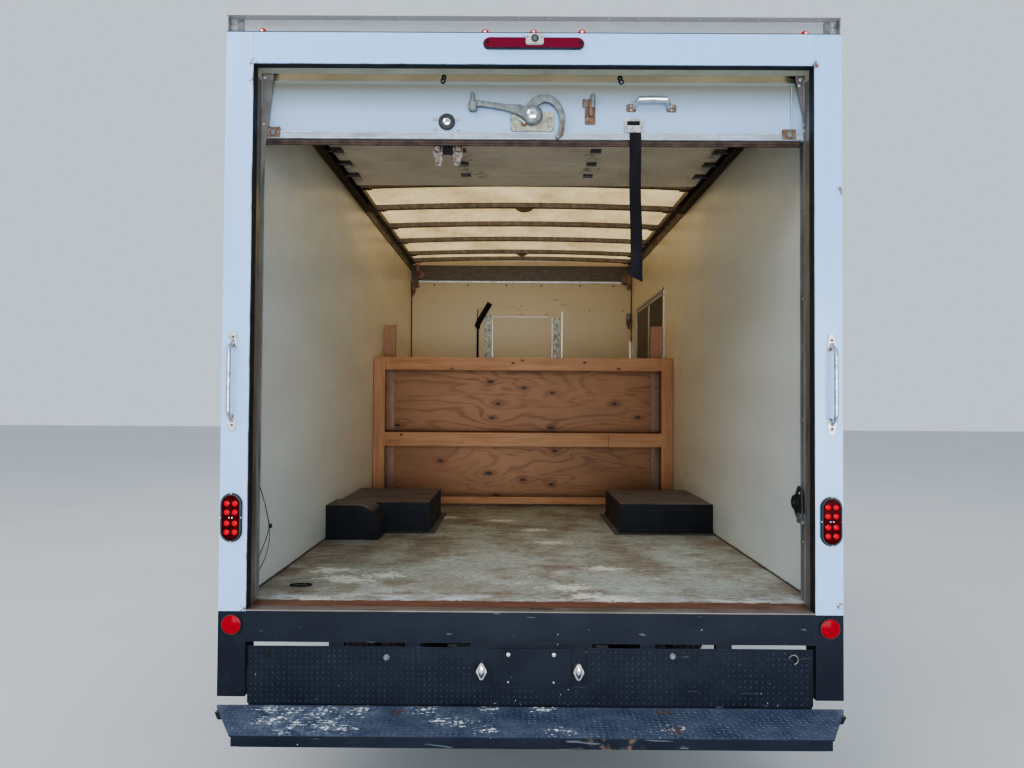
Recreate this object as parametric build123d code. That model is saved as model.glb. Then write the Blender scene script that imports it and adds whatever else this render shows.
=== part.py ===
from build123d import *
import math
import os

# Box truck with its rear roll-up door stored open.
# Millimetres. X to the truck's right, Y forward, Z up, origin on the ground at mid-length.

# Driving sizes of the whole truck
WHEELBASE = 4496.0
NOSE_OVERHANG = 850.0
CAB_LENGTH = 2250.0
CAB_GAP = 66.0
BOX_LENGTH = 5210.0
BOX_WIDTH = 2438.0
DECK_Z = 830.0
STEP_DEPTH = 265.0

TRUCK_LENGTH = CAB_LENGTH + CAB_GAP + BOX_LENGTH + STEP_DEPTH
NOSE_Y = TRUCK_LENGTH / 2
CAB_BACK_Y = NOSE_Y - CAB_LENGTH
FRONT_AXLE_Y = NOSE_Y - NOSE_OVERHANG
REAR_AXLE_Y = FRONT_AXLE_Y - WHEELBASE
BOX_FRONT_Y = CAB_BACK_Y - CAB_GAP
REAR_FACE_Y = BOX_FRONT_Y - BOX_LENGTH
HALF_WIDTH = BOX_WIDTH / 2
SIDES = {"left": -1, "right": 1}

# Tyres and rims
TYRE_RADIUS = 371.0
TYRE_WIDTH = 223.0
RIM_RADIUS = 203.0
RIM_WIDTH = 152.0
RIM_WALL = 12.0
BEAD_PRESS = 0.2
DISH = 130.0
HAND_HOLE_RADIUS = 20.0
HAND_HOLE_CIRCLE = 158.0
HAND_HOLES = 8
FRONT_TRACK_HALF = 868.0
KINGPIN_X = 768.0
DUAL_MID_X = 919.0
SPINDLE_GAP = 1.0

# Chassis
RAIL_OUTER_X = 432.0
RAIL_HEIGHT = 180.0
RAIL_FLANGE = 70.0
RAIL_WALL = 6.0
FLOOR_THICK = 30.0
CROSSMEMBER_HEIGHT = 75.0
RAIL_TOP_Z = DECK_Z - FLOOR_THICK - CROSSMEMBER_HEIGHT
RAIL_BOTTOM_Z = RAIL_TOP_Z - RAIL_HEIGHT
AXLE_TUBE_RADIUS = 50.0
SPRING_WIDTH = 70.0
SPRING_THICK = 40.0

# Box body
WALL_THICK = 40.0
FRAME_POST_WIDTH = 108.0
FRAME_DEPTH = 100.0
OPENING_HALF = HALF_WIDTH - FRAME_POST_WIDTH
FRAME_HEIGHT = 2280.0
HEADER_HEIGHT = 126.0
OPENING_HEIGHT = FRAME_HEIGHT - HEADER_HEIGHT
CAP_RISE = 70.0
CAP_HEIGHT = FRAME_HEIGHT + CAP_RISE
FRAME_FOOT = 6.0
WALL_SET_IN = 6.0
INNER_HALF = HALF_WIDTH - WALL_SET_IN - WALL_THICK
INNER_HEIGHT = FRAME_HEIGHT - 4.0
BOW_DEPTH = 36.0
BOW_CROWN = 24.0
BOW_WIDTH = 44.0
BOW_PITCH = 605.0
BOW_FIRST = 423.0
FRONT_BOW_BACK = 138.0
SKIN_THICK = 3.0
ROOF_RAIL_WIDTH = 41.0
FRONT_WALL_THICK = 50.0
FRONT_BOW = BOX_LENGTH - FRONT_WALL_THICK - FRONT_BOW_BACK
BOW_COUNT = 1 + int((FRONT_BOW - BOW_WIDTH - BOW_FIRST) // BOW_PITCH)
WALL_SKIRT = 100.0
WHEEL_CUT_RADIUS = 480.0

# Side doorway, measured forward of the rear face
SIDE_DOOR_FRONT = BOX_LENGTH - 410.0
SIDE_DOOR_WIDTH = 1400.0
SIDE_DOOR_REAR = SIDE_DOOR_FRONT - SIDE_DOOR_WIDTH
SIDE_DOOR_TOP = 1750.0
SIDE_DOOR_GAP = 8.0

# Rear door, stored open under the roof
DOOR_HALF = OPENING_HALF + 5.0
DOOR_THICK = 22.0
DOOR_FACE = 115.0
DOOR_PANEL_PITCH = 240.0
DOOR_PANEL_GAP = 3.0
DOOR_FLAT_PANELS = 7
DOOR_STORED_Z = INNER_HEIGHT - 36.0
DOOR_BOTTOM = OPENING_HEIGHT - 263.0
TRACK_OUTER_X = INNER_HALF - 7.0
TRACK_WIDTH = 44.0
TRACK_DEPTH = 60.0
TRACK_WALL = 3.0

# Wheel boxes, filler box and shelf
WHEEL_BOX_INNER = 597.0
WHEEL_BOX_LENGTH = 778.0
WHEEL_BOX_HEIGHT = 183.0
BOX_PLATE = 4.0
FILLER_LENGTH = 273.0
FILLER_WIDTH = 312.0
FILLER_HEIGHT = 200.0
FILLER_CORNER = 130.0
SHELF_FRONT = BOX_LENGTH - 2220.0
SHELF_DEPTH = 400.0
POST_WIDTH = 89.0
LUMBER = 38.0

# Cab
CAB_HALF = 1010.0
CAB_WALL = 45.0
CAB_FLOOR_Z = 775.0
CAB_BOTTOM_Z = 560.0
DOOR_GAP = 11.0
PANEL_GAP = 6.0
ARCH_RADIUS = 445.0
GLASS_THICK = 6.0
DOOR_SKIN = 39.0


def from_rear(distance):
    """A Y value, given forward of the rear frame's face."""
    return REAR_FACE_Y + distance


def above_deck(height):
    """A Z value, given above the load deck."""
    return DECK_Z + height


def above_door(height):
    """A Z value, given above the stored door's lower edge."""
    return above_deck(DOOR_BOTTOM + height)


def slab(x, y, z):
    """A block between the two values given on each axis."""
    middle = Pos(sum(x) / 2, sum(y) / 2, sum(z) / 2)
    return middle * Box(x[1] - x[0], y[1] - y[0], z[1] - z[0])


def outline(rows):
    """A closed face from rows of across, up and corner radius."""
    points = [(across, up) for across, up, radius in rows]
    radii = [radius for across, up, radius in rows]
    return make_face(FilletPolyline(*points, radius=radii, close=True))


def mirrored(rows):
    """The rows of a half outline with their mirror image added."""
    return rows + [(-across, up, radius) for across, up, radius in rows[::-1]]


def prism(axis, face, low, high):
    """A face carried along an axis: drawn in Y,Z for x, in X,Z for y and in X,Y for z."""
    planes = {
        "x": Plane(origin=(low, 0, 0), x_dir=(0, 1, 0), z_dir=(1, 0, 0)),
        "y": Plane(origin=(0, high, 0), x_dir=(1, 0, 0), z_dir=(0, -1, 0)),
        "z": Plane(origin=(0, 0, low), x_dir=(1, 0, 0), z_dir=(0, 0, 1)),
    }
    return extrude(planes[axis] * face, high - low)


def rod(start, end, radius):
    """A round bar between two points."""
    along = Vector(*end) - Vector(*start)
    upright = (Align.CENTER, Align.CENTER, Align.MIN)
    return Plane(origin=start, z_dir=along) * Cylinder(radius, along.length, align=upright)


def tube_path(points, radii, bar_radius):
    """A round bar along straight runs joined by tangent arcs."""
    path = FilletPolyline(*points, radius=radii)
    return sweep(Plane(origin=path @ 0, z_dir=path % 0) * Circle(bar_radius), path=path)


def turned(rows, x, y, z, direction=1):
    """A ring turned about a crosswise axis, from rows of offset along X and radius."""
    points = [(direction * along, radius) for along, radius in rows]
    face = Plane.XZ * make_face(Polyline(*points, close=True))
    return Pos(x, y, z) * revolve(face, Axis.X, 360)


def together(*shapes):
    """Separate solids kept in one piece, without joining them."""
    return Compound([solid for shape in shapes for solid in shape.solids()])


def both_sides(shape):
    """A shape on the right with its mirror image on the left."""
    return together(shape, mirror(shape, Plane.YZ))


def channel(y, half, top, height, width, wall):
    """A crosswise channel, open to the rear, that starts at y."""
    web = slab((-half, half), (y, y + wall), (top - height, top))
    upper = slab((-half, half), (y, y + width), (top - wall, top))
    lower = slab((-half, half), (y, y + width), (top - height, top - height + wall))
    return web + upper + lower


parts = {}

# Frame rails and cross-members
RAIL_REAR = 60.0
RAIL_FRONT_Y = FRONT_AXLE_Y + 560.0
WHEEL_BOX_REAR_Y = REAR_AXLE_Y - 392.0
WHEEL_BOX_FRONT_Y = WHEEL_BOX_REAR_Y + WHEEL_BOX_LENGTH
FLOOR_REAR = 110.0
CROSSMEMBER_PITCH = 405.0
CROSSMEMBER_WIDTH = 45.0
CROSSMEMBER_WALL = 4.0
FRAME_TIE_AHEAD = (700.0, 2200.0)
FRAME_TIES = [from_rear(480), *[REAR_AXLE_Y + ahead for ahead in FRAME_TIE_AHEAD], FRONT_AXLE_Y + 480]
FRAME_TIE_WIDTH = 60.0


def frame_rail():
    """The right rail, a channel open to the middle."""
    length = (from_rear(RAIL_REAR), RAIL_FRONT_Y)
    inner = RAIL_OUTER_X - RAIL_FLANGE
    web = slab((RAIL_OUTER_X - RAIL_WALL, RAIL_OUTER_X), length, (RAIL_BOTTOM_Z, RAIL_TOP_Z))
    top = slab((inner, RAIL_OUTER_X), length, (RAIL_TOP_Z - RAIL_WALL, RAIL_TOP_Z))
    bottom = slab((inner, RAIL_OUTER_X), length, (RAIL_BOTTOM_Z, RAIL_BOTTOM_Z + RAIL_WALL))
    return web + top + bottom


def frame_ties():
    """Channels that tie the two rails together, between their webs."""
    half = RAIL_OUTER_X - RAIL_WALL
    height = RAIL_HEIGHT - 2 * RAIL_WALL
    top = RAIL_TOP_Z - RAIL_WALL
    return together(*[channel(y, half, top, height, FRAME_TIE_WIDTH, RAIL_WALL) for y in FRAME_TIES])


def floor_crossmembers():
    """Channels under the deck, cut short between the wheel boxes."""
    first = from_rear(FLOOR_REAR + 50)
    last = BOX_FRONT_Y - FRONT_WALL_THICK - CROSSMEMBER_WIDTH
    count = int((last - first) // CROSSMEMBER_PITCH)
    step = (last - first) / count
    solids = []
    for index in range(count + 1):
        y = first + index * step
        beside_wheels = WHEEL_BOX_REAR_Y - CROSSMEMBER_WIDTH < y < WHEEL_BOX_FRONT_Y
        half = WHEEL_BOX_INNER if beside_wheels else INNER_HALF
        top = DECK_Z - FLOOR_THICK
        solids.append(channel(y, half, top, CROSSMEMBER_HEIGHT, CROSSMEMBER_WIDTH, CROSSMEMBER_WALL))
    return together(*solids)


parts["frame_rails"] = both_sides(frame_rail())
parts["crossmembers"] = together(frame_ties(), floor_crossmembers())

# Engine, drive line, tank and exhaust
ENGINE_REAR_Y = FRONT_AXLE_Y - 220.0
ENGINE_FRONT_Y = FRONT_AXLE_Y + 430.0
ENGINE_HALF = 270.0
ENGINE_BOTTOM_Z = 460.0
ENGINE_TOP_Z = 1040.0
GEARBOX_LENGTH = 800.0
GEARBOX_HALF = 150.0
SHAFT_RADIUS = 38.0
SHAFT_CLEAR = 2.0
SHAFT_JOINT_RADIUS = 52.0
SHAFT_JOINT_AHEAD = 1500.0
SHAFT_FRONT_Z = 508.0
SHAFT_MIDDLE_Z = 470.0
DIFF_RADIUS = 165.0
TANK_HALF = 340.0
TANK_BEHIND = 600.0
TANK_LENGTH = 820.0
TANK_DEPTH = 300.0
TANK_STRAP_THICK = 8.0
EXHAUST_RADIUS = 34.0
EXHAUST_Z = 440.0
MUFFLER_RADIUS = 95.0
MUFFLER_AHEAD = (900.0, 1500.0)


def engine_block():
    """One plain block, with the gearbox behind it."""
    length = (ENGINE_REAR_Y, ENGINE_FRONT_Y)
    block = slab((-ENGINE_HALF, ENGINE_HALF), length, (ENGINE_BOTTOM_Z, ENGINE_TOP_Z))
    gearbox = slab(
        (-GEARBOX_HALF, GEARBOX_HALF),
        (ENGINE_REAR_Y - GEARBOX_LENGTH, ENGINE_REAR_Y),
        (ENGINE_BOTTOM_Z, RAIL_TOP_Z),
    )
    return block + gearbox


def drive_shaft():
    """Two lengths of shaft that meet at a joint, from just clear of the gearbox to the axle."""
    gearbox_end = (0, ENGINE_REAR_Y - GEARBOX_LENGTH - SHAFT_CLEAR, SHAFT_FRONT_Z)
    middle = (0, REAR_AXLE_Y + SHAFT_JOINT_AHEAD, SHAFT_MIDDLE_Z)
    axle_end = (0, REAR_AXLE_Y + DIFF_RADIUS - 10, TYRE_RADIUS)
    joint = Pos(*middle) * Sphere(SHAFT_JOINT_RADIUS)
    return rod(gearbox_end, middle, SHAFT_RADIUS) + rod(middle, axle_end, SHAFT_RADIUS) + joint


def fuel_tank():
    """A tank slung between the rails behind the rear axle, with its two straps."""
    top = RAIL_BOTTOM_Z - TANK_STRAP_THICK
    rows = mirrored([(TANK_HALF, RAIL_BOTTOM_Z - TANK_DEPTH, 70), (TANK_HALF, top, 40)])
    front = REAR_AXLE_Y - TANK_BEHIND
    tank = prism("y", outline(rows), front - TANK_LENGTH, front)
    straps = []
    for share in (0.25, 0.75):
        y = front - share * TANK_LENGTH
        straps.append(slab((-RAIL_OUTER_X, RAIL_OUTER_X), (y - 25, y + 25), (top, RAIL_BOTTOM_Z)))
    return tank + straps


def exhaust():
    """A pipe down the right side with a muffler, turned out behind the rear wheels."""
    x = ENGINE_HALF + EXHAUST_RADIUS
    rear, front = [REAR_AXLE_Y + ahead for ahead in MUFFLER_AHEAD]
    pipe = rod((x, ENGINE_REAR_Y + 300, EXHAUST_Z), (x, front, EXHAUST_Z), EXHAUST_RADIUS)
    muffler = rod((x, rear, EXHAUST_Z), (x, front, EXHAUST_Z), MUFFLER_RADIUS)
    tail = rod((x, rear, EXHAUST_Z), (x + 260, rear - 380, EXHAUST_Z - 60), EXHAUST_RADIUS)
    hanger = slab((x + 70, x + 85), (rear + 250, rear + 350), (EXHAUST_Z, RAIL_BOTTOM_Z))
    return pipe + muffler + tail + hanger


parts["engine_block"] = engine_block()
parts["fuel_tank"] = fuel_tank()
parts["exhaust"] = exhaust()

# Axles, springs and knuckles
SPINDLE_RADIUS = 34.0
HUB_RADIUS = 90.0
DRUM_RADIUS = 165.0
REAR_HUB_INNER_X = 700.0
BEAM_HALF_WIDTH = 32.0
BEAM_HEIGHT = 62.0
BEAM_DROP = 70.0
BOSS_RADIUS = 30.0
BOSS_HALF_HEIGHT = 45.0
PIN_RADIUS = 14.0
YOKE_THICK = 24.0
YOKE_GAP = 5.0
FRONT_SPINDLE_RADIUS = 25.0
FRONT_SPRING_X = RAIL_OUTER_X - RAIL_FLANGE / 2
REAR_SPRING_X = RAIL_OUTER_X + 20 + SPRING_WIDTH / 2
FRONT_SPRING_HALF = 500.0
REAR_SPRING_HALF = 640.0
SPRING_CLEAR = 8.0


def rear_axle():
    """A tube with the differential's round housing and a stub for each pair of wheels."""
    inner = REAR_HUB_INNER_X - 2 * SPINDLE_GAP
    tube = rod((-inner, REAR_AXLE_Y, TYRE_RADIUS), (inner, REAR_AXLE_Y, TYRE_RADIUS), AXLE_TUBE_RADIUS)
    reach = DUAL_MID_X + 10
    stub = rod((-reach, REAR_AXLE_Y, TYRE_RADIUS), (reach, REAR_AXLE_Y, TYRE_RADIUS), SPINDLE_RADIUS)
    housing = turned(
        [(-110, 0), (-110, 60), (-60, DIFF_RADIUS), (60, DIFF_RADIUS), (110, 60), (110, 0)],
        0, REAR_AXLE_Y, TYRE_RADIUS,
    )
    return tube + stub + housing


def front_axle_beam():
    """A dropped beam that ends in the two kingpin bosses."""
    middle = TYRE_RADIUS - BEAM_DROP
    half = BEAM_HEIGHT / 2
    under = [
        (KINGPIN_X - 240, middle - half, 40),
        (KINGPIN_X - 100, TYRE_RADIUS - half, 40),
        (KINGPIN_X, TYRE_RADIUS - half, 0),
    ]
    over = [
        (KINGPIN_X, TYRE_RADIUS + half, 0),
        (KINGPIN_X - 130, TYRE_RADIUS + half, 40),
        (KINGPIN_X - 270, middle + half, 40),
    ]
    face = outline(mirrored(under + over))
    beam = prism("y", face, FRONT_AXLE_Y - BEAM_HALF_WIDTH, FRONT_AXLE_Y + BEAM_HALF_WIDTH)
    for sign in SIDES.values():
        x = sign * KINGPIN_X
        low = TYRE_RADIUS - BOSS_HALF_HEIGHT
        high = TYRE_RADIUS + BOSS_HALF_HEIGHT
        reach = YOKE_GAP + YOKE_THICK
        beam += rod((x, FRONT_AXLE_Y, low), (x, FRONT_AXLE_Y, high), BOSS_RADIUS)
        beam += rod((x, FRONT_AXLE_Y, low - reach), (x, FRONT_AXLE_Y, high + reach), PIN_RADIUS)
    return beam


def leaf_spring(x, y, half, seat_z, end_z):
    """A bowed main leaf with a shorter one under it and a hanger at each end."""
    face = make_face([
        ThreePointArc((y - half, end_z), (y, seat_z), (y + half, end_z)),
        Line((y + half, end_z), (y + half, end_z + 14)),
        ThreePointArc((y + half, end_z + 14), (y, seat_z + SPRING_THICK), (y - half, end_z + 14)),
        Line((y - half, end_z + 14), (y - half, end_z)),
    ])
    leaf = prism("x", face, x - SPRING_WIDTH / 2, x + SPRING_WIDTH / 2)
    hangers = []
    for sign in (-1, 1):
        low = y + sign * half - 30
        hangers.append(slab((x - 30, x + 30), (low, low + 60), (end_z, RAIL_BOTTOM_Z)))
    return leaf + hangers


def springs(x, y, half, seat_z, reaches_rail):
    """A spring on each side; outside the rails its hangers reach in to them."""
    end_z = RAIL_BOTTOM_Z - 40
    spring = leaf_spring(x, y, half, seat_z, end_z)
    if reaches_rail:
        for sign in (-1, 1):
            low = y + sign * half - 30
            top = (RAIL_BOTTOM_Z - 10, RAIL_BOTTOM_Z + 90)
            spring += slab((RAIL_OUTER_X, x + 30), (low, low + 60), top)
    return both_sides(spring)


parts["rear_axle"] = rear_axle() + drive_shaft()
parts["front_axle_beam"] = front_axle_beam()
front_seat_z = TYRE_RADIUS - BEAM_DROP + BEAM_HEIGHT / 2
rear_seat_z = TYRE_RADIUS + AXLE_TUBE_RADIUS
parts["leaf_springs"] = together(
    springs(FRONT_SPRING_X, FRONT_AXLE_Y, FRONT_SPRING_HALF, front_seat_z, False),
    springs(REAR_SPRING_X, REAR_AXLE_Y, REAR_SPRING_HALF, rear_seat_z, True),
)


def knuckle(sign):
    """A yoke round the kingpin boss, with the spindle that carries the wheel."""
    x = sign * KINGPIN_X
    boss_top = TYRE_RADIUS + BOSS_HALF_HEIGHT + YOKE_GAP
    boss_low = TYRE_RADIUS - BOSS_HALF_HEIGHT - YOKE_GAP
    low, high = boss_low - YOKE_THICK, boss_top + YOKE_THICK
    plate_x = (x + sign * (BOSS_RADIUS + YOKE_GAP), x + sign * (BOSS_RADIUS + YOKE_GAP + 20))
    yoke = slab(sorted(plate_x), (FRONT_AXLE_Y - 40, FRONT_AXLE_Y + 40), (low, high))
    for ear_z in ((low, boss_low), (boss_top, high)):
        yoke += rod((x, FRONT_AXLE_Y, ear_z[0]), (x, FRONT_AXLE_Y, ear_z[1]), BOSS_RADIUS + 5)
        yoke += slab(sorted((x, plate_x[1])), (FRONT_AXLE_Y - 34, FRONT_AXLE_Y + 34), ear_z)
    pin_hole = rod((x, FRONT_AXLE_Y, low - 1), (x, FRONT_AXLE_Y, high + 1), PIN_RADIUS + SPINDLE_GAP)
    spindle = rod(
        (plate_x[0], FRONT_AXLE_Y, TYRE_RADIUS),
        (sign * (FRONT_TRACK_HALF + DISH), FRONT_AXLE_Y, TYRE_RADIUS),
        FRONT_SPINDLE_RADIUS,
    )
    return yoke - pin_hole + spindle


# Wheels, turned about their crosswise axis
TYRE_SIDES = 44
TYRE_PROFILE = [  # offset as a share of the width, radius as a share of the tyre's depth
    (0.335, 0.0), (0.44, 0.15), (0.50, 0.48), (0.46, 0.82), (0.38, 1.0),
]


def tyre(x, y):
    """A ring of flat facets, whose lowest facet lies on the ground."""
    to_corner = 1 / math.cos(math.pi / TYRE_SIDES)
    bore = RIM_RADIUS - BEAD_PRESS
    depth = TYRE_RADIUS - bore
    half = [(share * TYRE_WIDTH, bore + rise * depth) for share, rise in TYRE_PROFILE]
    rows = half + [(-along, radius) for along, radius in half[::-1]]

    def corner(index, row):
        turn = 2 * math.pi * (index + 0.5) / TYRE_SIDES
        along, radius = rows[row % len(rows)]
        across, up = radius * to_corner * math.cos(turn), radius * to_corner * math.sin(turn)
        return x + along, y + across, TYRE_RADIUS + up

    facets = []
    for index in range(TYRE_SIDES):
        for row in range(len(rows)):
            steps = ((0, 0), (1, 0), (1, 1), (0, 1))
            corners = [corner(index + turn, row + along) for turn, along in steps]
            facets.append(make_face(Polyline(*corners, close=True)))
    return Solid(Shell([face for facet in facets for face in facet.faces()]))


def rim(x, y, direction):
    """A barrel with raised edges and a dished disc with hand holes; direction is the dish's side."""
    half = RIM_WIDTH / 2
    inner = RIM_RADIUS - RIM_WALL
    barrel = turned(
        [
            (-half - 4, inner), (-half - 4, RIM_RADIUS + 12), (-half, RIM_RADIUS + 12), (-half, RIM_RADIUS),
            (half, RIM_RADIUS), (half, RIM_RADIUS + 12), (half + 4, RIM_RADIUS + 12), (half + 4, inner),
        ],
        x, y, TYRE_RADIUS, direction,
    )
    disc = turned(
        [
            (half - 24, inner + 2), (half - 8, inner + 2), (DISH, 122), (DISH, 60),
            (DISH - 10, 60), (DISH - 10, 116),
        ],
        x, y, TYRE_RADIUS, direction,
    )
    wheel = barrel + disc
    for index in range(HAND_HOLES):
        angle = math.radians(index * 360 / HAND_HOLES)
        hole_y = y + HAND_HOLE_CIRCLE * math.sin(angle)
        hole_z = TYRE_RADIUS + HAND_HOLE_CIRCLE * math.cos(angle)
        start, end = (x + direction * 40, hole_y, hole_z), (x + direction * DISH, hole_y, hole_z)
        wheel -= rod(start, end, HAND_HOLE_RADIUS)
    return wheel


def front_hub(sign, x):
    """The brake drum and hub of a front wheel, closed at its outer end."""
    bore = FRONT_SPINDLE_RADIUS + SPINDLE_GAP
    inner = -40.0
    rows = [
        (inner, bore), (inner, DRUM_RADIUS), (inner + 30, DRUM_RADIUS), (inner + 30, 70), (DISH, 70),
        (DISH, 62), (DISH + 22, 48), (DISH + 22, 0), (DISH + 4, 0), (DISH + 4, bore),
    ]
    return turned(rows, x, FRONT_AXLE_Y, TYRE_RADIUS, sign)


def rear_hub(sign):
    """The brake drum and hub that carry a pair of rear wheels."""
    bore = SPINDLE_RADIUS + SPINDLE_GAP
    inner = REAR_HUB_INNER_X
    rows = [
        (inner, bore), (inner, DRUM_RADIUS), (inner + 90, DRUM_RADIUS), (inner + 90, HUB_RADIUS),
        (DUAL_MID_X - 8, HUB_RADIUS), (DUAL_MID_X + 8, 62), (DUAL_MID_X + 60, 55), (DUAL_MID_X + 60, 0),
        (DUAL_MID_X + 14, 0), (DUAL_MID_X + 14, bore),
    ]
    return turned(rows, 0, REAR_AXLE_Y, TYRE_RADIUS, sign)


for side, sign in SIDES.items():
    front_x = sign * FRONT_TRACK_HALF
    parts[f"knuckle_{side}"] = knuckle(sign)
    parts[f"tyre_front_{side}"] = tyre(front_x, FRONT_AXLE_Y)
    parts[f"rim_front_{side}"] = rim(front_x, FRONT_AXLE_Y, sign) + front_hub(sign, front_x)
    outer_x = sign * (DUAL_MID_X + DISH)
    inner_x = sign * (DUAL_MID_X - DISH)
    parts[f"tyres_rear_{side}"] = together(tyre(outer_x, REAR_AXLE_Y), tyre(inner_x, REAR_AXLE_Y))
    pair = rim(outer_x, REAR_AXLE_Y, -sign) + rim(inner_x, REAR_AXLE_Y, sign)
    parts[f"rims_rear_{side}"] = pair + rear_hub(sign)

# Box floor, walls and roof
CROWN_TOP = INNER_HEIGHT + BOW_DEPTH
WALL_OUTER = INNER_HALF + WALL_THICK
FRONT_INNER_Y = BOX_FRONT_Y - FRONT_WALL_THICK
DRAIN_X = -1007.0
DRAIN_AHEAD = 400.0
DRAIN_LENGTH = 70.0
DRAIN_WIDTH = 42.0
BAND_TOP = INNER_HEIGHT - 18.0
BAND_BOTTOM = BAND_TOP - 156.0
BAND_THICK = 30.0
PATCH_X = (-399.0, 441.0)
PATCH_INNER_X = (-275.0, 326.0)
PATCH_Z = (960.0, 1823.0)
PATCH_INNER_Z = (1065.0, 1718.0)
PATCH_THICK = 4.0


def box_floor():
    """The deck, cut out over the wheels, with an oval drain hole at the left rear."""
    length = (from_rear(FLOOR_REAR), FRONT_INNER_Y)
    deck = slab((-INNER_HALF, INNER_HALF), length, (DECK_Z - FLOOR_THICK, DECK_Z))
    for sign in SIDES.values():
        x = sorted((sign * (WHEEL_BOX_INNER + BOX_PLATE), sign * (INNER_HALF + 1)))
        y = (WHEEL_BOX_REAR_Y + BOX_PLATE, WHEEL_BOX_FRONT_Y - BOX_PLATE)
        deck -= slab(x, y, (DECK_Z - FLOOR_THICK - 1, DECK_Z + 1))
    drain = extrude(SlotOverall(DRAIN_LENGTH, DRAIN_WIDTH), FLOOR_THICK + 2)
    return deck - Pos(DRAIN_X, from_rear(DRAIN_AHEAD), DECK_Z - FLOOR_THICK - 1) * drain


def side_wall(sign):
    """A wall cut away over the wheels and, on the right, at the side doorway."""
    x = sorted((sign * INNER_HALF, sign * WALL_OUTER))
    y = (from_rear(FRAME_DEPTH), BOX_FRONT_Y)
    wall = slab(x, y, (DECK_Z - WALL_SKIRT, above_deck(CROWN_TOP)))
    wall -= rod((x[0] - 1, REAR_AXLE_Y, TYRE_RADIUS), (x[1] + 1, REAR_AXLE_Y, TYRE_RADIUS), WHEEL_CUT_RADIUS)
    if sign > 0:
        doorway_y = (from_rear(SIDE_DOOR_REAR), from_rear(SIDE_DOOR_FRONT))
        wall -= slab((INNER_HALF - 1, WALL_OUTER + 1), doorway_y, (DECK_Z, above_deck(SIDE_DOOR_TOP)))
    return wall


def roof_rail():
    """The rail along the top of the right wall that carries the bows' ends."""
    x = (INNER_HALF - ROOF_RAIL_WIDTH, INNER_HALF)
    y = (from_rear(FRAME_DEPTH), FRONT_INNER_Y)
    return slab(x, y, (above_deck(INNER_HEIGHT), above_deck(CROWN_TOP)))


def roof_arc(y, low, high, half):
    """A crosswise bar or sheet that is bowed upward in the middle."""
    face = make_face([
        ThreePointArc((-half, low), (0, low + BOW_CROWN), (half, low)),
        Line((half, low), (half, high)),
        ThreePointArc((half, high), (0, high + BOW_CROWN), (-half, high)),
        Line((-half, high), (-half, low)),
    ])
    return prism("y", face, *y)


def roof_bows():
    """The evenly spaced bows, with one more close to the front wall."""
    places = [BOW_FIRST + index * BOW_PITCH for index in range(BOW_COUNT)]
    places.append(FRONT_BOW)
    z = (above_deck(INNER_HEIGHT), above_deck(CROWN_TOP))
    half = INNER_HALF - ROOF_RAIL_WIDTH
    bows = []
    for place in places:
        y = (from_rear(place) - BOW_WIDTH / 2, from_rear(place) + BOW_WIDTH / 2)
        bows.append(roof_arc(y, *z, half))
    return together(*bows)


def roof_skin():
    top = above_deck(CROWN_TOP)
    return roof_arc((from_rear(FRAME_DEPTH), BOX_FRONT_Y), top, top + SKIN_THICK, WALL_OUTER)


def front_wall():
    """The front wall, with the band along its top and the framed patch on both its faces."""
    z = (DECK_Z - WALL_SKIRT, above_deck(CROWN_TOP))
    wall = slab((-INNER_HALF, INNER_HALF), (FRONT_INNER_Y, BOX_FRONT_Y), z)
    band_z = (above_deck(BAND_BOTTOM), above_deck(BAND_TOP))
    wall += slab((-INNER_HALF, INNER_HALF), (FRONT_INNER_Y - BAND_THICK, FRONT_INNER_Y), band_z)
    patch_z = [above_deck(z) for z in PATCH_Z]
    inner_z = [above_deck(z) for z in PATCH_INNER_Z]
    for y in ((FRONT_INNER_Y - PATCH_THICK, FRONT_INNER_Y), (BOX_FRONT_Y, BOX_FRONT_Y + PATCH_THICK)):
        frame = slab(PATCH_X, y, patch_z)
        wall += frame - slab(PATCH_INNER_X, y, inner_z)
    return wall


parts["box_floor"] = box_floor()
parts["wall_left"] = side_wall(-1)
parts["wall_right"] = side_wall(1)
parts["front_wall"] = front_wall()
parts["roof_rails"] = both_sides(roof_rail())
parts["roof_bows"] = roof_bows()
parts["roof_skin"] = roof_skin()

# Side doors, a pair of leaves hinged at the two ends of the side doorway
SIDE_HINGE_RADIUS = 7.0
SIDE_STRAP_LENGTH = 260.0
SIDE_STRAP_THICK = 8.0
SIDE_HINGE_OUT = 12.0
SIDE_HINGE_HEIGHT = 110.0
SIDE_HINGES = (250.0, 900.0, 1550.0)
SIDE_DOOR_MIDDLE = (SIDE_DOOR_REAR + SIDE_DOOR_FRONT) / 2


def side_door(end, middle):
    """A leaf from one end of the doorway to its middle, with hinge barrels and straps."""
    toward = 1 if middle > end else -1
    edge = end + toward * SIDE_DOOR_GAP
    meeting = middle - toward * SIDE_DOOR_GAP / 2
    y = sorted((from_rear(edge), from_rear(meeting)))
    z = (DECK_Z + SIDE_DOOR_GAP, above_deck(SIDE_DOOR_TOP) - SIDE_DOOR_GAP)
    leaf = slab((INNER_HALF, WALL_OUTER), y, z)
    axis_x = WALL_OUTER + SIDE_HINGE_OUT
    for height in SIDE_HINGES:
        low = above_deck(height) - SIDE_HINGE_HEIGHT / 2
        high = low + SIDE_HINGE_HEIGHT
        leaf += rod((axis_x, from_rear(end), low), (axis_x, from_rear(end), high), SIDE_HINGE_RADIUS)
        strap_y = sorted((from_rear(end), from_rear(end + toward * SIDE_STRAP_LENGTH)))
        leaf += slab((WALL_OUTER, WALL_OUTER + SIDE_STRAP_THICK), strap_y, (low + 25, high - 25))
    return leaf


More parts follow.
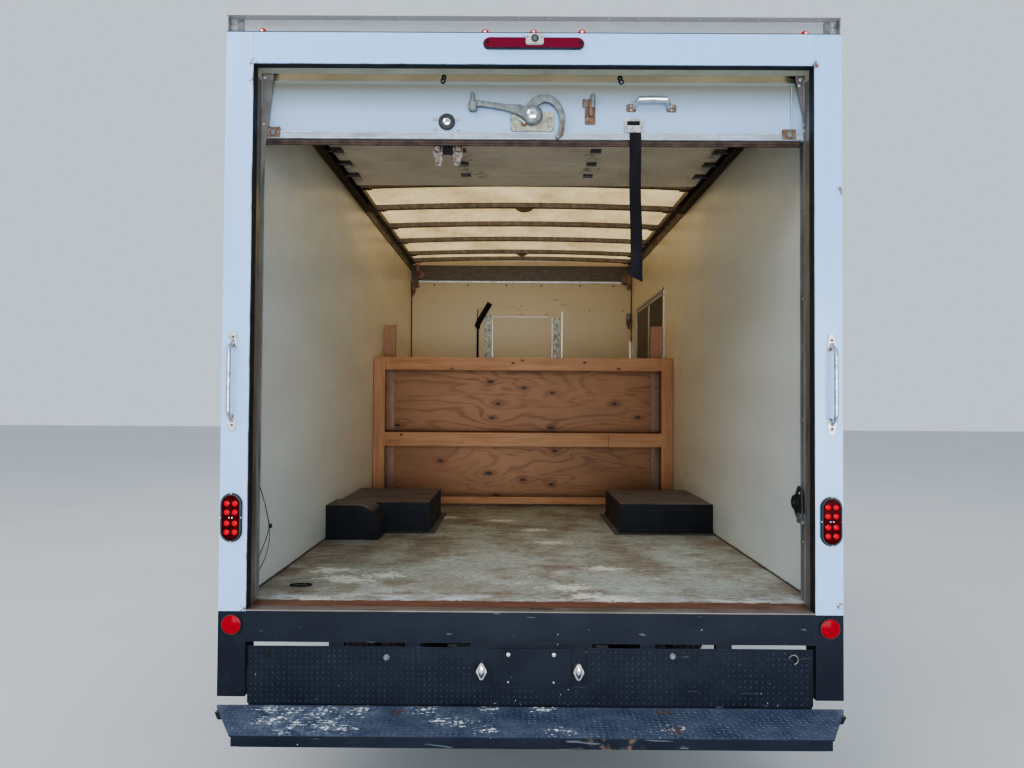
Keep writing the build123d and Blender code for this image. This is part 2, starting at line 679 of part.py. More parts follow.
parts["side_door_rear"] = side_door(SIDE_DOOR_REAR, SIDE_DOOR_MIDDLE)
parts["side_door_front"] = side_door(SIDE_DOOR_FRONT, SIDE_DOOR_MIDDLE)

# Rear frame, roof cap, sill, kick plate and step
CAP_SET_BACK = 40.0
CAP_WALL = 4.0
CAP_FOOT_BACK = 8.0
SILL_DEPTH = RAIL_REAR
SILL_TOP = -FRAME_FOOT
SILL_BOTTOM = -124.0
CORNER_POST_BOTTOM = -336.0
KICK_MARGIN = 5.0
KICK_TOP = -145.0
KICK_BOTTOM = -366.0
KICK_THICK = 6.0
KICK_BACK = 14.0
NOTCH = (-215.0, 222.0)
NOTCH_BOTTOM = -297.0
STEP_TOP = -373.0
STEP_THICK = 6.0
STEP_LIP = 39.0
STEP_REAR_HALF = 1072.0
STEP_ARM_DROP = 110.0
STEP_RIBS = (420.0, 900.0)
PLATE_BOLT_SPACING = 178.0
PLATE_BOLT_RADIUS = 3.2
PLATE_BOLT_Z = -172.0
PLATE_X = (-145.0, 153.0)
PLATE_Z = (-296.0, -155.0)
PLATE_STEPS = (6.0, 12.0)
KICK_LEGS = (-760.0, -460.0, 460.0, 760.0)


def rear_frame():
    """Two posts and a header in one weldment; the posts run on down beside the kick plate."""
    y = (REAR_FACE_Y, from_rear(FRAME_DEPTH))
    outer = slab((-HALF_WIDTH, HALF_WIDTH), y, (above_deck(CORNER_POST_BOTTOM), above_deck(FRAME_HEIGHT)))
    opening = slab(
        (-OPENING_HALF, OPENING_HALF),
        (y[0] - 1, y[1] + 1),
        (above_deck(CORNER_POST_BOTTOM) - 1, above_deck(OPENING_HEIGHT)),
    )
    return outer - opening


def roof_cap():
    """A channel along the top of the rear frame, open to the rear."""
    low, high = above_deck(FRAME_HEIGHT), above_deck(CAP_HEIGHT)
    x = (-HALF_WIDTH, HALF_WIDTH)
    web_y = (from_rear(CAP_SET_BACK), from_rear(CAP_SET_BACK + CAP_WALL))
    cap = slab(x, web_y, (low, high))
    cap += slab(x, (REAR_FACE_Y, from_rear(FRAME_DEPTH)), (high - CAP_WALL, high))
    cap += slab(x, (from_rear(CAP_FOOT_BACK), from_rear(FRAME_DEPTH)), (low, low + CAP_WALL))
    for sign in SIDES.values():
        end = sorted((sign * HALF_WIDTH, sign * (HALF_WIDTH - CAP_WALL)))
        cap += slab(end, (from_rear(CAP_FOOT_BACK), from_rear(CAP_SET_BACK)), (low, high))
    return cap


def rear_sill():
    """The beam under the doorway with the threshold plate on it."""
    x = (-OPENING_HALF, OPENING_HALF)
    beam = slab(x, (REAR_FACE_Y, from_rear(SILL_DEPTH)), (above_deck(SILL_BOTTOM), above_deck(SILL_TOP)))
    return beam + slab(x, (REAR_FACE_Y, from_rear(FLOOR_REAR)), (above_deck(SILL_TOP), DECK_Z))


def kick_plate():
    """The plate between sill and step, with the number plate's backing in its notch."""
    face = from_rear(KICK_BACK)
    back = face + KICK_THICK
    half = OPENING_HALF - KICK_MARGIN
    plate = slab((-half, half), (face, back), (above_deck(KICK_BOTTOM), above_deck(KICK_TOP)))
    plate -= slab(NOTCH, (face - 1, back + 1), (above_deck(NOTCH_BOTTOM), above_deck(KICK_TOP) + 1))
    for x in KICK_LEGS:
        plate += slab((x - 30, x + 30), (back, back + 40), (above_deck(KICK_BOTTOM), above_deck(SILL_BOTTOM)))
    backing_x = (NOTCH[0] - 20, NOTCH[1] + 20)
    backing_y = (back, back + PLATE_STEPS[0])
    plate += slab(backing_x, backing_y, (above_deck(NOTCH_BOTTOM - 20), above_deck(SILL_BOTTOM)))
    holder_y = (back - PLATE_STEPS[0], back)
    plate += slab(PLATE_X, holder_y, [above_deck(z) for z in PLATE_Z])
    for sign in SIDES.values():
        x = sum(PLATE_X) / 2 + sign * PLATE_BOLT_SPACING / 2
        z = above_deck(PLATE_BOLT_Z)
        plate -= rod((x, holder_y[0] - 1, z), (x, backing_y[1] + 1, z), PLATE_BOLT_RADIUS)
    return plate


def rear_step():
    """A plate bent down along its rear edge, narrower there, on ribs and two arms to the rails."""
    top = above_deck(STEP_TOP)
    under = top - STEP_THICK
    rear = REAR_FACE_Y - STEP_DEPTH
    front = from_rear(KICK_BACK - 2)
    rows = mirrored([(HALF_WIDTH, front, 0), (HALF_WIDTH, REAR_FACE_Y, 0), (STEP_REAR_HALF, rear, 20)])
    step = prism("z", outline(rows), under, top)
    lip_half = STEP_REAR_HALF - 30
    step += slab((-lip_half, lip_half), (rear, rear + STEP_THICK), (top - STEP_LIP, under))
    for x in STEP_RIBS:
        rib = outline([
            (rear + STEP_THICK, under, 0), (rear + STEP_THICK, top - STEP_LIP, 0),
            (front, top - STEP_ARM_DROP, 0), (front, under, 0),
        ])
        for sign in SIDES.values():
            step += prism("x", rib, sign * x - 4, sign * x + 4)
    for sign in SIDES.values():
        x = sorted((sign * (RAIL_OUTER_X - RAIL_FLANGE), sign * RAIL_OUTER_X))
        step += slab(x, (front - 100, from_rear(260)), (top - STEP_ARM_DROP, top - 60))
        step += slab(x, (front - 100, front), (top - 60, under))
        step += slab(x, (from_rear(140), from_rear(260)), (top - 60, RAIL_BOTTOM_Z))
    return step


parts["rear_frame"] = rear_frame()
parts["roof_cap"] = roof_cap()
parts["rear_sill"] = rear_sill()
parts["kick_plate"] = kick_plate()
parts["rear_step"] = rear_step()

# Rear door, tracks and fittings
DOOR_RAIL_HEIGHT = 28.0
DOOR_LOWER_HEIGHT = 226.0
SLANT_LOW = (128.0, DOOR_BOTTOM + 232.0)
SLANT_HIGH = (345.0, DOOR_STORED_Z + 10.0)
TRACK_INNER_X = TRACK_OUTER_X - TRACK_WIDTH
TRACK_FACE = 128.0
TRACK_BEND = 190.0
TRACK_TOP = DOOR_STORED_Z + 25.0
TRACK_END = 2612.0
ROLLER_RADIUS = 20.0
ROLLER_STEM = 5.5
ROLLER_DROP = 10.0
HINGE_LENGTH = 56.0
BALANCER_Y = 165.0
BALANCER_Z = INNER_HEIGHT - 48.0
BALANCER_RADIUS = 36.0
LOCK_X = -352.0
LOCK_HEIGHT = 72.0
LATCH_X = -2.0
LATCH_HEIGHT = 99.0
CATCH_X = (220.0, 252.0)
CATCH_HEIGHTS = (62.0, 176.0)
PULL_X = (406.0, 567.0)
PULL_HEIGHTS = (119.0, 177.0)
STRAP_PLATE_X = (376.0, 450.0)
STRAP_PLATE_HEIGHTS = (30.5, 54.0, 88.0)


def rear_door():
    """The stored door: its lower panel with the bottom rail, one slanted panel and the flat ones."""
    face, back = from_rear(DOOR_FACE), from_rear(DOOR_FACE + DOOR_THICK)
    x = (-DOOR_HALF, DOOR_HALF)
    lower = slab(x, (face, back), (above_door(0), above_door(DOOR_LOWER_HEIGHT)))
    lower += slab(x, (face - 6, back + 4), (above_door(0), above_door(DOOR_RAIL_HEIGHT)))
    low = Vector(from_rear(SLANT_LOW[0]), above_deck(SLANT_LOW[1]))
    high = Vector(from_rear(SLANT_HIGH[0]), above_deck(SLANT_HIGH[1]))
    run = (high - low).normalized()
    out = Vector(-run.Y, run.X) * DOOR_THICK / 2
    corners = [low - out, high - out, high + out, low + out]
    slanted = prism("x", outline([(point.X, point.Y, 0) for point in corners]), *x)
    panels = [lower, slanted]
    first = SLANT_HIGH[0] + 2 * DOOR_PANEL_GAP
    for index in range(DOOR_FLAT_PANELS):
        start = from_rear(first + index * DOOR_PANEL_PITCH)
        y = (start, start + DOOR_PANEL_PITCH - DOOR_PANEL_GAP)
        panels.append(slab(x, y, (above_deck(DOOR_STORED_Z), above_deck(DOOR_STORED_Z) + DOOR_THICK)))
    return together(*panels)


def door_track():
    """A channel up the jamb, round a bend and along under the roof, open to the middle."""
    low = above_deck(4)
    top = above_deck(TRACK_TOP)
    rear = from_rear(TRACK_FACE)
    front = from_rear(TRACK_END)

    def band(inset):
        return [
            (rear + inset, low - inset, 0),
            (rear + inset, top - inset, TRACK_BEND - inset),
            (front + inset, top - inset, 0),
            (front + inset, top - TRACK_DEPTH + inset, 0),
            (rear + TRACK_DEPTH - inset, top - TRACK_DEPTH + inset, TRACK_BEND - TRACK_DEPTH + inset),
            (rear + TRACK_DEPTH - inset, low - inset, 0),
        ]

    shell = prism("x", outline(band(0)), TRACK_INNER_X, TRACK_OUTER_X)
    hollow = prism("x", outline(band(TRACK_WALL)), TRACK_INNER_X - 1, TRACK_OUTER_X - TRACK_WALL)
    return shell - hollow


def balancer():
    """The spring shaft behind the header, carried by a plate at each end."""
    y, z = from_rear(BALANCER_Y), above_deck(BALANCER_Z)
    reach = TRACK_INNER_X - 20
    shaft = rod((-reach, y, z), (reach, y, z), 12)
    shaft += rod((-reach + 60, y, z), (reach - 60, y, z), BALANCER_RADIUS)
    for sign in SIDES.values():
        x = sorted((sign * reach, sign * (reach - 6)))
        shaft += slab(x, (from_rear(FRAME_DEPTH), y + 30), (z - 30, z + 36))
    return shaft


def door_fittings():
    """Rollers, hinges and the outside lock, latch and handle of the stored door."""
    solids = []
    z = above_deck(DOOR_STORED_Z)
    first = SLANT_HIGH[0] + 2 * DOOR_PANEL_GAP
    inner, outer = DOOR_HALF - 4 - HINGE_LENGTH, TRACK_OUTER_X - 12
    for index in range(1, DOOR_FLAT_PANELS):
        y = from_rear(first + index * DOOR_PANEL_PITCH)
        for sign in SIDES.values():
            plate = slab(sorted((sign * inner, sign * (DOOR_HALF - 4))), (y - 40, y + 40), (z - 4, z))
            ends = [(sign * x, y, z - ROLLER_DROP) for x in (inner, TRACK_INNER_X + 8, outer)]
            plate += rod(ends[0], ends[2], ROLLER_STEM) + rod(ends[1], ends[2], ROLLER_RADIUS)
            solids.append(plate)
    face = from_rear(DOOR_FACE)
    solids += [lock_ring(face), latch(face), pull_handle(face), strap_plate(face)]
    solids.append(slab(CATCH_X, (face - 5, face), [above_door(height) for height in CATCH_HEIGHTS]))
    return together(*solids)


def strap_plate(face):
    """The plate on the door's face that holds the upper end of the strap."""
    low, middle, high = [above_door(height) for height in STRAP_PLATE_HEIGHTS]
    lip = slab(STRAP_PLATE_X, (face - 10, face - 6), (low, high))
    return lip + slab(STRAP_PLATE_X, (face - 6, face), (middle, high))


def lock_ring(face):
    """The round lock in its ring."""
    x, z = LOCK_X, above_door(LOCK_HEIGHT)
    ring = rod((x, face - 9, z), (x, face, z), 34)
    return ring + rod((x, face - 14, z), (x, face - 9, z), 14)


def latch(face):
    """The latch plate with its hub, the long lever and the curved hook."""
    hub_x, hub_z = LATCH_X, above_door(LATCH_HEIGHT)
    plate = slab((hub_x - 89, hub_x + 91), (face - 6, face), (hub_z - 65, hub_z - 5))
    hub = rod((hub_x, face - 30, hub_z - 20), (hub_x, face - 6, hub_z - 20), 28)
    lever = prism("y", outline([
        (hub_x, hub_z - 34, 8), (hub_x, hub_z - 2, 8),
        (hub_x - 243, hub_z + 34, 10), (hub_x - 247, hub_z + 6, 10),
    ]), face - 26, face - 12)
    arc = ThreePointArc((hub_x + 8, hub_z + 18), (hub_x + 105, hub_z + 42), (hub_x + 124, hub_z - 82))
    hook = prism("y", make_face(offset_band(arc, 12)), face - 26, face - 12)
    return plate + hub + lever + hook


def offset_band(arc, half):
    """The outline of a bar of constant width along an arc."""
    centre, radius = Vector(arc.arc_center), arc.radius

    def at(share, distance):
        point = arc @ share
        outward = (point - centre).normalized()
        return centre + outward * (radius + distance)

    outer = ThreePointArc(at(0, half), at(0.5, half), at(1, half))
    inner = ThreePointArc(at(1, -half), at(0.5, -half), at(0, -half))
    return [outer, Line(outer @ 1, inner @ 0), inner, Line(inner @ 1, outer @ 0)]


def pull_handle(face):
    """A bowed bar on two small pads."""
    low, high = [above_door(height) for height in PULL_HEIGHTS]
    middle = (low + high) / 2
    pads = [slab((x - 10, x + 10), (face - 5, face), (low, high)) for x in PULL_X]
    near, far = PULL_X
    places = [(near, face - 4), (near, face - 40), (far, face - 40), (far, face - 4)]
    return tube_path([(x, y, middle) for x, y in places], 18, 7) + pads


STRAP_WIDTH = 50.0
STRAP_THICK = 3.0
STRAP_ROUTE = [
    (413.0, DOOR_FACE - 8, 30.0), (414.0, DOOR_FACE - 12, -41.0), (411.0, DOOR_FACE - 6, -201.0),
    (417.0, DOOR_FACE - 13, -391.0), (418.0, DOOR_FACE - 9, -570.0),
]


def pull_strap():
    """The flat strap that hangs from the door's lower edge."""
    points = [Vector(x, from_rear(y), above_door(z)) for x, y, z in STRAP_ROUTE]
    radii = []
    for before, corner, after in zip(points, points[1:], points[2:]):
        turn = math.radians((corner - before).get_angle(after - corner))
        shorter = min((corner - before).length, (after - corner).length)
        radii.append(0.45 * shorter / math.tan(turn / 2))
    print("strap radii", [round(radius) for radius in radii])
    path = FilletPolyline(*points, radius=radii)
    section = Plane(origin=path @ 0, x_dir=(1, 0, 0), z_dir=path % 0) * Rectangle(STRAP_WIDTH, STRAP_THICK)
    strap = sweep(section, path=path)
    print("strap volume over section times length", strap.volume / (STRAP_WIDTH * STRAP_THICK * path.length))
    return strap


parts["rollup_door"] = rear_door()
parts["door_tracks"] = together(both_sides(door_track()), balancer())
parts["door_fittings"] = door_fittings()
parts["pull_strap"] = pull_strap()

# Lamps, handles and reflectors
TAIL_LAMP_X = HALF_WIDTH - 48.0
TAIL_LAMP_Z = (262.0, 454.0)
TAIL_LAMP_WIDTH = 86.0
LAMP_PROUD = 14.0
STOP_LAMP_HALF = 200.0
STOP_LAMP_Z = (FRAME_HEIGHT - 69.0, FRAME_HEIGHT - 25.0)
REFLECTOR_X = HALF_WIDTH - 54.0
REFLECTOR_Z = -57.0
REFLECTOR_RADIUS = 40.0
MARKER_X = (131.0 - HALF_WIDTH, -194.0, 0.0, 194.0, HALF_WIDTH - 131.0)
MARKER_RADIUS = 12.5
MARKER_Z = FRAME_HEIGHT + 17.0
SIDE_MARKERS = (300.0, BOX_LENGTH / 2 + 95.0, BOX_LENGTH - 210.0)
SIDE_MARKER_Z = 130.0
LICENCE_LAMP_X = 189.0
LICENCE_LAMP_Z = -231.0
LICENCE_LAMP_HALF = (22.0, 41.0)
HANDLE_X = HALF_WIDTH - 44.0
HANDLE_Z = (711.0, 1074.0)
HANDLE_STAND_OFF = 45.0
HANDLE_RADIUS = 8.0


def rear_lamps():
    """The oval tail lamps, the stop lamp over the doorway and the round reflectors."""
    y = (REAR_FACE_Y - LAMP_PROUD, REAR_FACE_Y)
    height = TAIL_LAMP_Z[1] - TAIL_LAMP_Z[0]
    solids = []
    for sign in SIDES.values():
        oval = Rot(0, 0, 90) * SlotOverall(height, TAIL_LAMP_WIDTH)
        centre = above_deck(sum(TAIL_LAMP_Z) / 2)
        solids.append(prism("y", Pos(sign * TAIL_LAMP_X, centre) * oval, *y))
        z = above_deck(REFLECTOR_Z)
        x = sign * REFLECTOR_X
        solids.append(rod((x, REAR_FACE_Y - 8, z), (x, REAR_FACE_Y, z), REFLECTOR_RADIUS))
    bar = SlotOverall(2 * STOP_LAMP_HALF, STOP_LAMP_Z[1] - STOP_LAMP_Z[0])
    solids.append(prism("y", Pos(0, above_deck(sum(STOP_LAMP_Z) / 2)) * bar, REAR_FACE_Y - 22, REAR_FACE_Y))
    return together(*solids)


def marker_lamps():
    """Small round lamps: red in the rear cap and by the rear corners, amber at the front and mid side."""
    solids = []
    rear_web = from_rear(CAP_SET_BACK)
    for x in MARKER_X:
        z = above_deck(MARKER_Z)
        solids.append(rod((x, rear_web - 16, z), (x, rear_web, z), MARKER_RADIUS))
        high = above_deck(CROWN_TOP) - 60
        solids.append(rod((x, BOX_FRONT_Y, high), (x, BOX_FRONT_Y + 16, high), 2 * MARKER_RADIUS))
    for sign in SIDES.values():
        for place in SIDE_MARKERS:
            y, z = from_rear(place), above_deck(SIDE_MARKER_Z)
            solids.append(rod((sign * WALL_OUTER, y, z), (sign * (WALL_OUTER + 16), y, z), 2 * MARKER_RADIUS))
    return together(*solids)


def licence_lamps():
    """A lozenge-shaped lamp on each side of the number plate."""
    wide, high = LICENCE_LAMP_HALF
    z = above_deck(LICENCE_LAMP_Z)
    face = from_rear(KICK_BACK + KICK_THICK)
    solids = []
    for sign in SIDES.values():
        x = sign * LICENCE_LAMP_X
        rows = [(x - wide, z, 8), (x, z + high, 8), (x + wide, z, 8), (x, z - high, 8)]
        solids.append(prism("y", outline(rows), face - 30, face))
    return together(*solids)


def grab_handles():
    """A bowed bar on two pads on each rear post."""
    solids = []
    for sign in SIDES.values():
        x = sign * HANDLE_X
        low, high = [above_deck(z) for z in HANDLE_Z]
        handle = slab((x - 16, x + 16), (REAR_FACE_Y - 5, REAR_FACE_Y), (low, low + 50))
        handle += slab((x - 16, x + 16), (REAR_FACE_Y - 5, REAR_FACE_Y), (high - 50, high))
        points = [
            (x, REAR_FACE_Y - 5, low + 25), (x, REAR_FACE_Y - HANDLE_STAND_OFF, low + 55),
            (x, REAR_FACE_Y - HANDLE_STAND_OFF, high - 55), (x, REAR_FACE_Y - 5, high - 25),
        ]
        solids.append(handle + tube_path(points, 24, HANDLE_RADIUS))
    return together(*solids)


parts["rear_lamps"] = rear_lamps()
parts["marker_lamps"] = marker_lamps()
parts["licence_lamps"] = licence_lamps()
parts["grab_handles"] = grab_handles()

# Wheel boxes, filler box, shelf and mud flaps
SHELF_RAILS = ((20.0, 73.0), (466.0, 572.0), (1060.0, 1160.0))
SHELF_BACK_TOP = 1446.0
SHELF_BACK_POST_X = (1058.0, 1155.0)
SHELF_PLY = 18.0
FLANGE = 40.0
FLAP_THICK = 10.0
FLAP_BACK = 480.0
FLAP_BOTTOM_Z = 230.0
FLAP_X = (690.0, 1150.0)


def wheel_box(sign):
    """A plate box over a pair of wheels, open below and against the wall."""
    x = sorted((sign * WHEEL_BOX_INNER, sign * INNER_HALF))
    y = (WHEEL_BOX_REAR_Y, WHEEL_BOX_FRONT_Y)
    low = DECK_Z - FLOOR_THICK
    outer = slab(x, y, (DECK_Z, above_deck(WHEEL_BOX_HEIGHT)))
    inner_x = sorted((sign * (WHEEL_BOX_INNER + BOX_PLATE), sign * (INNER_HALF + 1)))
    inner_y = (y[0] + BOX_PLATE, y[1] - BOX_PLATE)
    inner = slab(inner_x, inner_y, (low - 1, above_deck(WHEEL_BOX_HEIGHT - BOX_PLATE)))
    flange_x = sorted((sign * (WHEEL_BOX_INNER - FLANGE), sign * INNER_HALF))
    flange = slab(flange_x, (y[0] - FLANGE, y[1] + FLANGE), (DECK_Z, DECK_Z + BOX_PLATE))
    return outer + flange - inner


def filler_box():
    """The box over the filler pipe behind the left wheel box, with one large round edge."""
    inner_edge = -INNER_HALF + FILLER_WIDTH
    y = (WHEEL_BOX_REAR_Y - FILLER_LENGTH, WHEEL_BOX_REAR_Y)
    face = outline([
        (-INNER_HALF, DECK_Z, 0), (inner_edge, DECK_Z, 0),
        (inner_edge, above_deck(FILLER_HEIGHT), FILLER_CORNER), (-INNER_HALF, above_deck(FILLER_HEIGHT), 0),
    ])
    return prism("y", face, *y)


def shelf_frame():
    """Posts, rails and cross bearers of the built-in shelf."""
    front = from_rear(SHELF_FRONT)
    back = front + SHELF_DEPTH
    solids = []
    for sign in SIDES.values():
        post_x = sorted((sign * (INNER_HALF - POST_WIDTH - 4), sign * (INNER_HALF - 4)))
        post = slab(post_x, (front, front + LUMBER), (DECK_Z, above_deck(SHELF_RAILS[2][1])))
        back_x = sorted((sign * SHELF_BACK_POST_X[0], sign * SHELF_BACK_POST_X[1]))
        post += slab(back_x, (back - LUMBER, back), (DECK_Z, above_deck(SHELF_BACK_TOP)))
        for low, high in SHELF_RAILS:
            side_x = sorted((sign * (INNER_HALF - 4 - LUMBER), sign * (INNER_HALF - 4)))
            side_low = max(DECK_Z, above_deck(high) - POST_WIDTH)
            post += slab(side_x, (front + LUMBER, back), (side_low, above_deck(high)))
        solids.append(post)
    half = INNER_HALF - POST_WIDTH - 4
    back_half = SHELF_BACK_POST_X[0]
    for low, high in SHELF_RAILS:
        z = (above_deck(low), above_deck(high))
        solids.append(slab((-half, half), (front, front + LUMBER), z))
        solids.append(slab((-back_half, back_half), (back - LUMBER, back), z))
    return solids[0] + solids[1:]


def shelf_panels():
    """The plywood back and the decks on the rails."""
    front = from_rear(SHELF_FRONT)
    back = front + SHELF_DEPTH
    half = INNER_HALF - 4 - LUMBER
    solids = []
    for low, high in SHELF_RAILS[1:]:
        z = (above_deck(high) - SHELF_PLY, above_deck(high))
        solids.append(slab((-half, half), (front + LUMBER, back - LUMBER), z))
    tops = (SHELF_RAILS[1][1] - SHELF_PLY, SHELF_RAILS[2][1] - SHELF_PLY)
    lows = (0.0, SHELF_RAILS[1][1])
    for low, top in zip(lows, tops):
        z = (above_deck(low) + 1, above_deck(top) - 1)
        solids.append(slab((-half, half), (back - LUMBER - SHELF_PLY, back - LUMBER), z))
    return together(*solids)


def mud_flaps():
    """Flaps behind the rear wheels, each hung from a bar off the frame rail."""
    y = REAR_AXLE_Y - FLAP_BACK
    top = RAIL_BOTTOM_Z + 60
    flap = slab(FLAP_X, (y - FLAP_THICK, y), (FLAP_BOTTOM_Z, top))
    bar = slab((RAIL_OUTER_X, FLAP_X[1]), (y, y + 30), (top - 40, top))
    return both_sides(flap + bar)


parts["wheel_boxes"] = together(wheel_box(1), wheel_box(-1) + filler_box())
parts["shelf_frame"] = shelf_frame()
parts["shelf_panels"] = shelf_panels()
parts["mud_flaps"] = mud_flaps()

# Cab, drawn from the front axle: rows are ahead of the axle, height and corner radius
CAB_BACK = NOSE_OVERHANG - CAB_LENGTH
NOSE_FACE = NOSE_OVERHANG - 95.0
COWL = -85.0
COWL_Z = 1385.0
HEADER = -645.0
HEADER_Z = 2035.0
ROOF_PEAK = -895.0
ROOF_PEAK_Z = 2085.0
ROOF_BACK_Z = 2050.0
BELT_Z = 1345.0
CAB_SILL_HALF = CAB_HALF - 35.0
CAB_ROOF_HALF = CAB_HALF - 140.0
CAB_NOSE_HALF = CAB_HALF - 80.0
FIREWALL = -285.0
COWL_SHELF_Z = 1270.0
FLOOR_PANEL = 35.0
HOOD_REAR = 45.0
HOOD_HALF = CAB_NOSE_HALF - 150.0
HOOD_LIP_Z = 1085.0
HOOD_SLOPE_END = (655.0, 1190.0)
DOOR_FRONT = -245.0
DOOR_REAR = -1255.0
DOOR_TOP_Z = 1965.0
DOOR_FOOT_Z = 580.0
CAB_REACH = 60.0
DOOR_ROWS = [
    (-485.0, DOOR_FOOT_Z, 30), (DOOR_FRONT, 800.0, 80), (DOOR_FRONT, 1498.0, 60),
    (-657.0, DOOR_TOP_Z, 60), (DOOR_REAR, DOOR_TOP_Z, 60), (DOOR_REAR, DOOR_FOOT_Z, 60),
]
WINDOW_ROWS = [
    (-330.0, BELT_Z, 40), (-330.0, 1470.0, 40), (-700.0, 1885.0, 50),
    (DOOR_REAR + 80, 1885.0, 50), (DOOR_REAR + 80, BELT_Z, 40),
]
WINDSHIELD_ROWS = [(860.0, 1425.0, 60), (765.0, 1985.0, 70)]
FENDER_ROWS = [
    (-485.0, 500.0), (-485.0, DOOR_FOOT_Z), (DOOR_FRONT, 800.0), (DOOR_FRONT, 1330.0),
    (-40.0, 1400.0), (NOSE_OVERHANG, 1400.0), (NOSE_OVERHANG, 500.0),
]
FASCIA_BACK = 700.0
FASCIA_BOTTOM_Z = 700.0
GRILLE_HALF = 430.0
GRILLE_Z = (800.0, 1050.0)
GRILLE_BARS = 5
GRILLE_BORDER = 18.0
LAMP_X = (450.0, CAB_HALF - 10.0)
LAMP_Z = (810.0, 1040.0)
LAMP_BACK = 640.0
BUMPER_Z = (450.0, 700.0)
BUMPER_THICK = 45.0
BUMPER_PAD = 16.0
HOOD_HINGE = (48.0, 1353.0)
HOOD_PIN_RADIUS = 2.4
DOOR_HINGE_OUT = 4.0
DOOR_HINGE_BACK = 5.0
DOOR_HINGE_HEIGHT = 80.0
DOOR_HINGES = (880.0, 1240.0)
DOOR_PIN_RADIUS = 6.0
LINER_THICK = 8.0
LINER_INNER_X = 540.0


def from_axle(distance):
    """A Y value, given ahead of the front axle."""
    return FRONT_AXLE_Y + distance


def cab_body(inset, bottom=CAB_BOTTOM_Z):
    """The cab's outer form, or the same form shrunk by an inset, as the meeting of three outlines."""
    side = [
        (CAB_BACK, bottom, 0), (CAB_BACK, ROOF_BACK_Z, 80), (ROOF_PEAK, ROOF_PEAK_Z, 400),
        (HEADER, HEADER_Z, 120), (COWL, COWL_Z, 60), (*HOOD_SLOPE_END, 150),
        (NOSE_FACE - 10, 1050.0, 60), (NOSE_FACE, bottom, 0),
    ]
    front = [
        (CAB_SILL_HALF, bottom, 0), (CAB_HALF, 760.0, 200),
        (CAB_HALF - 6, BELT_Z, 250), (CAB_ROOF_HALF, ROOF_PEAK_Z + 15, 170),
    ]
    plan = [(CAB_HALF + 10, CAB_BACK, 40), (CAB_HALF + 10, 100.0, 500), (CAB_NOSE_HALF, NOSE_FACE, 190)]
    faces = [outline(side), outline(mirrored(front)), outline(mirrored(plan))]
    if inset:
        faces = [offset(face, -inset, kind=Kind.INTERSECTION) for face in faces]
    reach = (CAB_BACK - CAB_REACH, NOSE_FACE + CAB_REACH)
    height = (bottom - CAB_REACH, ROOF_PEAK_Z + CAB_REACH)
    body = prism("x", faces[0], -CAB_HALF - CAB_REACH, CAB_HALF + CAB_REACH)
    body = body & prism("y", faces[1], *reach) & prism("z", faces[2], *height)
    return Pos(0, FRONT_AXLE_Y, 0) * body


def side_prism(face, low, high):
    """A face drawn ahead of the front axle, carried from low to high along X."""
    return Pos(0, FRONT_AXLE_Y, 0) * prism("x", face, low, high)


def sheet_between(outer_inset, inner_inset):
    """A skin of the cab's form between two insets."""
    return cab_body(outer_inset, CAB_BOTTOM_Z - 200) - cab_body(inner_inset, CAB_BOTTOM_Z - 200)


OUTER = cab_body(0)
INNER = cab_body(CAB_WALL, CAB_BOTTOM_Z - 200)
DOOR_INNER = cab_body(DOOR_SKIN, CAB_BOTTOM_Z - 200)
WIDE = CAB_HALF + CAB_REACH
BACK_Y = from_axle(CAB_BACK)


def cab_walls():
    """The whole cab as one skin with its floor, firewall and cowl shelf, before the panels are split."""
    cabin = outline([
        (CAB_BACK, CAB_FLOOR_Z, 0), (FIREWALL, CAB_FLOOR_Z, 0), (FIREWALL, COWL_SHELF_Z, 0),
        (COWL + 15, COWL_SHELF_Z, 0), (COWL + 15, ROOF_PEAK_Z, 0), (CAB_BACK, ROOF_PEAK_Z, 0),
    ])
    bay = outline([
        (FIREWALL + CAB_WALL, CAB_BOTTOM_Z - 160, 0), (NOSE_OVERHANG, CAB_BOTTOM_Z - 160, 0),
        (NOSE_OVERHANG, COWL_Z, 0), (HOOD_REAR + 5, COWL_Z, 0),
        (HOOD_REAR + 5, COWL_SHELF_Z - CAB_WALL, 0), (FIREWALL + CAB_WALL, COWL_SHELF_Z - CAB_WALL, 0),
    ])
    walls = OUTER - (INNER & side_prism(cabin, -WIDE, WIDE)) - (INNER & side_prism(bay, -WIDE, WIDE))
    under = (CAB_BOTTOM_Z - 160, CAB_FLOOR_Z - FLOOR_PANEL)
    under_half = CAB_SILL_HALF - 2 * CAB_WALL
    below = slab((-under_half, under_half), (BACK_Y - 1, from_axle(FIREWALL + CAB_WALL)), under)
    arch = rod((-WIDE, FRONT_AXLE_Y, TYRE_RADIUS), (WIDE, FRONT_AXLE_Y, TYRE_RADIUS), ARCH_RADIUS)
    return walls - below - arch


WALLS = cab_walls()


def door_prism(sign, rows, shrink=0.0):
    """The part of the cab's side inside a door or window outline."""
    face = outline(rows)
    if shrink:
        face = offset(face, -shrink, kind=Kind.INTERSECTION)
    return side_prism(face, *sorted((sign * CAB_HALF / 2, sign * WIDE)))


def hood_block(gap=0.0):
    x = (-HOOD_HALF + gap, HOOD_HALF - gap)
    return slab(x, (from_axle(HOOD_REAR + gap), from_axle(NOSE_OVERHANG)), (HOOD_LIP_Z + gap, COWL_Z + 20))


FRONT_CUT_BACK = -600.0
FRONT_CUT_Z = (400.0, 1500.0)


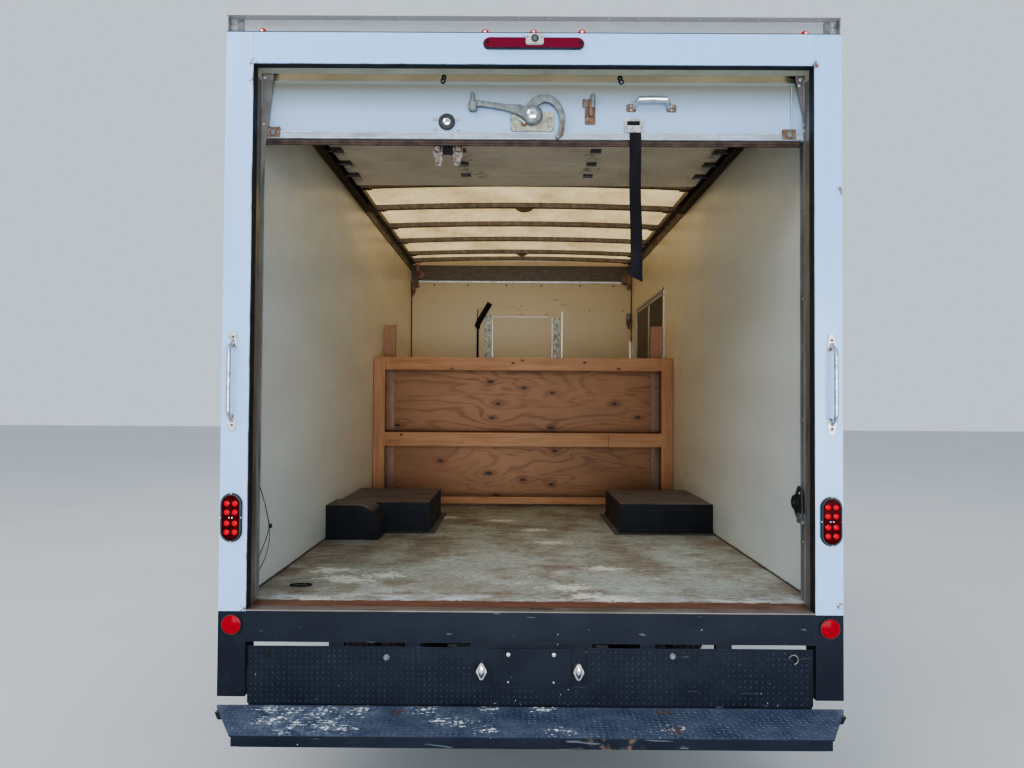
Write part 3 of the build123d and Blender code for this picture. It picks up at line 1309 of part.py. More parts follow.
def front_region():
    """Where the front panels are: both fenders and the panel across the nose."""
    face = make_face(Polyline(*FENDER_ROWS, close=True))
    region = side_prism(face, -WIDE, WIDE)
    middle = slab((-HOOD_HALF, HOOD_HALF), (from_axle(FRONT_CUT_BACK), from_axle(FASCIA_BACK)), FRONT_CUT_Z)
    length = (from_axle(FRONT_CUT_BACK), from_axle(NOSE_OVERHANG + 1))
    low = slab((-HOOD_HALF, HOOD_HALF), length, (FRONT_CUT_Z[0], FASCIA_BOTTOM_Z))
    return region - middle - low


FRONT_REGION = front_region()


def lamp_block(sign):
    x = sorted((sign * LAMP_X[0], sign * LAMP_X[1]))
    return slab(x, (from_axle(LAMP_BACK), from_axle(NOSE_OVERHANG)), LAMP_Z)


def windshield_prism():
    face = outline(mirrored(WINDSHIELD_ROWS))
    return prism("y", face, from_axle(HEADER - 60), from_axle(COWL + 60))


def cab_shell():
    """Roof, pillars, back, floor, firewall and cowl."""
    shell = WALLS - FRONT_REGION - hood_block() - windshield_prism()
    for sign in SIDES.values():
        shell -= door_prism(sign, DOOR_ROWS) - INNER
    engine_bay = (from_axle(HOOD_REAR + 5), from_axle(NOSE_OVERHANG))
    shell -= slab((-HOOD_HALF, HOOD_HALF), engine_bay, (400, COWL_Z + 20))
    ends = [(x, FRONT_AXLE_Y, TYRE_RADIUS) for x in (CAB_WALL - CAB_HALF, CAB_HALF - CAB_WALL)]
    return shell - rod(*ends, ARCH_RADIUS + LINER_THICK)


def front_panels():
    """Both fenders with their wheel-well liners, and the panel across the nose."""
    panels = (WALLS & FRONT_REGION) - hood_block()
    grille_y = (from_axle(FASCIA_BACK - 20), from_axle(NOSE_OVERHANG))
    panels -= slab((-GRILLE_HALF, GRILLE_HALF), grille_y, GRILLE_Z)
    for sign in SIDES.values():
        panels -= lamp_block(sign)
        ends = [(sign * x, FRONT_AXLE_Y, TYRE_RADIUS) for x in (LINER_INNER_X, CAB_HALF - CAB_WALL)]
        liner = rod(*ends, ARCH_RADIUS + LINER_THICK) - rod(*ends, ARCH_RADIUS)
        x = sorted((ends[0][0], ends[1][0]))
        panels += liner & slab(x, (from_axle(-600), from_axle(600)), (CAB_BOTTOM_Z + 60, 1500))
    return panels


def hood():
    """The hood's skin with a hinge pin at each rear corner."""
    panel = WALLS & hood_block(PANEL_GAP)
    y, z = from_axle(HOOD_HINGE[0]), HOOD_HINGE[1]
    for sign in SIDES.values():
        x = sorted((sign * (HOOD_HALF - 160), sign * (HOOD_HALF - 60)))
        panel += rod((x[0], y, z), (x[1], y, z), HOOD_PIN_RADIUS)
        panel += slab(x, (y, y + 14), (z - 6, z))
    return panel


def cab_door(sign):
    """A door with its window cut out and two hinge barrels on its front edge."""
    door = (OUTER - DOOR_INNER) & door_prism(sign, DOOR_ROWS, DOOR_GAP)
    door -= door_prism(sign, WINDOW_ROWS)
    x, y = sign * (CAB_HALF + DOOR_HINGE_OUT), from_axle(DOOR_FRONT - DOOR_HINGE_BACK)
    for low in DOOR_HINGES:
        door += rod((x, y, low), (x, y, low + DOOR_HINGE_HEIGHT), DOOR_PIN_RADIUS)
        leaf_x = sorted((sign * (CAB_HALF - 20), x))
        door += slab(leaf_x, (y - 50, y - 2), (low + 10, low + DOOR_HINGE_HEIGHT - 10))
    return door


def grille():
    """A border with level bars and one upright, filling the opening in the nose."""
    y = (from_axle(FASCIA_BACK), from_axle(NOSE_FACE - 8))
    low, high = GRILLE_Z
    inner_half = GRILLE_HALF - GRILLE_BORDER
    ring = slab((-GRILLE_HALF, GRILLE_HALF), y, GRILLE_Z)
    ring -= slab((-inner_half, inner_half), (y[0] - 1, y[1] + 1), (low + GRILLE_BORDER, high - GRILLE_BORDER))
    pitch = (high - low - GRILLE_BORDER) / (GRILLE_BARS + 1)
    for index in range(GRILLE_BARS):
        z = low + GRILLE_BORDER / 2 + (index + 1) * pitch
        ring += slab((-inner_half, inner_half), (y[0] + 10, y[1] - 6), (z - 7, z + 7))
    return ring + slab((-9, 9), (y[0] + 6, y[1] - 3), (low + GRILLE_BORDER, high - GRILLE_BORDER))


def headlamps():
    return together(*[OUTER & lamp_block(sign) for sign in SIDES.values()])


def front_bumper():
    """A channel-backed bumper with rounded ends, on two arms from the frame rails."""
    half = CAB_HALF - 25
    rows = [(half, 565.0, 0), (half, 690.0, 90), (half - 105, NOSE_OVERHANG, 110)]
    outer = outline(mirrored(rows))
    back = NOSE_OVERHANG - BUMPER_THICK
    hollow = [(half - BUMPER_THICK, 500.0, 0), (half - BUMPER_THICK, 680.0, 60), (half - 125, back, 80)]
    bumper = prism("z", outer - outline(mirrored(hollow)), *BUMPER_Z)
    bumper += prism("z", outer, BUMPER_Z[1] - BUMPER_PAD, BUMPER_Z[1])
    bumper = Pos(0, FRONT_AXLE_Y, 0) * bumper - OUTER
    for sign in SIDES.values():
        x = sorted((sign * (RAIL_OUTER_X - RAIL_FLANGE), sign * RAIL_OUTER_X))
        bumper += slab(x, (RAIL_FRONT_Y, from_axle(back)), (RAIL_BOTTOM_Z, RAIL_BOTTOM_Z + 110))
    return bumper


parts["cab_shell"] = cab_shell()
parts["front_panels"] = front_panels()
parts["hood"] = hood()
parts["grille"] = grille()
parts["headlamps"] = headlamps()
parts["front_bumper"] = front_bumper()
parts["windshield"] = sheet_between(14.0, 14.0 + GLASS_THICK) & windshield_prism()
door_glass = sheet_between(20.0, 20.0 + GLASS_THICK)
for side, sign in SIDES.items():
    parts[f"cab_door_{side}"] = cab_door(sign)
    parts[f"door_glass_{side}"] = door_glass & door_prism(sign, WINDOW_ROWS)

# Mirrors, dashboard, steering wheel and seats
MIRROR_X = (CAB_HALF + 85.0, CAB_HALF + 285.0)
MIRROR_Y = -300.0
MIRROR_DEPTH = 75.0
MIRROR_Z = (1310.0, 1640.0)
MIRROR_ARMS = (1330.0, 1460.0)
SEAT_X = 430.0
SEAT_HALF = 250.0
WHEEL_CENTRE = (-430.0, -660.0, 1330.0)
COLUMN_TILT = 35.0
STEERING_RADIUS = 190.0
STEERING_GRIP = 14.0


def mirror_arm(sign):
    """A tall mirror head on two arms from the door's front."""
    inner, outer = [sign * x for x in MIRROR_X]
    low, high = MIRROR_Z
    rows = [(inner, low, 40), (outer, low, 50), (outer, high, 50), (inner, high, 40)]
    head = prism("y", outline(rows), from_axle(MIRROR_Y), from_axle(MIRROR_Y + MIRROR_DEPTH))
    for z in MIRROR_ARMS:
        y = from_axle(MIRROR_Y + MIRROR_DEPTH / 2)
        foot = (sign * (CAB_HALF - 60), y - 40, z)
        head += rod(foot, (sign * (MIRROR_X[0] + 20), y, z + 30), 13)
    return head - OUTER


def column_axis():
    """The steering column's direction, forward and down."""
    tilt = math.radians(COLUMN_TILT)
    return Vector(0, math.cos(tilt), -math.sin(tilt))


def dashboard():
    """The moulded dash across the cab with the steering column in it."""
    face = outline([
        (FIREWALL, 1010.0, 0), (-540.0, 1060.0, 60), (-600.0, 1180.0, 60), (-575.0, 1330.0, 40),
        (-400.0, 1362.0, 100), (-140.0, 1345.0, 10), (-140.0, COWL_SHELF_Z, 0), (FIREWALL, COWL_SHELF_Z, 0),
    ])
    half = CAB_HALF - CAB_WALL - 40
    dash = side_prism(face, -half, half) & INNER
    centre = Vector(WHEEL_CENTRE[0], from_axle(WHEEL_CENTRE[1]), WHEEL_CENTRE[2])
    start = centre + column_axis() * 30
    return dash + rod(tuple(start), tuple(start + column_axis() * 130), 32)


def steering_wheel():
    """A round grip with a hub and four spokes."""
    centre = Vector(WHEEL_CENTRE[0], from_axle(WHEEL_CENTRE[1]), WHEEL_CENTRE[2])
    wheel = Torus(STEERING_RADIUS, STEERING_GRIP)
    wheel += Pos(0, 0, 6) * Cylinder(62, 34)
    for turn in (20, 160, 200, 340):
        angle = math.radians(turn)
        end = (math.cos(angle) * STEERING_RADIUS, math.sin(angle) * STEERING_RADIUS, 0)
        wheel += rod((0, 0, 4), end, 10)
    return Plane(origin=centre, x_dir=(1, 0, 0), z_dir=column_axis()) * wheel


SEAT_FORMS = [  # half width, then rows of ahead of the axle, above the cab floor and radius
    (200.0, [(-1130, 0, 0), (-780, 0, 0), (-760, 185, 20), (-1130, 185, 20)]),
    (SEAT_HALF, [
        (-1190, 185, 20), (-700, 185, 40), (-690, 300, 45),
        (-1110, 280, 30), (-1255, 865, 50), (-1345, 865, 40),
    ]),
    (130.0, [(-1335, 855, 20), (-1240, 855, 20), (-1265, 1035, 40), (-1345, 1035, 40)]),
]


def seat(x):
    """A cushion on its base with a leaning back and a head rest."""
    forms = []
    for half, rows in SEAT_FORMS:
        face = outline([(ahead, CAB_FLOOR_Z + up, radius) for ahead, up, radius in rows])
        forms.append(side_prism(face, x - half, x + half))
    return forms[0] + forms[1:]


for side, sign in SIDES.items():
    parts[f"mirror_{side}"] = mirror_arm(sign)
parts["dashboard"] = dashboard()
parts["steering_wheel"] = steering_wheel()
parts["seats"] = together(seat(-SEAT_X), seat(SEAT_X))

os.makedirs("parts", exist_ok=True)
for name, shape in parts.items():
    export_step(shape, f"parts/{name}.step")
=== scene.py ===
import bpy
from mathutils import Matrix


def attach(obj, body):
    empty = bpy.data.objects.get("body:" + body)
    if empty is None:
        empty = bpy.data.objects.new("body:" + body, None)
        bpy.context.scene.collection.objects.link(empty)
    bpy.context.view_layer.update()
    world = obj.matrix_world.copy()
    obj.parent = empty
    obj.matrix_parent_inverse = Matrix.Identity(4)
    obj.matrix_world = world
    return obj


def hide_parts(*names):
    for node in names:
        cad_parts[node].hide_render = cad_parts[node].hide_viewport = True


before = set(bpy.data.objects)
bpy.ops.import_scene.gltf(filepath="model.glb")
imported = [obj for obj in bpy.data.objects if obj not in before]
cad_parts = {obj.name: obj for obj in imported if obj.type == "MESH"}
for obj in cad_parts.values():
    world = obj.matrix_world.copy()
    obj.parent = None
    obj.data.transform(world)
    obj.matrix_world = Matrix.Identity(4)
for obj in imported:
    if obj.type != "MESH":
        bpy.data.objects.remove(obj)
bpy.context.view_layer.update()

import itertools
import math
import random

import bmesh
import bpy
from mathutils import Matrix, Vector

# Metres, in the CAD's frame: X to the truck's right, Y forward, Z up
REAR_Y = -3.6305
DECK = 0.830
HALF = 1.219
OPEN_HALF = 1.111
OPEN_TOP = 2.154
FRAME_TOP = 2.280
CAP_TOP = 2.350
INNER_HALF = 1.173
INNER_TOP = 2.276
WALL_OUT = 1.213
BOX_LENGTH = 5.210
FRONT_WALL = 0.050
DOOR_FACE = 0.115
STORED_Z = 2.240
TRACK_X = (1.122, 1.166)
SHELF_Y = 2.990
FRONT_AXLE = 3.0455
REAR_AXLE = -1.4505
TYRE_RADIUS = 0.371
CAB_HALF = 1.010
CAB_FLOOR = 0.775
STEP_Z = -0.373
STEP_DEPTH = 0.265
SIDES = {"left": -1, "right": 1}

# Where the shapes' own measures start: the rear frame's face at the deck, or the front axle at the ground
BOX = (0.0, REAR_Y, DECK)
CAB = (0.0, FRONT_AXLE, 0.0)
WORLD = (0.0, 0.0, 0.0)

CAMERA_PLACE = (-0.06697, REAR_Y - 3.01357, DECK + 0.82028)
CAMERA_YAW, CAMERA_PITCH, CAMERA_ROLL = -0.003432, 0.022154, 0.006406
CAMERA_LENS, CAMERA_SENSOR = 27.005, 36.0


def rear(distance):
    """A Y value, given forward of the rear frame's face."""
    return REAR_Y + distance


def up(height):
    """A Z value, given above the load deck."""
    return DECK + height


# Camera
def make_camera():
    level_part = math.cos(CAMERA_PITCH)
    forward = Vector((math.sin(CAMERA_YAW) * level_part, math.cos(CAMERA_YAW) * level_part, math.sin(CAMERA_PITCH)))
    level = Vector((math.cos(CAMERA_YAW), -math.sin(CAMERA_YAW), 0.0))
    over = level.cross(forward)
    right = level * math.cos(CAMERA_ROLL) + over * math.sin(CAMERA_ROLL)
    above = over * math.cos(CAMERA_ROLL) - level * math.sin(CAMERA_ROLL)
    data = bpy.data.cameras.new("camera")
    data.sensor_width = CAMERA_SENSOR
    data.lens = CAMERA_LENS
    camera = bpy.data.objects.new("camera", data)
    bpy.context.collection.objects.link(camera)
    turn = Matrix((right, above, -forward)).transposed().to_4x4()
    camera.matrix_world = Matrix.Translation(CAMERA_PLACE) @ turn
    bpy.context.scene.camera = camera


make_camera()


# Materials
class Look:
    """A material; each method adds nodes and gives their output."""

    def __init__(self, name, color=(0.5, 0.5, 0.5), rough=0.5, metal=0.0, more=None):
        self.material = bpy.data.materials.new(name)
        self.material.use_nodes = True
        self.tree = self.material.node_tree
        self.shader = self.tree.nodes["Principled BSDF"]
        self.place = self.node("ShaderNodeTexCoord").outputs["Object"]
        self.normal = None
        self.color = color
        self.set("Base Color", color)
        self.set("Roughness", rough)
        self.set("Metallic", metal)
        for socket, value in (more or {}).items():
            self.set(socket, value)

    def node(self, kind, inputs=None, **settings):
        made = self.tree.nodes.new(kind)
        for key, value in settings.items():
            setattr(made, key, value)
        for key, value in (inputs or {}).items():
            self.feed(made.inputs[key], value)
        return made

    def feed(self, socket, value):
        if isinstance(value, bpy.types.NodeSocket):
            self.tree.links.new(value, socket)
        elif socket.type == "RGBA":
            socket.default_value = (*value[:3], 1.0)
        else:
            socket.default_value = value

    def set(self, socket, value):
        self.feed(self.shader.inputs[socket], value)

    def moved(self, scale, stretch=(1, 1, 1), shift=0.0):
        sizes = tuple(scale * share for share in stretch)
        inputs = {"Vector": self.place, "Location": (shift, shift, shift), "Scale": sizes}
        return self.node("ShaderNodeMapping", inputs).outputs[0]

    def noise(self, scale, stretch=(1, 1, 1), detail=4.0, rough=0.55, shift=0.0, warp=0.0):
        inputs = {"Vector": self.moved(scale, stretch, shift), "Scale": 1.0, "Detail": detail,
                  "Roughness": rough, "Distortion": warp}
        return self.node("ShaderNodeTexNoise", inputs).outputs[0]

    def cells(self, scale, stretch=(1, 1, 1), shift=0.0):
        inputs = {"Vector": self.moved(scale, stretch, shift), "Scale": 1.0}
        return self.node("ShaderNodeTexVoronoi", inputs).outputs["Distance"]

    def fit(self, value, low, high, start=0.0, end=1.0):
        """A value mapped from one range to another, and kept inside it."""
        inputs = {"Value": value, "From Min": low, "From Max": high, "To Min": start, "To Max": end}
        return self.node("ShaderNodeMapRange", inputs).outputs[0]

    def patch(self, low, high, scale, stretch=(1, 1, 1), detail=4.0, rough=0.55, shift=0.0, warp=0.0, to=(0.0, 1.0)):
        """Patches of noise: nothing up to the low bound and full from the high one."""
        return self.fit(self.noise(scale, stretch, detail, rough, shift, warp), low, high, *to)

    def mix(self, share, first, second):
        made = self.node("ShaderNodeMix", None, data_type="RGBA", blend_type="MIX")
        for key, value in {0: share, 6: first, 7: second}.items():
            self.feed(made.inputs[key], value)
        return made.outputs[2]

    def mottle(self, first, second, *patch, **named):
        """Two colours mixed by patches of noise."""
        return self.mix(self.patch(*patch, **named), first, second)

    def coat(self, color, *shares):
        """Lays a colour over the look so far, by the product of the shares."""
        self.color = self.mix(self.both(*shares), self.color, color)
        self.set("Base Color", self.color)
        return self

    def calc(self, operation, first, second=0.0):
        return self.node("ShaderNodeMath", {0: first, 1: second}, operation=operation).outputs[0]

    def both(self, first, *others):
        for other in others:
            first = self.calc("MULTIPLY", first, other)
        return first

    def plus(self, first, second):
        return self.calc("ADD", first, second)

    def axis(self, which):
        return self.node("ShaderNodeSeparateXYZ", {0: self.place}).outputs[which]

    def across(self):
        return self.calc("ABSOLUTE", self.axis(0))

    def wide(self, low, high):
        """A share by the distance from the middle."""
        return self.fit(self.across(), low, high)

    def along(self, low, high):
        """A share by the distance forward of the rear frame's face."""
        return self.fit(self.axis(1), REAR_Y + low, REAR_Y + high)

    def high(self, low, high):
        """A share by the height above the deck."""
        return self.fit(self.axis(2), DECK + low, DECK + high)

    def facing(self, which):
        normal = self.node("ShaderNodeNewGeometry").outputs["Normal"]
        return self.node("ShaderNodeSeparateXYZ", {0: normal}).outputs[which]

    def near(self, points, size, axes=(1, 1, 1)):
        """The distance to the nearest of some points of the box, measured along the axes given."""
        flat = self.moved(1.0, axes)
        least = None
        for point in points:
            spot = tuple((value + start) * share for value, start, share in zip(point, BOX, axes))
            gap = self.node("ShaderNodeVectorMath", {0: flat, 1: spot}, operation="DISTANCE").outputs["Value"]
            least = gap if least is None else self.calc("MINIMUM", least, gap)
        return self.calc("DIVIDE", least, size)

    def edge(self, radius=0.004):
        """One along sharp edges and nothing on flat faces."""
        soft = self.node("ShaderNodeBevel", {"Radius": radius}, samples=4).outputs[0]
        hard = self.node("ShaderNodeNewGeometry").outputs["Normal"]
        same = self.node("ShaderNodeVectorMath", {0: soft, 1: hard}, operation="DOT_PRODUCT").outputs["Value"]
        return self.fit(same, 0.98, 0.75)

    def bump(self, height, strength=0.3, distance=0.002):
        inputs = {"Height": height, "Strength": strength, "Distance": distance}
        if self.normal:
            inputs["Normal"] = self.normal
        self.normal = self.node("ShaderNodeBump", inputs).outputs[0]
        self.set("Normal", self.normal)
        return self


WHITE = (0.80, 0.85, 0.92)
WALL_WHITE = (0.76, 0.81, 0.86)
NAVY_BLACK = (0.0060, 0.0090, 0.0180)


def rust_color(look):
    return look.mottle((0.060, 0.026, 0.014), (0.185, 0.080, 0.038), 0.35, 0.65, 60)


def streaked(look, color, share):
    """The white outside of the box, with upright streaks."""
    return look.mix(look.both(look.patch(0.5, 0.8, 7, (2, 2, 0.1), 5), share), WALL_WHITE, color)


def white_paint(name):
    """Gloss white with faint streaks, dust low down and small marks."""
    look = Look(name, WHITE, 0.3, 0.0, {"Coat Weight": 0.35, "Coat Roughness": 0.12})
    look.coat((0.60, 0.60, 0.56), look.patch(0.45, 0.75, 9, (3, 3, 0.16), 5), 0.16)
    look.coat((0.33, 0.29, 0.24), look.fit(look.axis(2), 0.95, 0.45), look.patch(0.35, 0.7, 3.5, detail=6), 0.55)
    look.coat((0.16, 0.14, 0.12), look.fit(look.cells(38), 0.055, 0.035), look.patch(0.5, 0.7, 2.2))
    look.set("Roughness", look.patch(0.3, 0.8, 5, detail=5, to=(0.24, 0.5)))
    return look.bump(look.noise(260, detail=1), 0.05, 0.0006)


def rear_white():
    """The rear frame: above the deck one white paint painted in light and shade, a darker bluish white on its rear
    faces and a lighter white on its sides; navy black below, grey inside the jambs.
    """
    # Painted light and shade: the base is the white paint darkened and turned bluish for the rear faces.
    look = Look("rear_white", (0.325, 0.520, 0.820), 0.34, 0.0, {"Coat Roughness": 0.15})
    look.coat((0.28, 0.39, 0.54), look.patch(0.45, 0.8, 8, (3, 3, 0.12), 5), 0.12)
    # Painted light and shade: faces turned sideways get a lighter white than the rear faces.
    look.coat((0.66, 0.72, 0.79), look.fit(look.calc("ABSOLUTE", look.facing(0)), 0.5, 0.9))
    look.coat((0.20, 0.17, 0.15), look.fit(look.cells(17, (1, 1, 0.5)), 0.035, 0.02), look.patch(0.52, 0.62, 3), 0.6)
    spots = [(-1.113, 0, 2.158), (-1.114, 0, 2.09), (1.113, 0, 2.156), (1.214, 0, 1.66), (1.205, 0, 0.03),
             (-1.118, 0, 0.002)]
    close = look.fit(look.near(spots, 0.034), 1.0, 0.2)
    rust = look.fit(look.plus(look.both(close, 0.33), look.noise(90, detail=6)), 0.74, 0.90)
    seam = look.both(look.wide(1.1150, 1.1115), look.patch(0.44, 0.62, 14, (1, 1, 0.5), 6),
                     look.high(2.157, 2.154), look.fit(look.axis(0), 0.5, -0.5, 0.3, 0.9))
    look.coat(rust_color(look), look.calc("MAXIMUM", rust, seam))
    beside = look.calc("ABSOLUTE", look.calc("SUBTRACT", look.across(), 1.1125))
    look.coat((0.30, 0.31, 0.33), look.fit(beside, 0.0022, 0.0008), look.high(2.15, 2.156), 0.35)
    jamb = look.mottle((0.150, 0.140, 0.132), (0.070, 0.056, 0.048), 0.36, 0.7, 9, (1, 1, 0.4), 7)
    lit = look.mottle((0.470, 0.455, 0.360), (0.350, 0.340, 0.270), 0.36, 0.7, 7, detail=5)
    look.coat(look.mix(look.high(2.12, 2.13), jamb, lit), look.along(0.034, 0.036), look.wide(1.20, 1.19))
    black = look.high(-0.0055, -0.0065)
    look.coat(look.mottle((0.0055, 0.0080, 0.0165), (0.014, 0.018, 0.028), 0.55, 0.8, 30, (1, 1, 0.4), 6), black)
    look.set("Coat Weight", look.fit(black, 0.0, 1.0, 0.3, 0.0))
    look.set("Specular IOR Level", look.fit(black, 0.0, 1.0, 0.5, 0.25))
    look.set("Roughness", look.patch(0.3, 0.8, 7, to=(0.28, 0.48)))
    return look.bump(look.noise(180, detail=2), 0.05, 0.0008)


def cap_look():
    """The roof cap's dull white with grey grime along its foot and ends."""
    look = Look("cap_white", (0.310, 0.322, 0.345), 0.42)
    grime = look.patch(0.4, 0.75, 12, (1, 1, 4), 6)
    low_or_end = look.calc("MAXIMUM", look.high(2.30, 2.282), look.wide(1.16, 1.20))
    look.coat((0.15, 0.145, 0.14), look.plus(look.both(grime, 0.25), look.both(low_or_end, grime)))
    look.coat((0.42, 0.40, 0.39), look.high(2.3445, 2.346), 0.6)
    return look.bump(look.noise(90, detail=4), 0.15, 0.001)


def wall_look():
    """Walls: clean white outside; inside, glossy cream painted with light, bluish grey near the doorway and warm cream
    deep inside and high up, with soft darker bands painted as reflections and a few scuffs.
    """
    look = Look("wall_panel", rough=0.34, more={"Coat Weight": 0.2, "Coat Roughness": 0.25})
    height = look.axis(2)
    # Painted light: the inside runs from a bluish grey near the doorway to a warm cream deep inside and high up.
    depth = look.fit(look.plus(look.axis(1), look.both(height, 0.5)), REAR_Y + 0.55, REAR_Y + 4.3)
    look.color = look.mix(depth, (0.600, 0.665, 0.680), (0.760, 0.675, 0.510))
    # Painted reflection: soft darker level bands stand in for the roof bows reflected in the glossy liner.
    look.coat(look.mix(0.35, look.color, (0.30, 0.28, 0.22)), look.patch(0.38, 0.62, 1.0, (0.5, 0.5, 2.6), 3), 0.5)
    look.coat((0.40, 0.40, 0.34), look.patch(0.36, 0.7, 1.6, (1, 0.3, 1.3), 7, 0.62), 0.18)
    look.coat((0.30, 0.28, 0.22), look.patch(0.5, 0.8, 70, (1, 0.3, 1), 5, 0.7), 0.14)
    look.coat((0.14, 0.13, 0.11), look.patch(0.67, 0.73, 30, (1, 0.35, 1.6), 8, 0.72),
              look.patch(0.50, 0.62, 2.3, shift=4), 0.5)
    ragged = look.plus(height, look.both(look.noise(30, detail=5), -0.014))
    look.coat((0.085, 0.070, 0.052), look.fit(ragged, DECK + 0.006, DECK + 0.001))
    road = look.both(look.high(0.25, -0.1), look.patch(0.35, 0.7, 4, detail=6), 0.6)
    white = look.mix(road, streaked(look, (0.50, 0.51, 0.50), 0.18), (0.30, 0.27, 0.23))
    look.coat(white, look.calc("MAXIMUM", look.wide(1.19, 1.195), look.along(5.18, 5.185)))
    look.set("Roughness", look.patch(0.3, 0.8, 6, detail=5, to=(0.28, 0.5)))
    look.bump(look.noise(5, (1, 0.25, 1.2), 2), 0.08, 0.004)
    return look.bump(look.noise(300, (1, 0.4, 1), 1), 0.04, 0.0005)


def front_wall_look():
    """The front wall: warm cream inside with a dark band, tape beside the hatch and small marks."""
    look = Look("front_wall", (0.485, 0.392, 0.240), 0.45)
    look.coat((0.385, 0.305, 0.185), look.patch(0.35, 0.7, 1.6, detail=6), 0.3)
    look.coat((0.20, 0.14, 0.08), look.fit(look.cells(9), 0.045, 0.03), 0.7)
    spots = [(-0.113, 0, 1.819), (0.376, 0, 1.905), (0.453, 0, 1.851), (-0.004, 0, 1.79), (0.30, 0, 1.742),
             (-0.02, 0, 1.742)]
    smear = look.fit(look.near(spots, 0.050, (0.7, 0, 3.0)), 1.0, 0.3)
    look.coat((0.16, 0.11, 0.06), smear, look.patch(0.50, 0.60, 60, detail=6, to=(0.0, 0.7)))
    brown = look.mottle((0.082, 0.060, 0.045), (0.138, 0.106, 0.082), 0.35, 0.7, 14, (1, 1, 3), 6)
    look.coat(brown, look.along(5.1315, 5.1310))
    look.coat(streaked(look, (0.50, 0.50, 0.48), 0.2), look.along(5.18, 5.185))
    return look.bump(look.noise(30, detail=4), 0.10, 0.0015)


def side_door_look():
    """The side door leaves: brown-grey liner inside, the rear leaf left much darker than the front one as painted
    shade; white outside.
    """
    look = Look("side_door_panel", (0.055, 0.044, 0.034), 0.42)
    # Painted shade: only the front leaf gets the lighter boards, and the rear leaf keeps the dark base colour.
    board = look.mottle((0.090, 0.074, 0.055), (0.125, 0.105, 0.080), 0.4, 0.65, 5, (1, 3, 0.15), 4)
    look.coat(board, look.along(4.10, 4.105))
    look.coat((0.040, 0.032, 0.026), look.patch(0.6, 0.75, 30, detail=6), 0.5)
    white = look.mix(look.wide(1.2135, 1.2140), streaked(look, (0.52, 0.52, 0.50), 0.2), (0.42, 0.43, 0.44))
    look.coat(white, look.wide(1.19, 1.195))
    return look.bump(look.noise(60, (1, 1, 0.3), 3), 0.1, 0.001)


def film_look():
    """The translucent roof, mottled, glowing underneath with the daylight that it lets through."""
    look = Look("roof_film", rough=0.5, more={"Emission Strength": 1.2})
    warm = look.mottle((0.80, 0.66, 0.40), (0.46, 0.355, 0.18), 0.38, 0.64, 3.2, (1, 0.6, 1), 10, 0.72)
    warm = look.mix(look.both(look.patch(0.42, 0.70, 34, (1.4, 0.4, 1), 7, 0.75), 0.55), warm, (0.36, 0.265, 0.13))
    under = look.fit(look.facing(2), 0.0, -0.4)
    look.color = look.mix(look.both(look.patch(0.4, 0.7, 3), 0.4), (0.80, 0.80, 0.76), (0.50, 0.48, 0.42))
    look.coat(warm, under)
    look.set("Emission Color", look.mix(under, (0.0, 0.0, 0.0), warm))
    return look.bump(look.noise(50, detail=4), 0.15, 0.001)


def roof_steel_look():
    look = Look("roof_steel", (0.115, 0.090, 0.068), 0.55)
    look.coat((0.235, 0.195, 0.150), look.patch(0.35, 0.75, 26, (1, 0.4, 1), 7))
    look.coat((0.045, 0.025, 0.015), look.patch(0.62, 0.72, 70, detail=6))
    return look.bump(look.noise(120, detail=4), 0.25, 0.001)


# Places of the pale scuffs on the floor, across and forward of the rear frame
FLOOR_SCUFFS = [(-0.863, 0.541), (-0.943, 0.70), (-0.80, 0.50), (-0.66, 0.60), (0.258, 0.233), (0.172, 0.393),
                (0.374, 0.78), (-0.90, 0.14), (0.36, 0.20), (-0.52, 2.40), (0.069, 1.90), (-0.15, 2.27), (0.15, 1.47)]


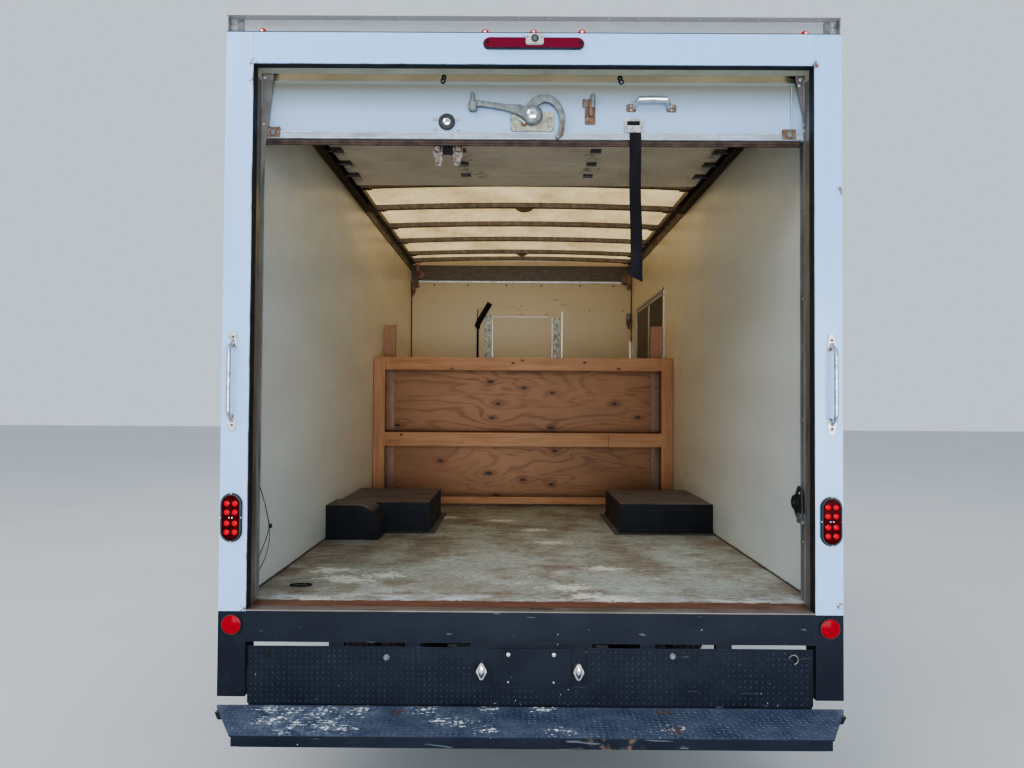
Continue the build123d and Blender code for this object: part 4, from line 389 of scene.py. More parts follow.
def floor_look():
    """The load floor: worn grey-green boards with brown stains, pale patches that grow toward the doorway, partly wear
    and partly painted light, pale scuffs and a red-brown edge.
    """
    look = Look("deck_wood", (0.500, 0.535, 0.490), 0.55)
    look.coat((0.345, 0.320, 0.270), look.patch(0.43, 0.58, 2.7, (1.0, 0.75, 1), 9, 0.70))
    # Partly wear and partly painted light: the pale patches grow stronger toward the doorway, where the daylight falls
    # in.
    close = look.fit(look.along(2.6, 0.2), 0.0, 1.0, 0.15, 0.80)
    look.coat((0.72, 0.75, 0.72), look.patch(0.50, 0.64, 4.4, (0.8, 1.0, 1), 10, 0.70, 2), close)
    look.coat((0.215, 0.150, 0.110), look.patch(0.50, 0.61, 3.4, (0.7, 1.1, 1), 10, 0.74, 7), 0.62)
    look.coat((0.25, 0.118, 0.080), look.patch(0.58, 0.66, 5.2, (0.6, 1.2, 1), 9, 0.74, 12), 0.60)
    look.coat((0.185, 0.115, 0.085), look.wide(0.90, 1.16), look.patch(0.38, 0.62, 6, (1, 0.7, 1), 8), 0.65)
    look.coat((0.150, 0.130, 0.105), look.patch(0.46, 0.66, 46, (0.7, 1.0, 1), 7, 0.74, to=(0.0, 0.55)))
    look.coat((0.66, 0.68, 0.63), look.patch(0.605, 0.625, 15, (0.8, 1.1, 1), 10, 0.80, 20), 0.45)
    scuff = look.fit(look.near([(x, y, 0) for x, y in FLOOR_SCUFFS], 0.16, (0.65, 1.2, 0)), 1.0, 0.0)
    scuff = look.plus(look.both(scuff, 0.36), look.noise(30, (0.7, 1.2, 1), 9, 0.78))
    look.coat((0.88, 0.86, 0.76), look.fit(scuff, 0.71, 0.76), 0.9)
    look.coat((0.85, 0.83, 0.76), look.fit(look.cells(34, (0.7, 1.3, 1)), 0.08, 0.05), look.patch(0.5, 0.62, 6), 0.8)
    waver = look.both(look.calc("SUBTRACT", look.noise(20, detail=5), 0.5), 0.06)
    ragged = look.plus(look.axis(1), waver)
    red = look.mottle((0.235, 0.105, 0.070), (0.120, 0.062, 0.045), 0.35, 0.7, 18, (0.4, 2, 1), 6)
    look.coat(red, look.fit(ragged, REAR_Y + 0.160, REAR_Y + 0.145))
    strip = look.both(look.fit(ragged, REAR_Y + 0.150, REAR_Y + 0.165), look.fit(ragged, REAR_Y + 0.270, REAR_Y + 0.21))
    look.coat((0.74, 0.80, 0.84), strip, look.patch(0.50, 0.58, 7, (0.6, 1.4, 1), 8, 0.7, 3), 0.8)
    look.set("Roughness", look.patch(0.3, 0.8, 12, (0.4, 2, 1), 6, to=(0.40, 0.72)))
    look.bump(look.noise(10, (0.5, 2.0, 1), 8, 0.65), 0.3, 0.003)
    return look.bump(look.noise(150, (0.3, 1, 1), 4), 0.2, 0.0006)


# Places of the white splashes on the step, across and forward of the rear frame
STEP_SPLASHES = [(-1.004, -0.03), (-0.915, -0.05), (-0.80, -0.03), (-0.66, -0.04), (-0.946, -0.112),
                 (-0.979, -0.14), (-0.82, -0.08), (-0.888, -0.203), (-0.752, -0.201), (-0.692, -0.196),
                 (-0.737, -0.137), (-0.404, -0.02), (-0.271, -0.137), (-0.151, -0.01), (-0.16, -0.2),
                 (0.062, -0.01), (0.11, -0.211), (0.52, -0.186), (-0.34, -0.13), (-0.86, -0.15)]


def splash(look, top):
    """White drops in a pale mist on top of the step, and rust at three places and on the lip."""
    close = look.fit(look.near([(x, y, 0) for x, y in STEP_SPLASHES], 0.085, (0.75, 1, 0)), 1.0, 0.0)
    mist = look.both(look.patch(0.4, 0.7, 26, detail=6), look.fit(look.axis(0), 0.1, -0.6))
    look.coat((0.44, 0.50, 0.58), close, 0.7, mist, top)
    drops = look.plus(look.both(close, 0.235), look.noise(62, (0.7, 1.3, 1), 5, 0.62, 3))
    look.coat((0.98, 0.99, 1.0), look.fit(drops, 0.735, 0.745), top)
    brown = look.near([(0.52, -0.03, 0), (0.52, -0.19, 0), (-0.51, -0.05, 0)], 0.06, (0.8, 1, 0))
    rust = look.plus(look.both(look.fit(brown, 1.0, 0.3), 0.4), look.noise(60, detail=6))
    look.coat(rust_color(look), look.fit(rust, 0.80, 0.98), top)
    lip = look.near([(0.25, 0, -0.40), (0.34, 0, -0.395)], 0.07, (1, 0, 1))
    look.coat((0.11, 0.075, 0.055), look.fit(lip, 1.0, 0.2), look.patch(0.5, 0.62, 30, detail=6),
              look.along(-0.255, -0.262))


def navy_steel(name, splashes=False):
    """Worn navy-black paint with scratches and white specks, its upward faces painted lighter and bluer as sky light.
    """
    look = Look(name, NAVY_BLACK, 0.5, 0.0, {"Specular IOR Level": 0.22})
    look.coat((0.0125, 0.0175, 0.0290), look.patch(0.42, 0.78, 5, (1, 1, 1.6), 7, 0.6))
    # Painted light: faces turned upward get a lighter, bluer mottle, as if lit by the sky.
    top = look.fit(look.facing(2), 0.6, 0.9)
    look.coat(look.mottle((0.060, 0.078, 0.122), (0.130, 0.150, 0.198), 0.35, 0.7, 9, detail=7), top)
    look.coat((0.12, 0.115, 0.11), look.edge(0.003), look.patch(0.38, 0.6, 22, (0.6, 1, 1), 6), 0.4)
    look.coat((0.20, 0.21, 0.23), look.patch(0.712, 0.725, 34, (0.22, 1, 2.0), 3, 0.4, 5, 0.6), 0.4)
    look.coat((0.62, 0.64, 0.66), look.fit(look.cells(33, (0.9, 1, 0.7), 3), 0.050, 0.035),
              look.patch(0.50, 0.56, 6, shift=6))
    look.coat(rust_color(look), look.patch(0.71, 0.77, 11, (0.6, 1, 1.5), 8, 0.7, 11), 0.7)
    if splashes:
        splash(look, top)
    brown = look.mottle((0.135, 0.106, 0.094), (0.250, 0.216, 0.190), 0.35, 0.7, 15, (0.3, 1, 1), 6)
    red = look.mottle((0.240, 0.114, 0.077), (0.126, 0.077, 0.062), 0.35, 0.7, 24, (0.3, 1.5, 1), 6)
    brown = look.mix(look.along(0.050, 0.062), brown, red)
    worn = look.both(look.along(0.006, 0.003), look.patch(0.45, 0.65, 9, detail=6))
    look.coat(look.mix(worn, brown, (0.15, 0.145, 0.14)), look.high(-0.0058, -0.004))
    look.set("Roughness", look.patch(0.3, 0.8, 8, detail=6, to=(0.32, 0.62)))
    return look.bump(look.noise(70, detail=5), 0.16, 0.001)


# Places of the stains round the stored door's hinges
HINGE_STAINS = [(-0.383, 1.425), (-0.378, 1.686), (-0.277, 1.79), (0.386, 1.402), (0.383, 1.678), (1.08, 1.37),
                (1.08, 1.62), (1.08, 1.86), (-1.08, 1.37), (-1.08, 1.62), (-1.08, 1.86)]


def door_panel_look():
    """The roll-up door: bluish white low down, with painted shade darkening the lower panel's top under the header; on
    the slanted and stored panels the same white face is painted in shade, olive grey on the slant and cream overhead,
    with stains round the hinges.
    """
    look = Look("door_panel", (0.300, 0.420, 0.600), 0.34, 0.0, {"Coat Weight": 0.2, "Coat Roughness": 0.25})
    look.coat((0.25, 0.30, 0.35), look.patch(0.4, 0.8, 5, (1, 1, 0.5), 6), 0.18)
    # Painted shade: the lower panel darkens toward its top, under the header.
    look.coat((0.150, 0.150, 0.118), look.high(2.000, 2.107))
    alloy = look.mottle((0.33, 0.39, 0.48), (0.20, 0.22, 0.25), 0.4, 0.75, 20, (0.3, 1, 1), 6)
    look.coat(alloy, look.high(1.9205, 1.9195), look.along(0.2, 0.19))
    # Painted light and shade: the stored panels' face, the same white paint, is shown as a warm cream.
    cream = look.mottle((0.72, 0.685, 0.60), (0.54, 0.505, 0.435), 0.35, 0.75, 4, detail=7)
    # Painted shade on the slanted panel: olive grey where it faces down, bluish where it faces up.
    shaded = look.mix(look.fit(look.facing(2), 0.0, 0.5), (0.185, 0.200, 0.180), (0.200, 0.300, 0.420))
    cream = look.mix(look.along(0.34, 0.33), cream, shaded)
    smear = look.fit(look.near([(x, y, 0) for x, y in HINGE_STAINS], 0.10, (1, 0.7, 0)), 1.0, 0.1)
    dark = look.fit(look.plus(look.both(smear, 0.22), look.noise(26, detail=6)), 0.62, 0.90, 0.0, 0.8)
    cream = look.mix(look.both(dark, look.along(0.34, 0.5)), cream, (0.075, 0.060, 0.045))
    look.coat(cream, look.high(2.119, 2.121))
    return look.bump(look.noise(8, (1, 1, 0.5), 3), 0.10, 0.002)


def track_look():
    """The door tracks: dirty grey up the jambs, dark brown under the roof."""
    look = Look("door_track", rough=0.5, metal=0.3)
    look.color = look.mottle((0.27, 0.275, 0.26), (0.115, 0.105, 0.09), 0.35, 0.75, 13, (1, 1, 0.3), 7)
    brown = look.mottle((0.035, 0.022, 0.015), (0.105, 0.072, 0.048), 0.35, 0.7, 22, (1, 0.4, 1), 7)
    look.coat(brown, look.along(0.20, 0.32))
    return look.bump(look.noise(90, detail=4), 0.2, 0.001)


def box_look():
    """The wheel boxes: near black sides, a dusty brown top and worn edges."""
    look = Look("box_black", (0.0036, 0.0046, 0.0078), 0.55, 0.0, {"Specular IOR Level": 0.22})
    look.coat((0.012, 0.013, 0.016), look.patch(0.45, 0.8, 9, detail=7))
    dust = look.mottle((0.240, 0.204, 0.210), (0.128, 0.110, 0.111), 0.35, 0.7, 8, (0.6, 1.4, 1), 7)
    inward = look.both(look.fit(look.calc("ABSOLUTE", look.facing(0)), 0.6, 0.9), 0.25)
    look.coat(dust, look.calc("MAXIMUM", look.fit(look.facing(2), 0.6, 0.9), inward))
    look.coat((0.13, 0.11, 0.095), look.edge(0.004), look.patch(0.45, 0.65, 30, detail=5), 0.6)
    return look.bump(look.noise(90, detail=4), 0.12, 0.001)


def lumber_look():
    """Sawn lumber, its grain upright in the posts and level in the rails."""
    look = Look("lumber", (0.385, 0.192, 0.084), 0.62)
    upright = look.wide(1.052, 1.056)
    level_grain = look.both(look.noise(26, (0.10, 1.0, 1.6), 8, 0.6, warp=0.4), look.calc("SUBTRACT", 1.0, upright))
    post_grain = look.both(look.noise(26, (1.4, 1.0, 0.10), 8, 0.6, warp=0.4), upright)
    grain = look.fit(look.plus(level_grain, post_grain), 0.34, 0.68)
    look.coat((0.250, 0.112, 0.045), grain)
    look.coat((0.40, 0.225, 0.120), look.patch(0.4, 0.65, 2.4, detail=3), 0.4)
    knots = [(-0.08, 0, 1.116), (-0.007, 0, 1.138), (0.48, 0, 1.125), (-0.561, 0, 1.071), (0.745, 0, 1.078),
             (-0.95, 0, 0.553)]
    front = look.along(3.02, 3.01)
    look.coat((0.055, 0.022, 0.010), look.fit(look.near(knots, 0.011, (0.6, 0, 1)), 1.0, 0.45), front)
    beside = look.calc("ABSOLUTE", look.calc("SUBTRACT", look.axis(0), 0.667))
    joint = look.both(look.fit(beside, 0.0022, 0.0012), look.high(0.60, 0.58), look.high(0.40, 0.46))
    look.coat((0.07, 0.03, 0.015), joint, front)
    look.coat((0.24, 0.155, 0.115), look.along(3.03, 3.10), 0.45)
    look.coat((0.10, 0.045, 0.02), look.patch(0.70, 0.76, 40, (0.5, 1, 1), 6, 0.7), 0.55)
    return look.bump(grain, 0.3, 0.0012)


# Knots of the two plywood panels, across and above the deck; the first three are large
LARGE_KNOTS = [(-0.267, 0, 0.978), (0.236, 0, 0.602), (-0.274, 0, 0.224)]
KNOTS = LARGE_KNOTS + [(0.010, 0, 0.929), (0.244, 0, 0.890), (-0.204, 0, 0.798), (-0.252, 0, 0.681),
                       (-1.032, 0, 0.615), (0.953, 0, 0.692), (0.757, 0, 0.800), (-0.675, 0, 0.323),
                       (0.267, 0, 0.409), (0.004, 0, 0.173), (0.238, 0, 0.133), (-0.210, 0, 0.041)]


def plywood_look():
    """Softwood plywood whose wavy grain swirls round dark knots."""
    look = Look("plywood", rough=0.6)
    pull = look.calc("POWER", 2.718, look.both(look.near(KNOTS, 0.060, (0.5, 0, 1)), -1.0))
    wander = look.both(look.noise(1.5, (0.55, 1, 2.3), 3, 0.5, warp=0.7), 10.0)
    field = look.plus(look.plus(look.both(look.axis(2), 12.0), wander), look.both(pull, 2.4))
    wave = look.calc("SINE", look.both(field, 6.283))
    line = look.both(look.fit(wave, 0.25, 1.0), look.patch(0.36, 0.60, 1.7, (0.5, 1, 1.2), shift=9, to=(0.25, 1.0)))
    fibre = look.patch(0.35, 0.7, 60, (0.06, 1, 1.4), 7, 0.6)
    look.color = look.mottle((0.350, 0.176, 0.080), (0.255, 0.118, 0.050), 0.35, 0.65, 1.7, (0.6, 1, 1.4))
    look.coat((0.125, 0.048, 0.018), line, 0.66)
    look.coat((0.42, 0.228, 0.112), fibre, 0.3)
    look.coat((0.30, 0.120, 0.052), look.patch(0.52, 0.66, 3.1, (0.6, 1, 1.6), 6, 0.65, 5), 0.45)
    ring = look.plus(look.near(KNOTS, 0.036, (0.5, 0, 1)), look.both(look.noise(22, detail=5), 0.8))
    look.coat((0.155, 0.052, 0.020), look.fit(ring, 1.5, 0.7), 0.6)
    ragged = look.both(look.noise(90), 0.8)
    heart = look.fit(look.plus(look.near(KNOTS, 0.013, (0.55, 0, 1.1)), ragged), 1.42, 1.15)
    large = look.fit(look.plus(look.near(LARGE_KNOTS, 0.018, (0.55, 0, 1.2)), ragged), 1.45, 1.05)
    look.coat((0.030, 0.011, 0.006), look.calc("MAXIMUM", heart, large), 0.92)
    look.coat((0.32, 0.19, 0.10), look.along(3.334, 3.336), 0.3)
    return look.bump(look.plus(look.both(line, 0.5), fibre), 0.22, 0.0012)


def metal_look(name, light, dark, rough=0.45, metal=0.7, rust=0.0, scale=30):
    """Bare or cast metal with stains, and with rust over the share given."""
    look = Look(name, light, rough, metal)
    look.coat(dark, look.patch(0.35, 0.7, scale, detail=7))
    if rust:
        patch = look.patch(0.72 - rust * 0.4, 0.80 - rust * 0.4, scale * 1.4, detail=7, rough=0.65, shift=3)
        look.coat(rust_color(look), patch)
        look.set("Metallic", look.fit(patch, 0.0, 1.0, metal, 0.0))
        look.set("Roughness", look.fit(patch, 0.0, 1.0, rough, 0.85))
    return look.bump(look.noise(scale * 5, detail=4), 0.2, 0.0006)


def plain_look(name, light, dark, rough=0.5, scale=40, grain=300, depth=0.15):
    """Plastic, rubber or satin paint with a fine grain and uneven dust."""
    look = Look(name, light, rough)
    look.coat(dark, look.patch(0.38, 0.75, scale, detail=6))
    return look.bump(look.noise(grain, detail=2), depth, 0.0006)


def lens_look(name, color, glow, strength, shine=0.8):
    """A moulded lens with fine ribs, lit a little from inside."""
    look = Look(name, color, 0.22, 0.0, {"Coat Weight": shine, "Coat Roughness": 0.05, "Emission Strength": strength})
    look.set("Specular IOR Level", 0.5 * shine)
    look.set("Emission Color", glow)
    look.coat(tuple(0.7 * value + 0.004 for value in color), look.patch(0.45, 0.75, 70, detail=5), 0.2)
    return look.bump(look.cells(260), 0.25, 0.0008)


def glass_look(name, tint, rough=0.03):
    look = Look(name, tint, rough, 0.0, {"Transmission Weight": 0.9, "IOR": 1.45})
    look.set("Roughness", look.patch(0.45, 0.8, 3, detail=6, to=(rough, rough + 0.09)))
    return look


def waves(look, value, pitch):
    return look.calc("SINE", look.both(value, 6.283 / pitch))


def webbing_look(name, color, pitch=0.0021):
    """Woven webbing: cross ribs with a fine twill."""
    look = Look(name, color, 0.85, 0.0, {"Specular IOR Level": 0.2})
    weave = look.plus(waves(look, look.axis(2), pitch), waves(look, look.axis(0), pitch * 1.3))
    look.coat(tuple(value * 2.4 + 0.004 for value in color), look.patch(0.4, 0.75, 14, (1, 1, 0.3), 6), 0.7)
    return look.bump(look.both(weave, 0.25), 0.5, 0.0008)


def fabric_look():
    look = Look("seat_fabric", rough=0.9, more={"Sheen Weight": 0.3, "Sheen Roughness": 0.4})
    weft = waves(look, look.plus(look.axis(2), look.axis(1)), 0.003)
    weave = look.plus(waves(look, look.axis(0), 0.003), weft)
    look.color = look.mottle((0.070, 0.073, 0.080), (0.115, 0.118, 0.125), 0.35, 0.7, 120, detail=3)
    look.coat((0.16, 0.155, 0.15), look.patch(0.45, 0.7, 5), 0.3)
    return look.bump(look.both(weave, 0.25), 0.4, 0.0008)


def tyre_look():
    look = Look("tyre_rubber", (0.016, 0.016, 0.017), 0.82)
    look.coat((0.075, 0.068, 0.058), look.patch(0.42, 0.75, 11, detail=7), 0.75)
    return look.bump(look.noise(240, detail=3), 0.2, 0.0006)


def headlamp_look():
    """A clear front over a bright fluted reflector, amber at the outer corner."""
    look = Look("lamp_glass", (0.78, 0.80, 0.82), 0.12, 0.85, {"Coat Weight": 1.0, "Coat Roughness": 0.03})
    amber = look.wide(0.862, 0.866)
    look.coat((0.85, 0.24, 0.02), amber)
    look.set("Metallic", look.fit(amber, 0.0, 1.0, 0.85, 0.1))
    return look.bump(waves(look, look.across(), 0.014), 0.5, 0.003)


# Looks made straight from a table: name, the two colours or the lens and its glow, and the rest
METALS = {
    "zinc": ("zinc_steel", (0.52, 0.52, 0.50), (0.24, 0.22, 0.19), 0.42, 0.8, 0.18),
    "alloy": ("alloy", (0.62, 0.64, 0.66), (0.40, 0.41, 0.42), 0.38, 0.8),
    "yellow_zinc": ("yellow_zinc", (0.36, 0.37, 0.31), (0.22, 0.195, 0.14), 0.45, 0.6, 0.35, 45),
    "cast": ("cast_grey", (0.20, 0.215, 0.22), (0.095, 0.100, 0.10), 0.55, 0.4, 0.12, 50),
    "rust": ("rusty_steel", (0.22, 0.165, 0.125), (0.10, 0.065, 0.045), 0.75, 0.3, 0.55, 60),
    "keeper": ("keeper_plate", (0.230, 0.220, 0.205), (0.050, 0.038, 0.030), 0.55, 0.3, 0.55, 70),
    "chrome": ("chrome", (0.86, 0.87, 0.88), (0.66, 0.67, 0.68), 0.14, 1.0),
    "worn_chrome": ("worn_chrome", (0.62, 0.63, 0.64), (0.26, 0.24, 0.22), 0.32, 0.8, 0.25, 60),
    "iron": ("axle_iron", (0.060, 0.055, 0.050), (0.030, 0.026, 0.023), 0.7, 0.4, 0.5, 14),
    "engine": ("engine_grey", (0.24, 0.24, 0.25), (0.11, 0.105, 0.10), 0.55, 0.6, 0.1, 9),
    "exhaust": ("exhaust_steel", (0.30, 0.26, 0.22), (0.15, 0.11, 0.08), 0.55, 0.7, 0.45, 12),
    "tape": ("worn_tape", (0.46, 0.45, 0.39), (0.105, 0.095, 0.075), 0.5, 0.3, 0.0, 34),
}
PLAIN = {
    # Partly wear and partly a painted highlight: the step's lug tops are lighter than the plate.
    "worn_highlit_lug": ("worn_highlit_lug", (0.040, 0.055, 0.090), (0.125, 0.150, 0.200), 0.5, 16),
    # Painted highlight: the kick plate's lugs are a lighter blue than the plate.
    "kick_lug_highlit": ("kick_lug_highlit", (0.0075, 0.0120, 0.0245), (0.028, 0.040, 0.068), 0.42, 12),
    "chassis": ("chassis_black", (0.022, 0.022, 0.023), (0.075, 0.066, 0.055), 0.55, 9),
    "tank": ("tank_steel", (0.030, 0.030, 0.031), (0.080, 0.070, 0.060), 0.5, 7),
    "rubber": ("flap_rubber", (0.018, 0.018, 0.019), (0.060, 0.055, 0.048), 0.8, 10),
    "seal": ("seal_rubber", (0.006, 0.008, 0.014), (0.030, 0.028, 0.028), 0.6, 25),
    "brown_seal": ("brown_seal", (0.030, 0.016, 0.012), (0.085, 0.050, 0.036), 0.75, 25),
    "plastic": ("black_plastic", (0.014, 0.014, 0.015), (0.045, 0.044, 0.043), 0.55, 12),
    "bumper": ("bumper_steel", (0.022, 0.022, 0.024), (0.042, 0.040, 0.038), 0.45, 8),
    "trim": ("cab_trim", (0.055, 0.056, 0.060), (0.090, 0.090, 0.092), 0.7, 10, 500, 0.3),
    "jamb": ("jamb_grey", (0.150, 0.138, 0.132), (0.075, 0.060, 0.052), 0.6, 14),
    "dark": ("dark_hole", (0.004, 0.004, 0.005), (0.010, 0.009, 0.009), 0.9),
    "foam": ("sealing_foam", (0.30, 0.175, 0.140), (0.11, 0.060, 0.045), 0.85, 22, 90, 0.8),
    "tan": ("tan_plastic", (0.34, 0.235, 0.125), (0.24, 0.155, 0.075), 0.5, 20),
    "grey_wood": ("grey_lumber", (0.36, 0.215, 0.150), (0.25, 0.140, 0.092), 0.65, 18, 200),
    "grey": ("grey_cover", (0.46, 0.45, 0.43), (0.30, 0.29, 0.27), 0.5, 40),
}
LENSES = {
    "red": ("red_lens", (0.040, 0.0, 0.002), (1.0, 0.0, 0.02), 0.020, 0.04),
    "led": ("red_led", (0.200, 0.002, 0.008), (1.0, 0.008, 0.030), 0.52, 0.12),
    "disc": ("red_disc", (0.210, 0.003, 0.010), (1.0, 0.0, 0.040), 0.10, 0.08),
    "maroon": ("maroon_lens", (0.120, 0.004, 0.020), (0.3, 0.0, 0.02), 0.03, 0.25),
    "amber": ("amber_lens", (0.80, 0.22, 0.010), (0.8, 0.20, 0.01), 0.3),
    "clear": ("clear_lens", (0.78, 0.79, 0.78), (0.8, 0.8, 0.78), 0.15),
}
LOOKS = {
    "white": white_paint("body_white"),
    "rear_white": rear_white(),
    "cap": cap_look(),
    "wall": wall_look(),
    "front_wall": front_wall_look(),
    "side_door": side_door_look(),
    "film": film_look(),
    "roof_steel": roof_steel_look(),
    "floor": floor_look(),
    "navy": navy_steel("step_black"),
    "step": navy_steel("step_top", True),
    "door": door_panel_look(),
    "track": track_look(),
    "box": box_look(),
    "lumber": lumber_look(),
    "plywood": plywood_look(),
    "tyre": tyre_look(),
    "rim": white_paint("rim_white"),
    "glass": glass_look("glass", (0.78, 0.86, 0.83)),
    "headlamp": headlamp_look(),
    "fabric": fabric_look(),
    "strap": webbing_look("strap_webbing", (0.0085, 0.0080, 0.0102)),
    **{key: metal_look(*values) for key, values in METALS.items()},
    **{key: plain_look(*values) for key, values in PLAIN.items()},
    **{key: lens_look(*values) for key, values in LENSES.items()},
}

# The CAD's nodes by the look that they take
NODE_LOOKS = {
    "chassis": "frame_rails crossmembers",
    "engine": "engine_block",
    "iron": "rear_axle front_axle_beam leaf_springs knuckle_left knuckle_right",
    "tank": "fuel_tank",
    "exhaust": "exhaust",
    "floor": "box_floor",
    "wall": "wall_left wall_right",
    "front_wall": "front_wall",
    "roof_steel": "roof_rails roof_bows",
    "film": "roof_skin",
    "rear_white": "rear_frame",
    "cap": "roof_cap",
    "navy": "rear_sill kick_plate",
    "step": "rear_step",
    "door": "rollup_door",
    "track": "door_tracks",
    "zinc": "door_fittings",
    "strap": "pull_strap",
    "red": "rear_lamps marker_lamps",
    "worn_chrome": "licence_lamps grab_handles",
    "box": "wheel_boxes",
    "lumber": "shelf_frame",
    "plywood": "shelf_panels",
    "rubber": "mud_flaps",
    "side_door": "side_door_rear side_door_front",
    "white": "cab_shell front_panels hood cab_door_left cab_door_right",
    "glass": "door_glass_left door_glass_right windshield",
    "headlamp": "headlamps",
    "plastic": "grille mirror_left mirror_right",
    "bumper": "front_bumper",
    "trim": "dashboard steering_wheel",
    "fabric": "seats",
    "tyre": "tyre_front_left tyre_front_right tyres_rear_left tyres_rear_right",
    "rim": "rim_front_left rim_front_right rims_rear_left rims_rear_right",
}
for look, nodes in NODE_LOOKS.items():
    for node in nodes.split():
        for slot in bpy.data.objects[node].material_slots:
            slot.material = LOOKS[look].material


# Mesh making
SIGNS = tuple(SIDES.values())
BACK, FRONT, UP, DOWN, RIGHT, LEFT = (0, -1, 0), (0, 1, 0), (0, 0, 1), (0, 0, -1), (1, 0, 0), (-1, 0, 0)
CORNERS = list(itertools.product((0, 1), repeat=3))


def circle(count, start=0.0):
    """The cosine and sine of each step round a circle."""
    angles = [2 * math.pi * (step + start) / count for step in range(count)]
    return [(math.cos(angle), math.sin(angle)) for angle in angles]


def oval(x, z, half_x, half_z, count=28):
    """An upright or level slot outline about a centre, from its two half sizes."""
    radius = min(half_x, half_z)
    points = []
    for a, b in circle(count, 0.5):
        points.append((x + a * radius + math.copysign(half_x - radius, a),
                       z + b * radius + math.copysign(half_z - radius, b)))
    return points


def rounded(low, high, radius, steps=4):
    """A rectangle outline with round corners."""
    points = []
    corners = [(high[0], high[1], 0), (low[0], high[1], 1), (low[0], low[1], 2), (high[0], low[1], 3)]
    for a, b, quarter in corners:
        middle = (a - math.copysign(radius, a - (low[0] + high[0]) / 2),
                  b - math.copysign(radius, b - (low[1] + high[1]) / 2))
        for step in range(steps + 1):
            angle = math.pi / 2 * (quarter + step / steps)
            points.append((middle[0] + radius * math.cos(angle), middle[1] + radius * math.sin(angle)))
    return points


def lifted(outline, axis, value):
    """The points of a flat outline, at a value on the axis that it is square to."""
    return [(*pair[:axis], value, *pair[axis:]) for pair in outline]


def bands(levels, width):
    """The faces between rings of points that follow each other."""
    faces = []
    for level, index in itertools.product(range(levels), range(width)):
        low, after = level * width, (index + 1) % width
        faces.append([low + index, low + after, low + width + after, low + width + index])
    return faces


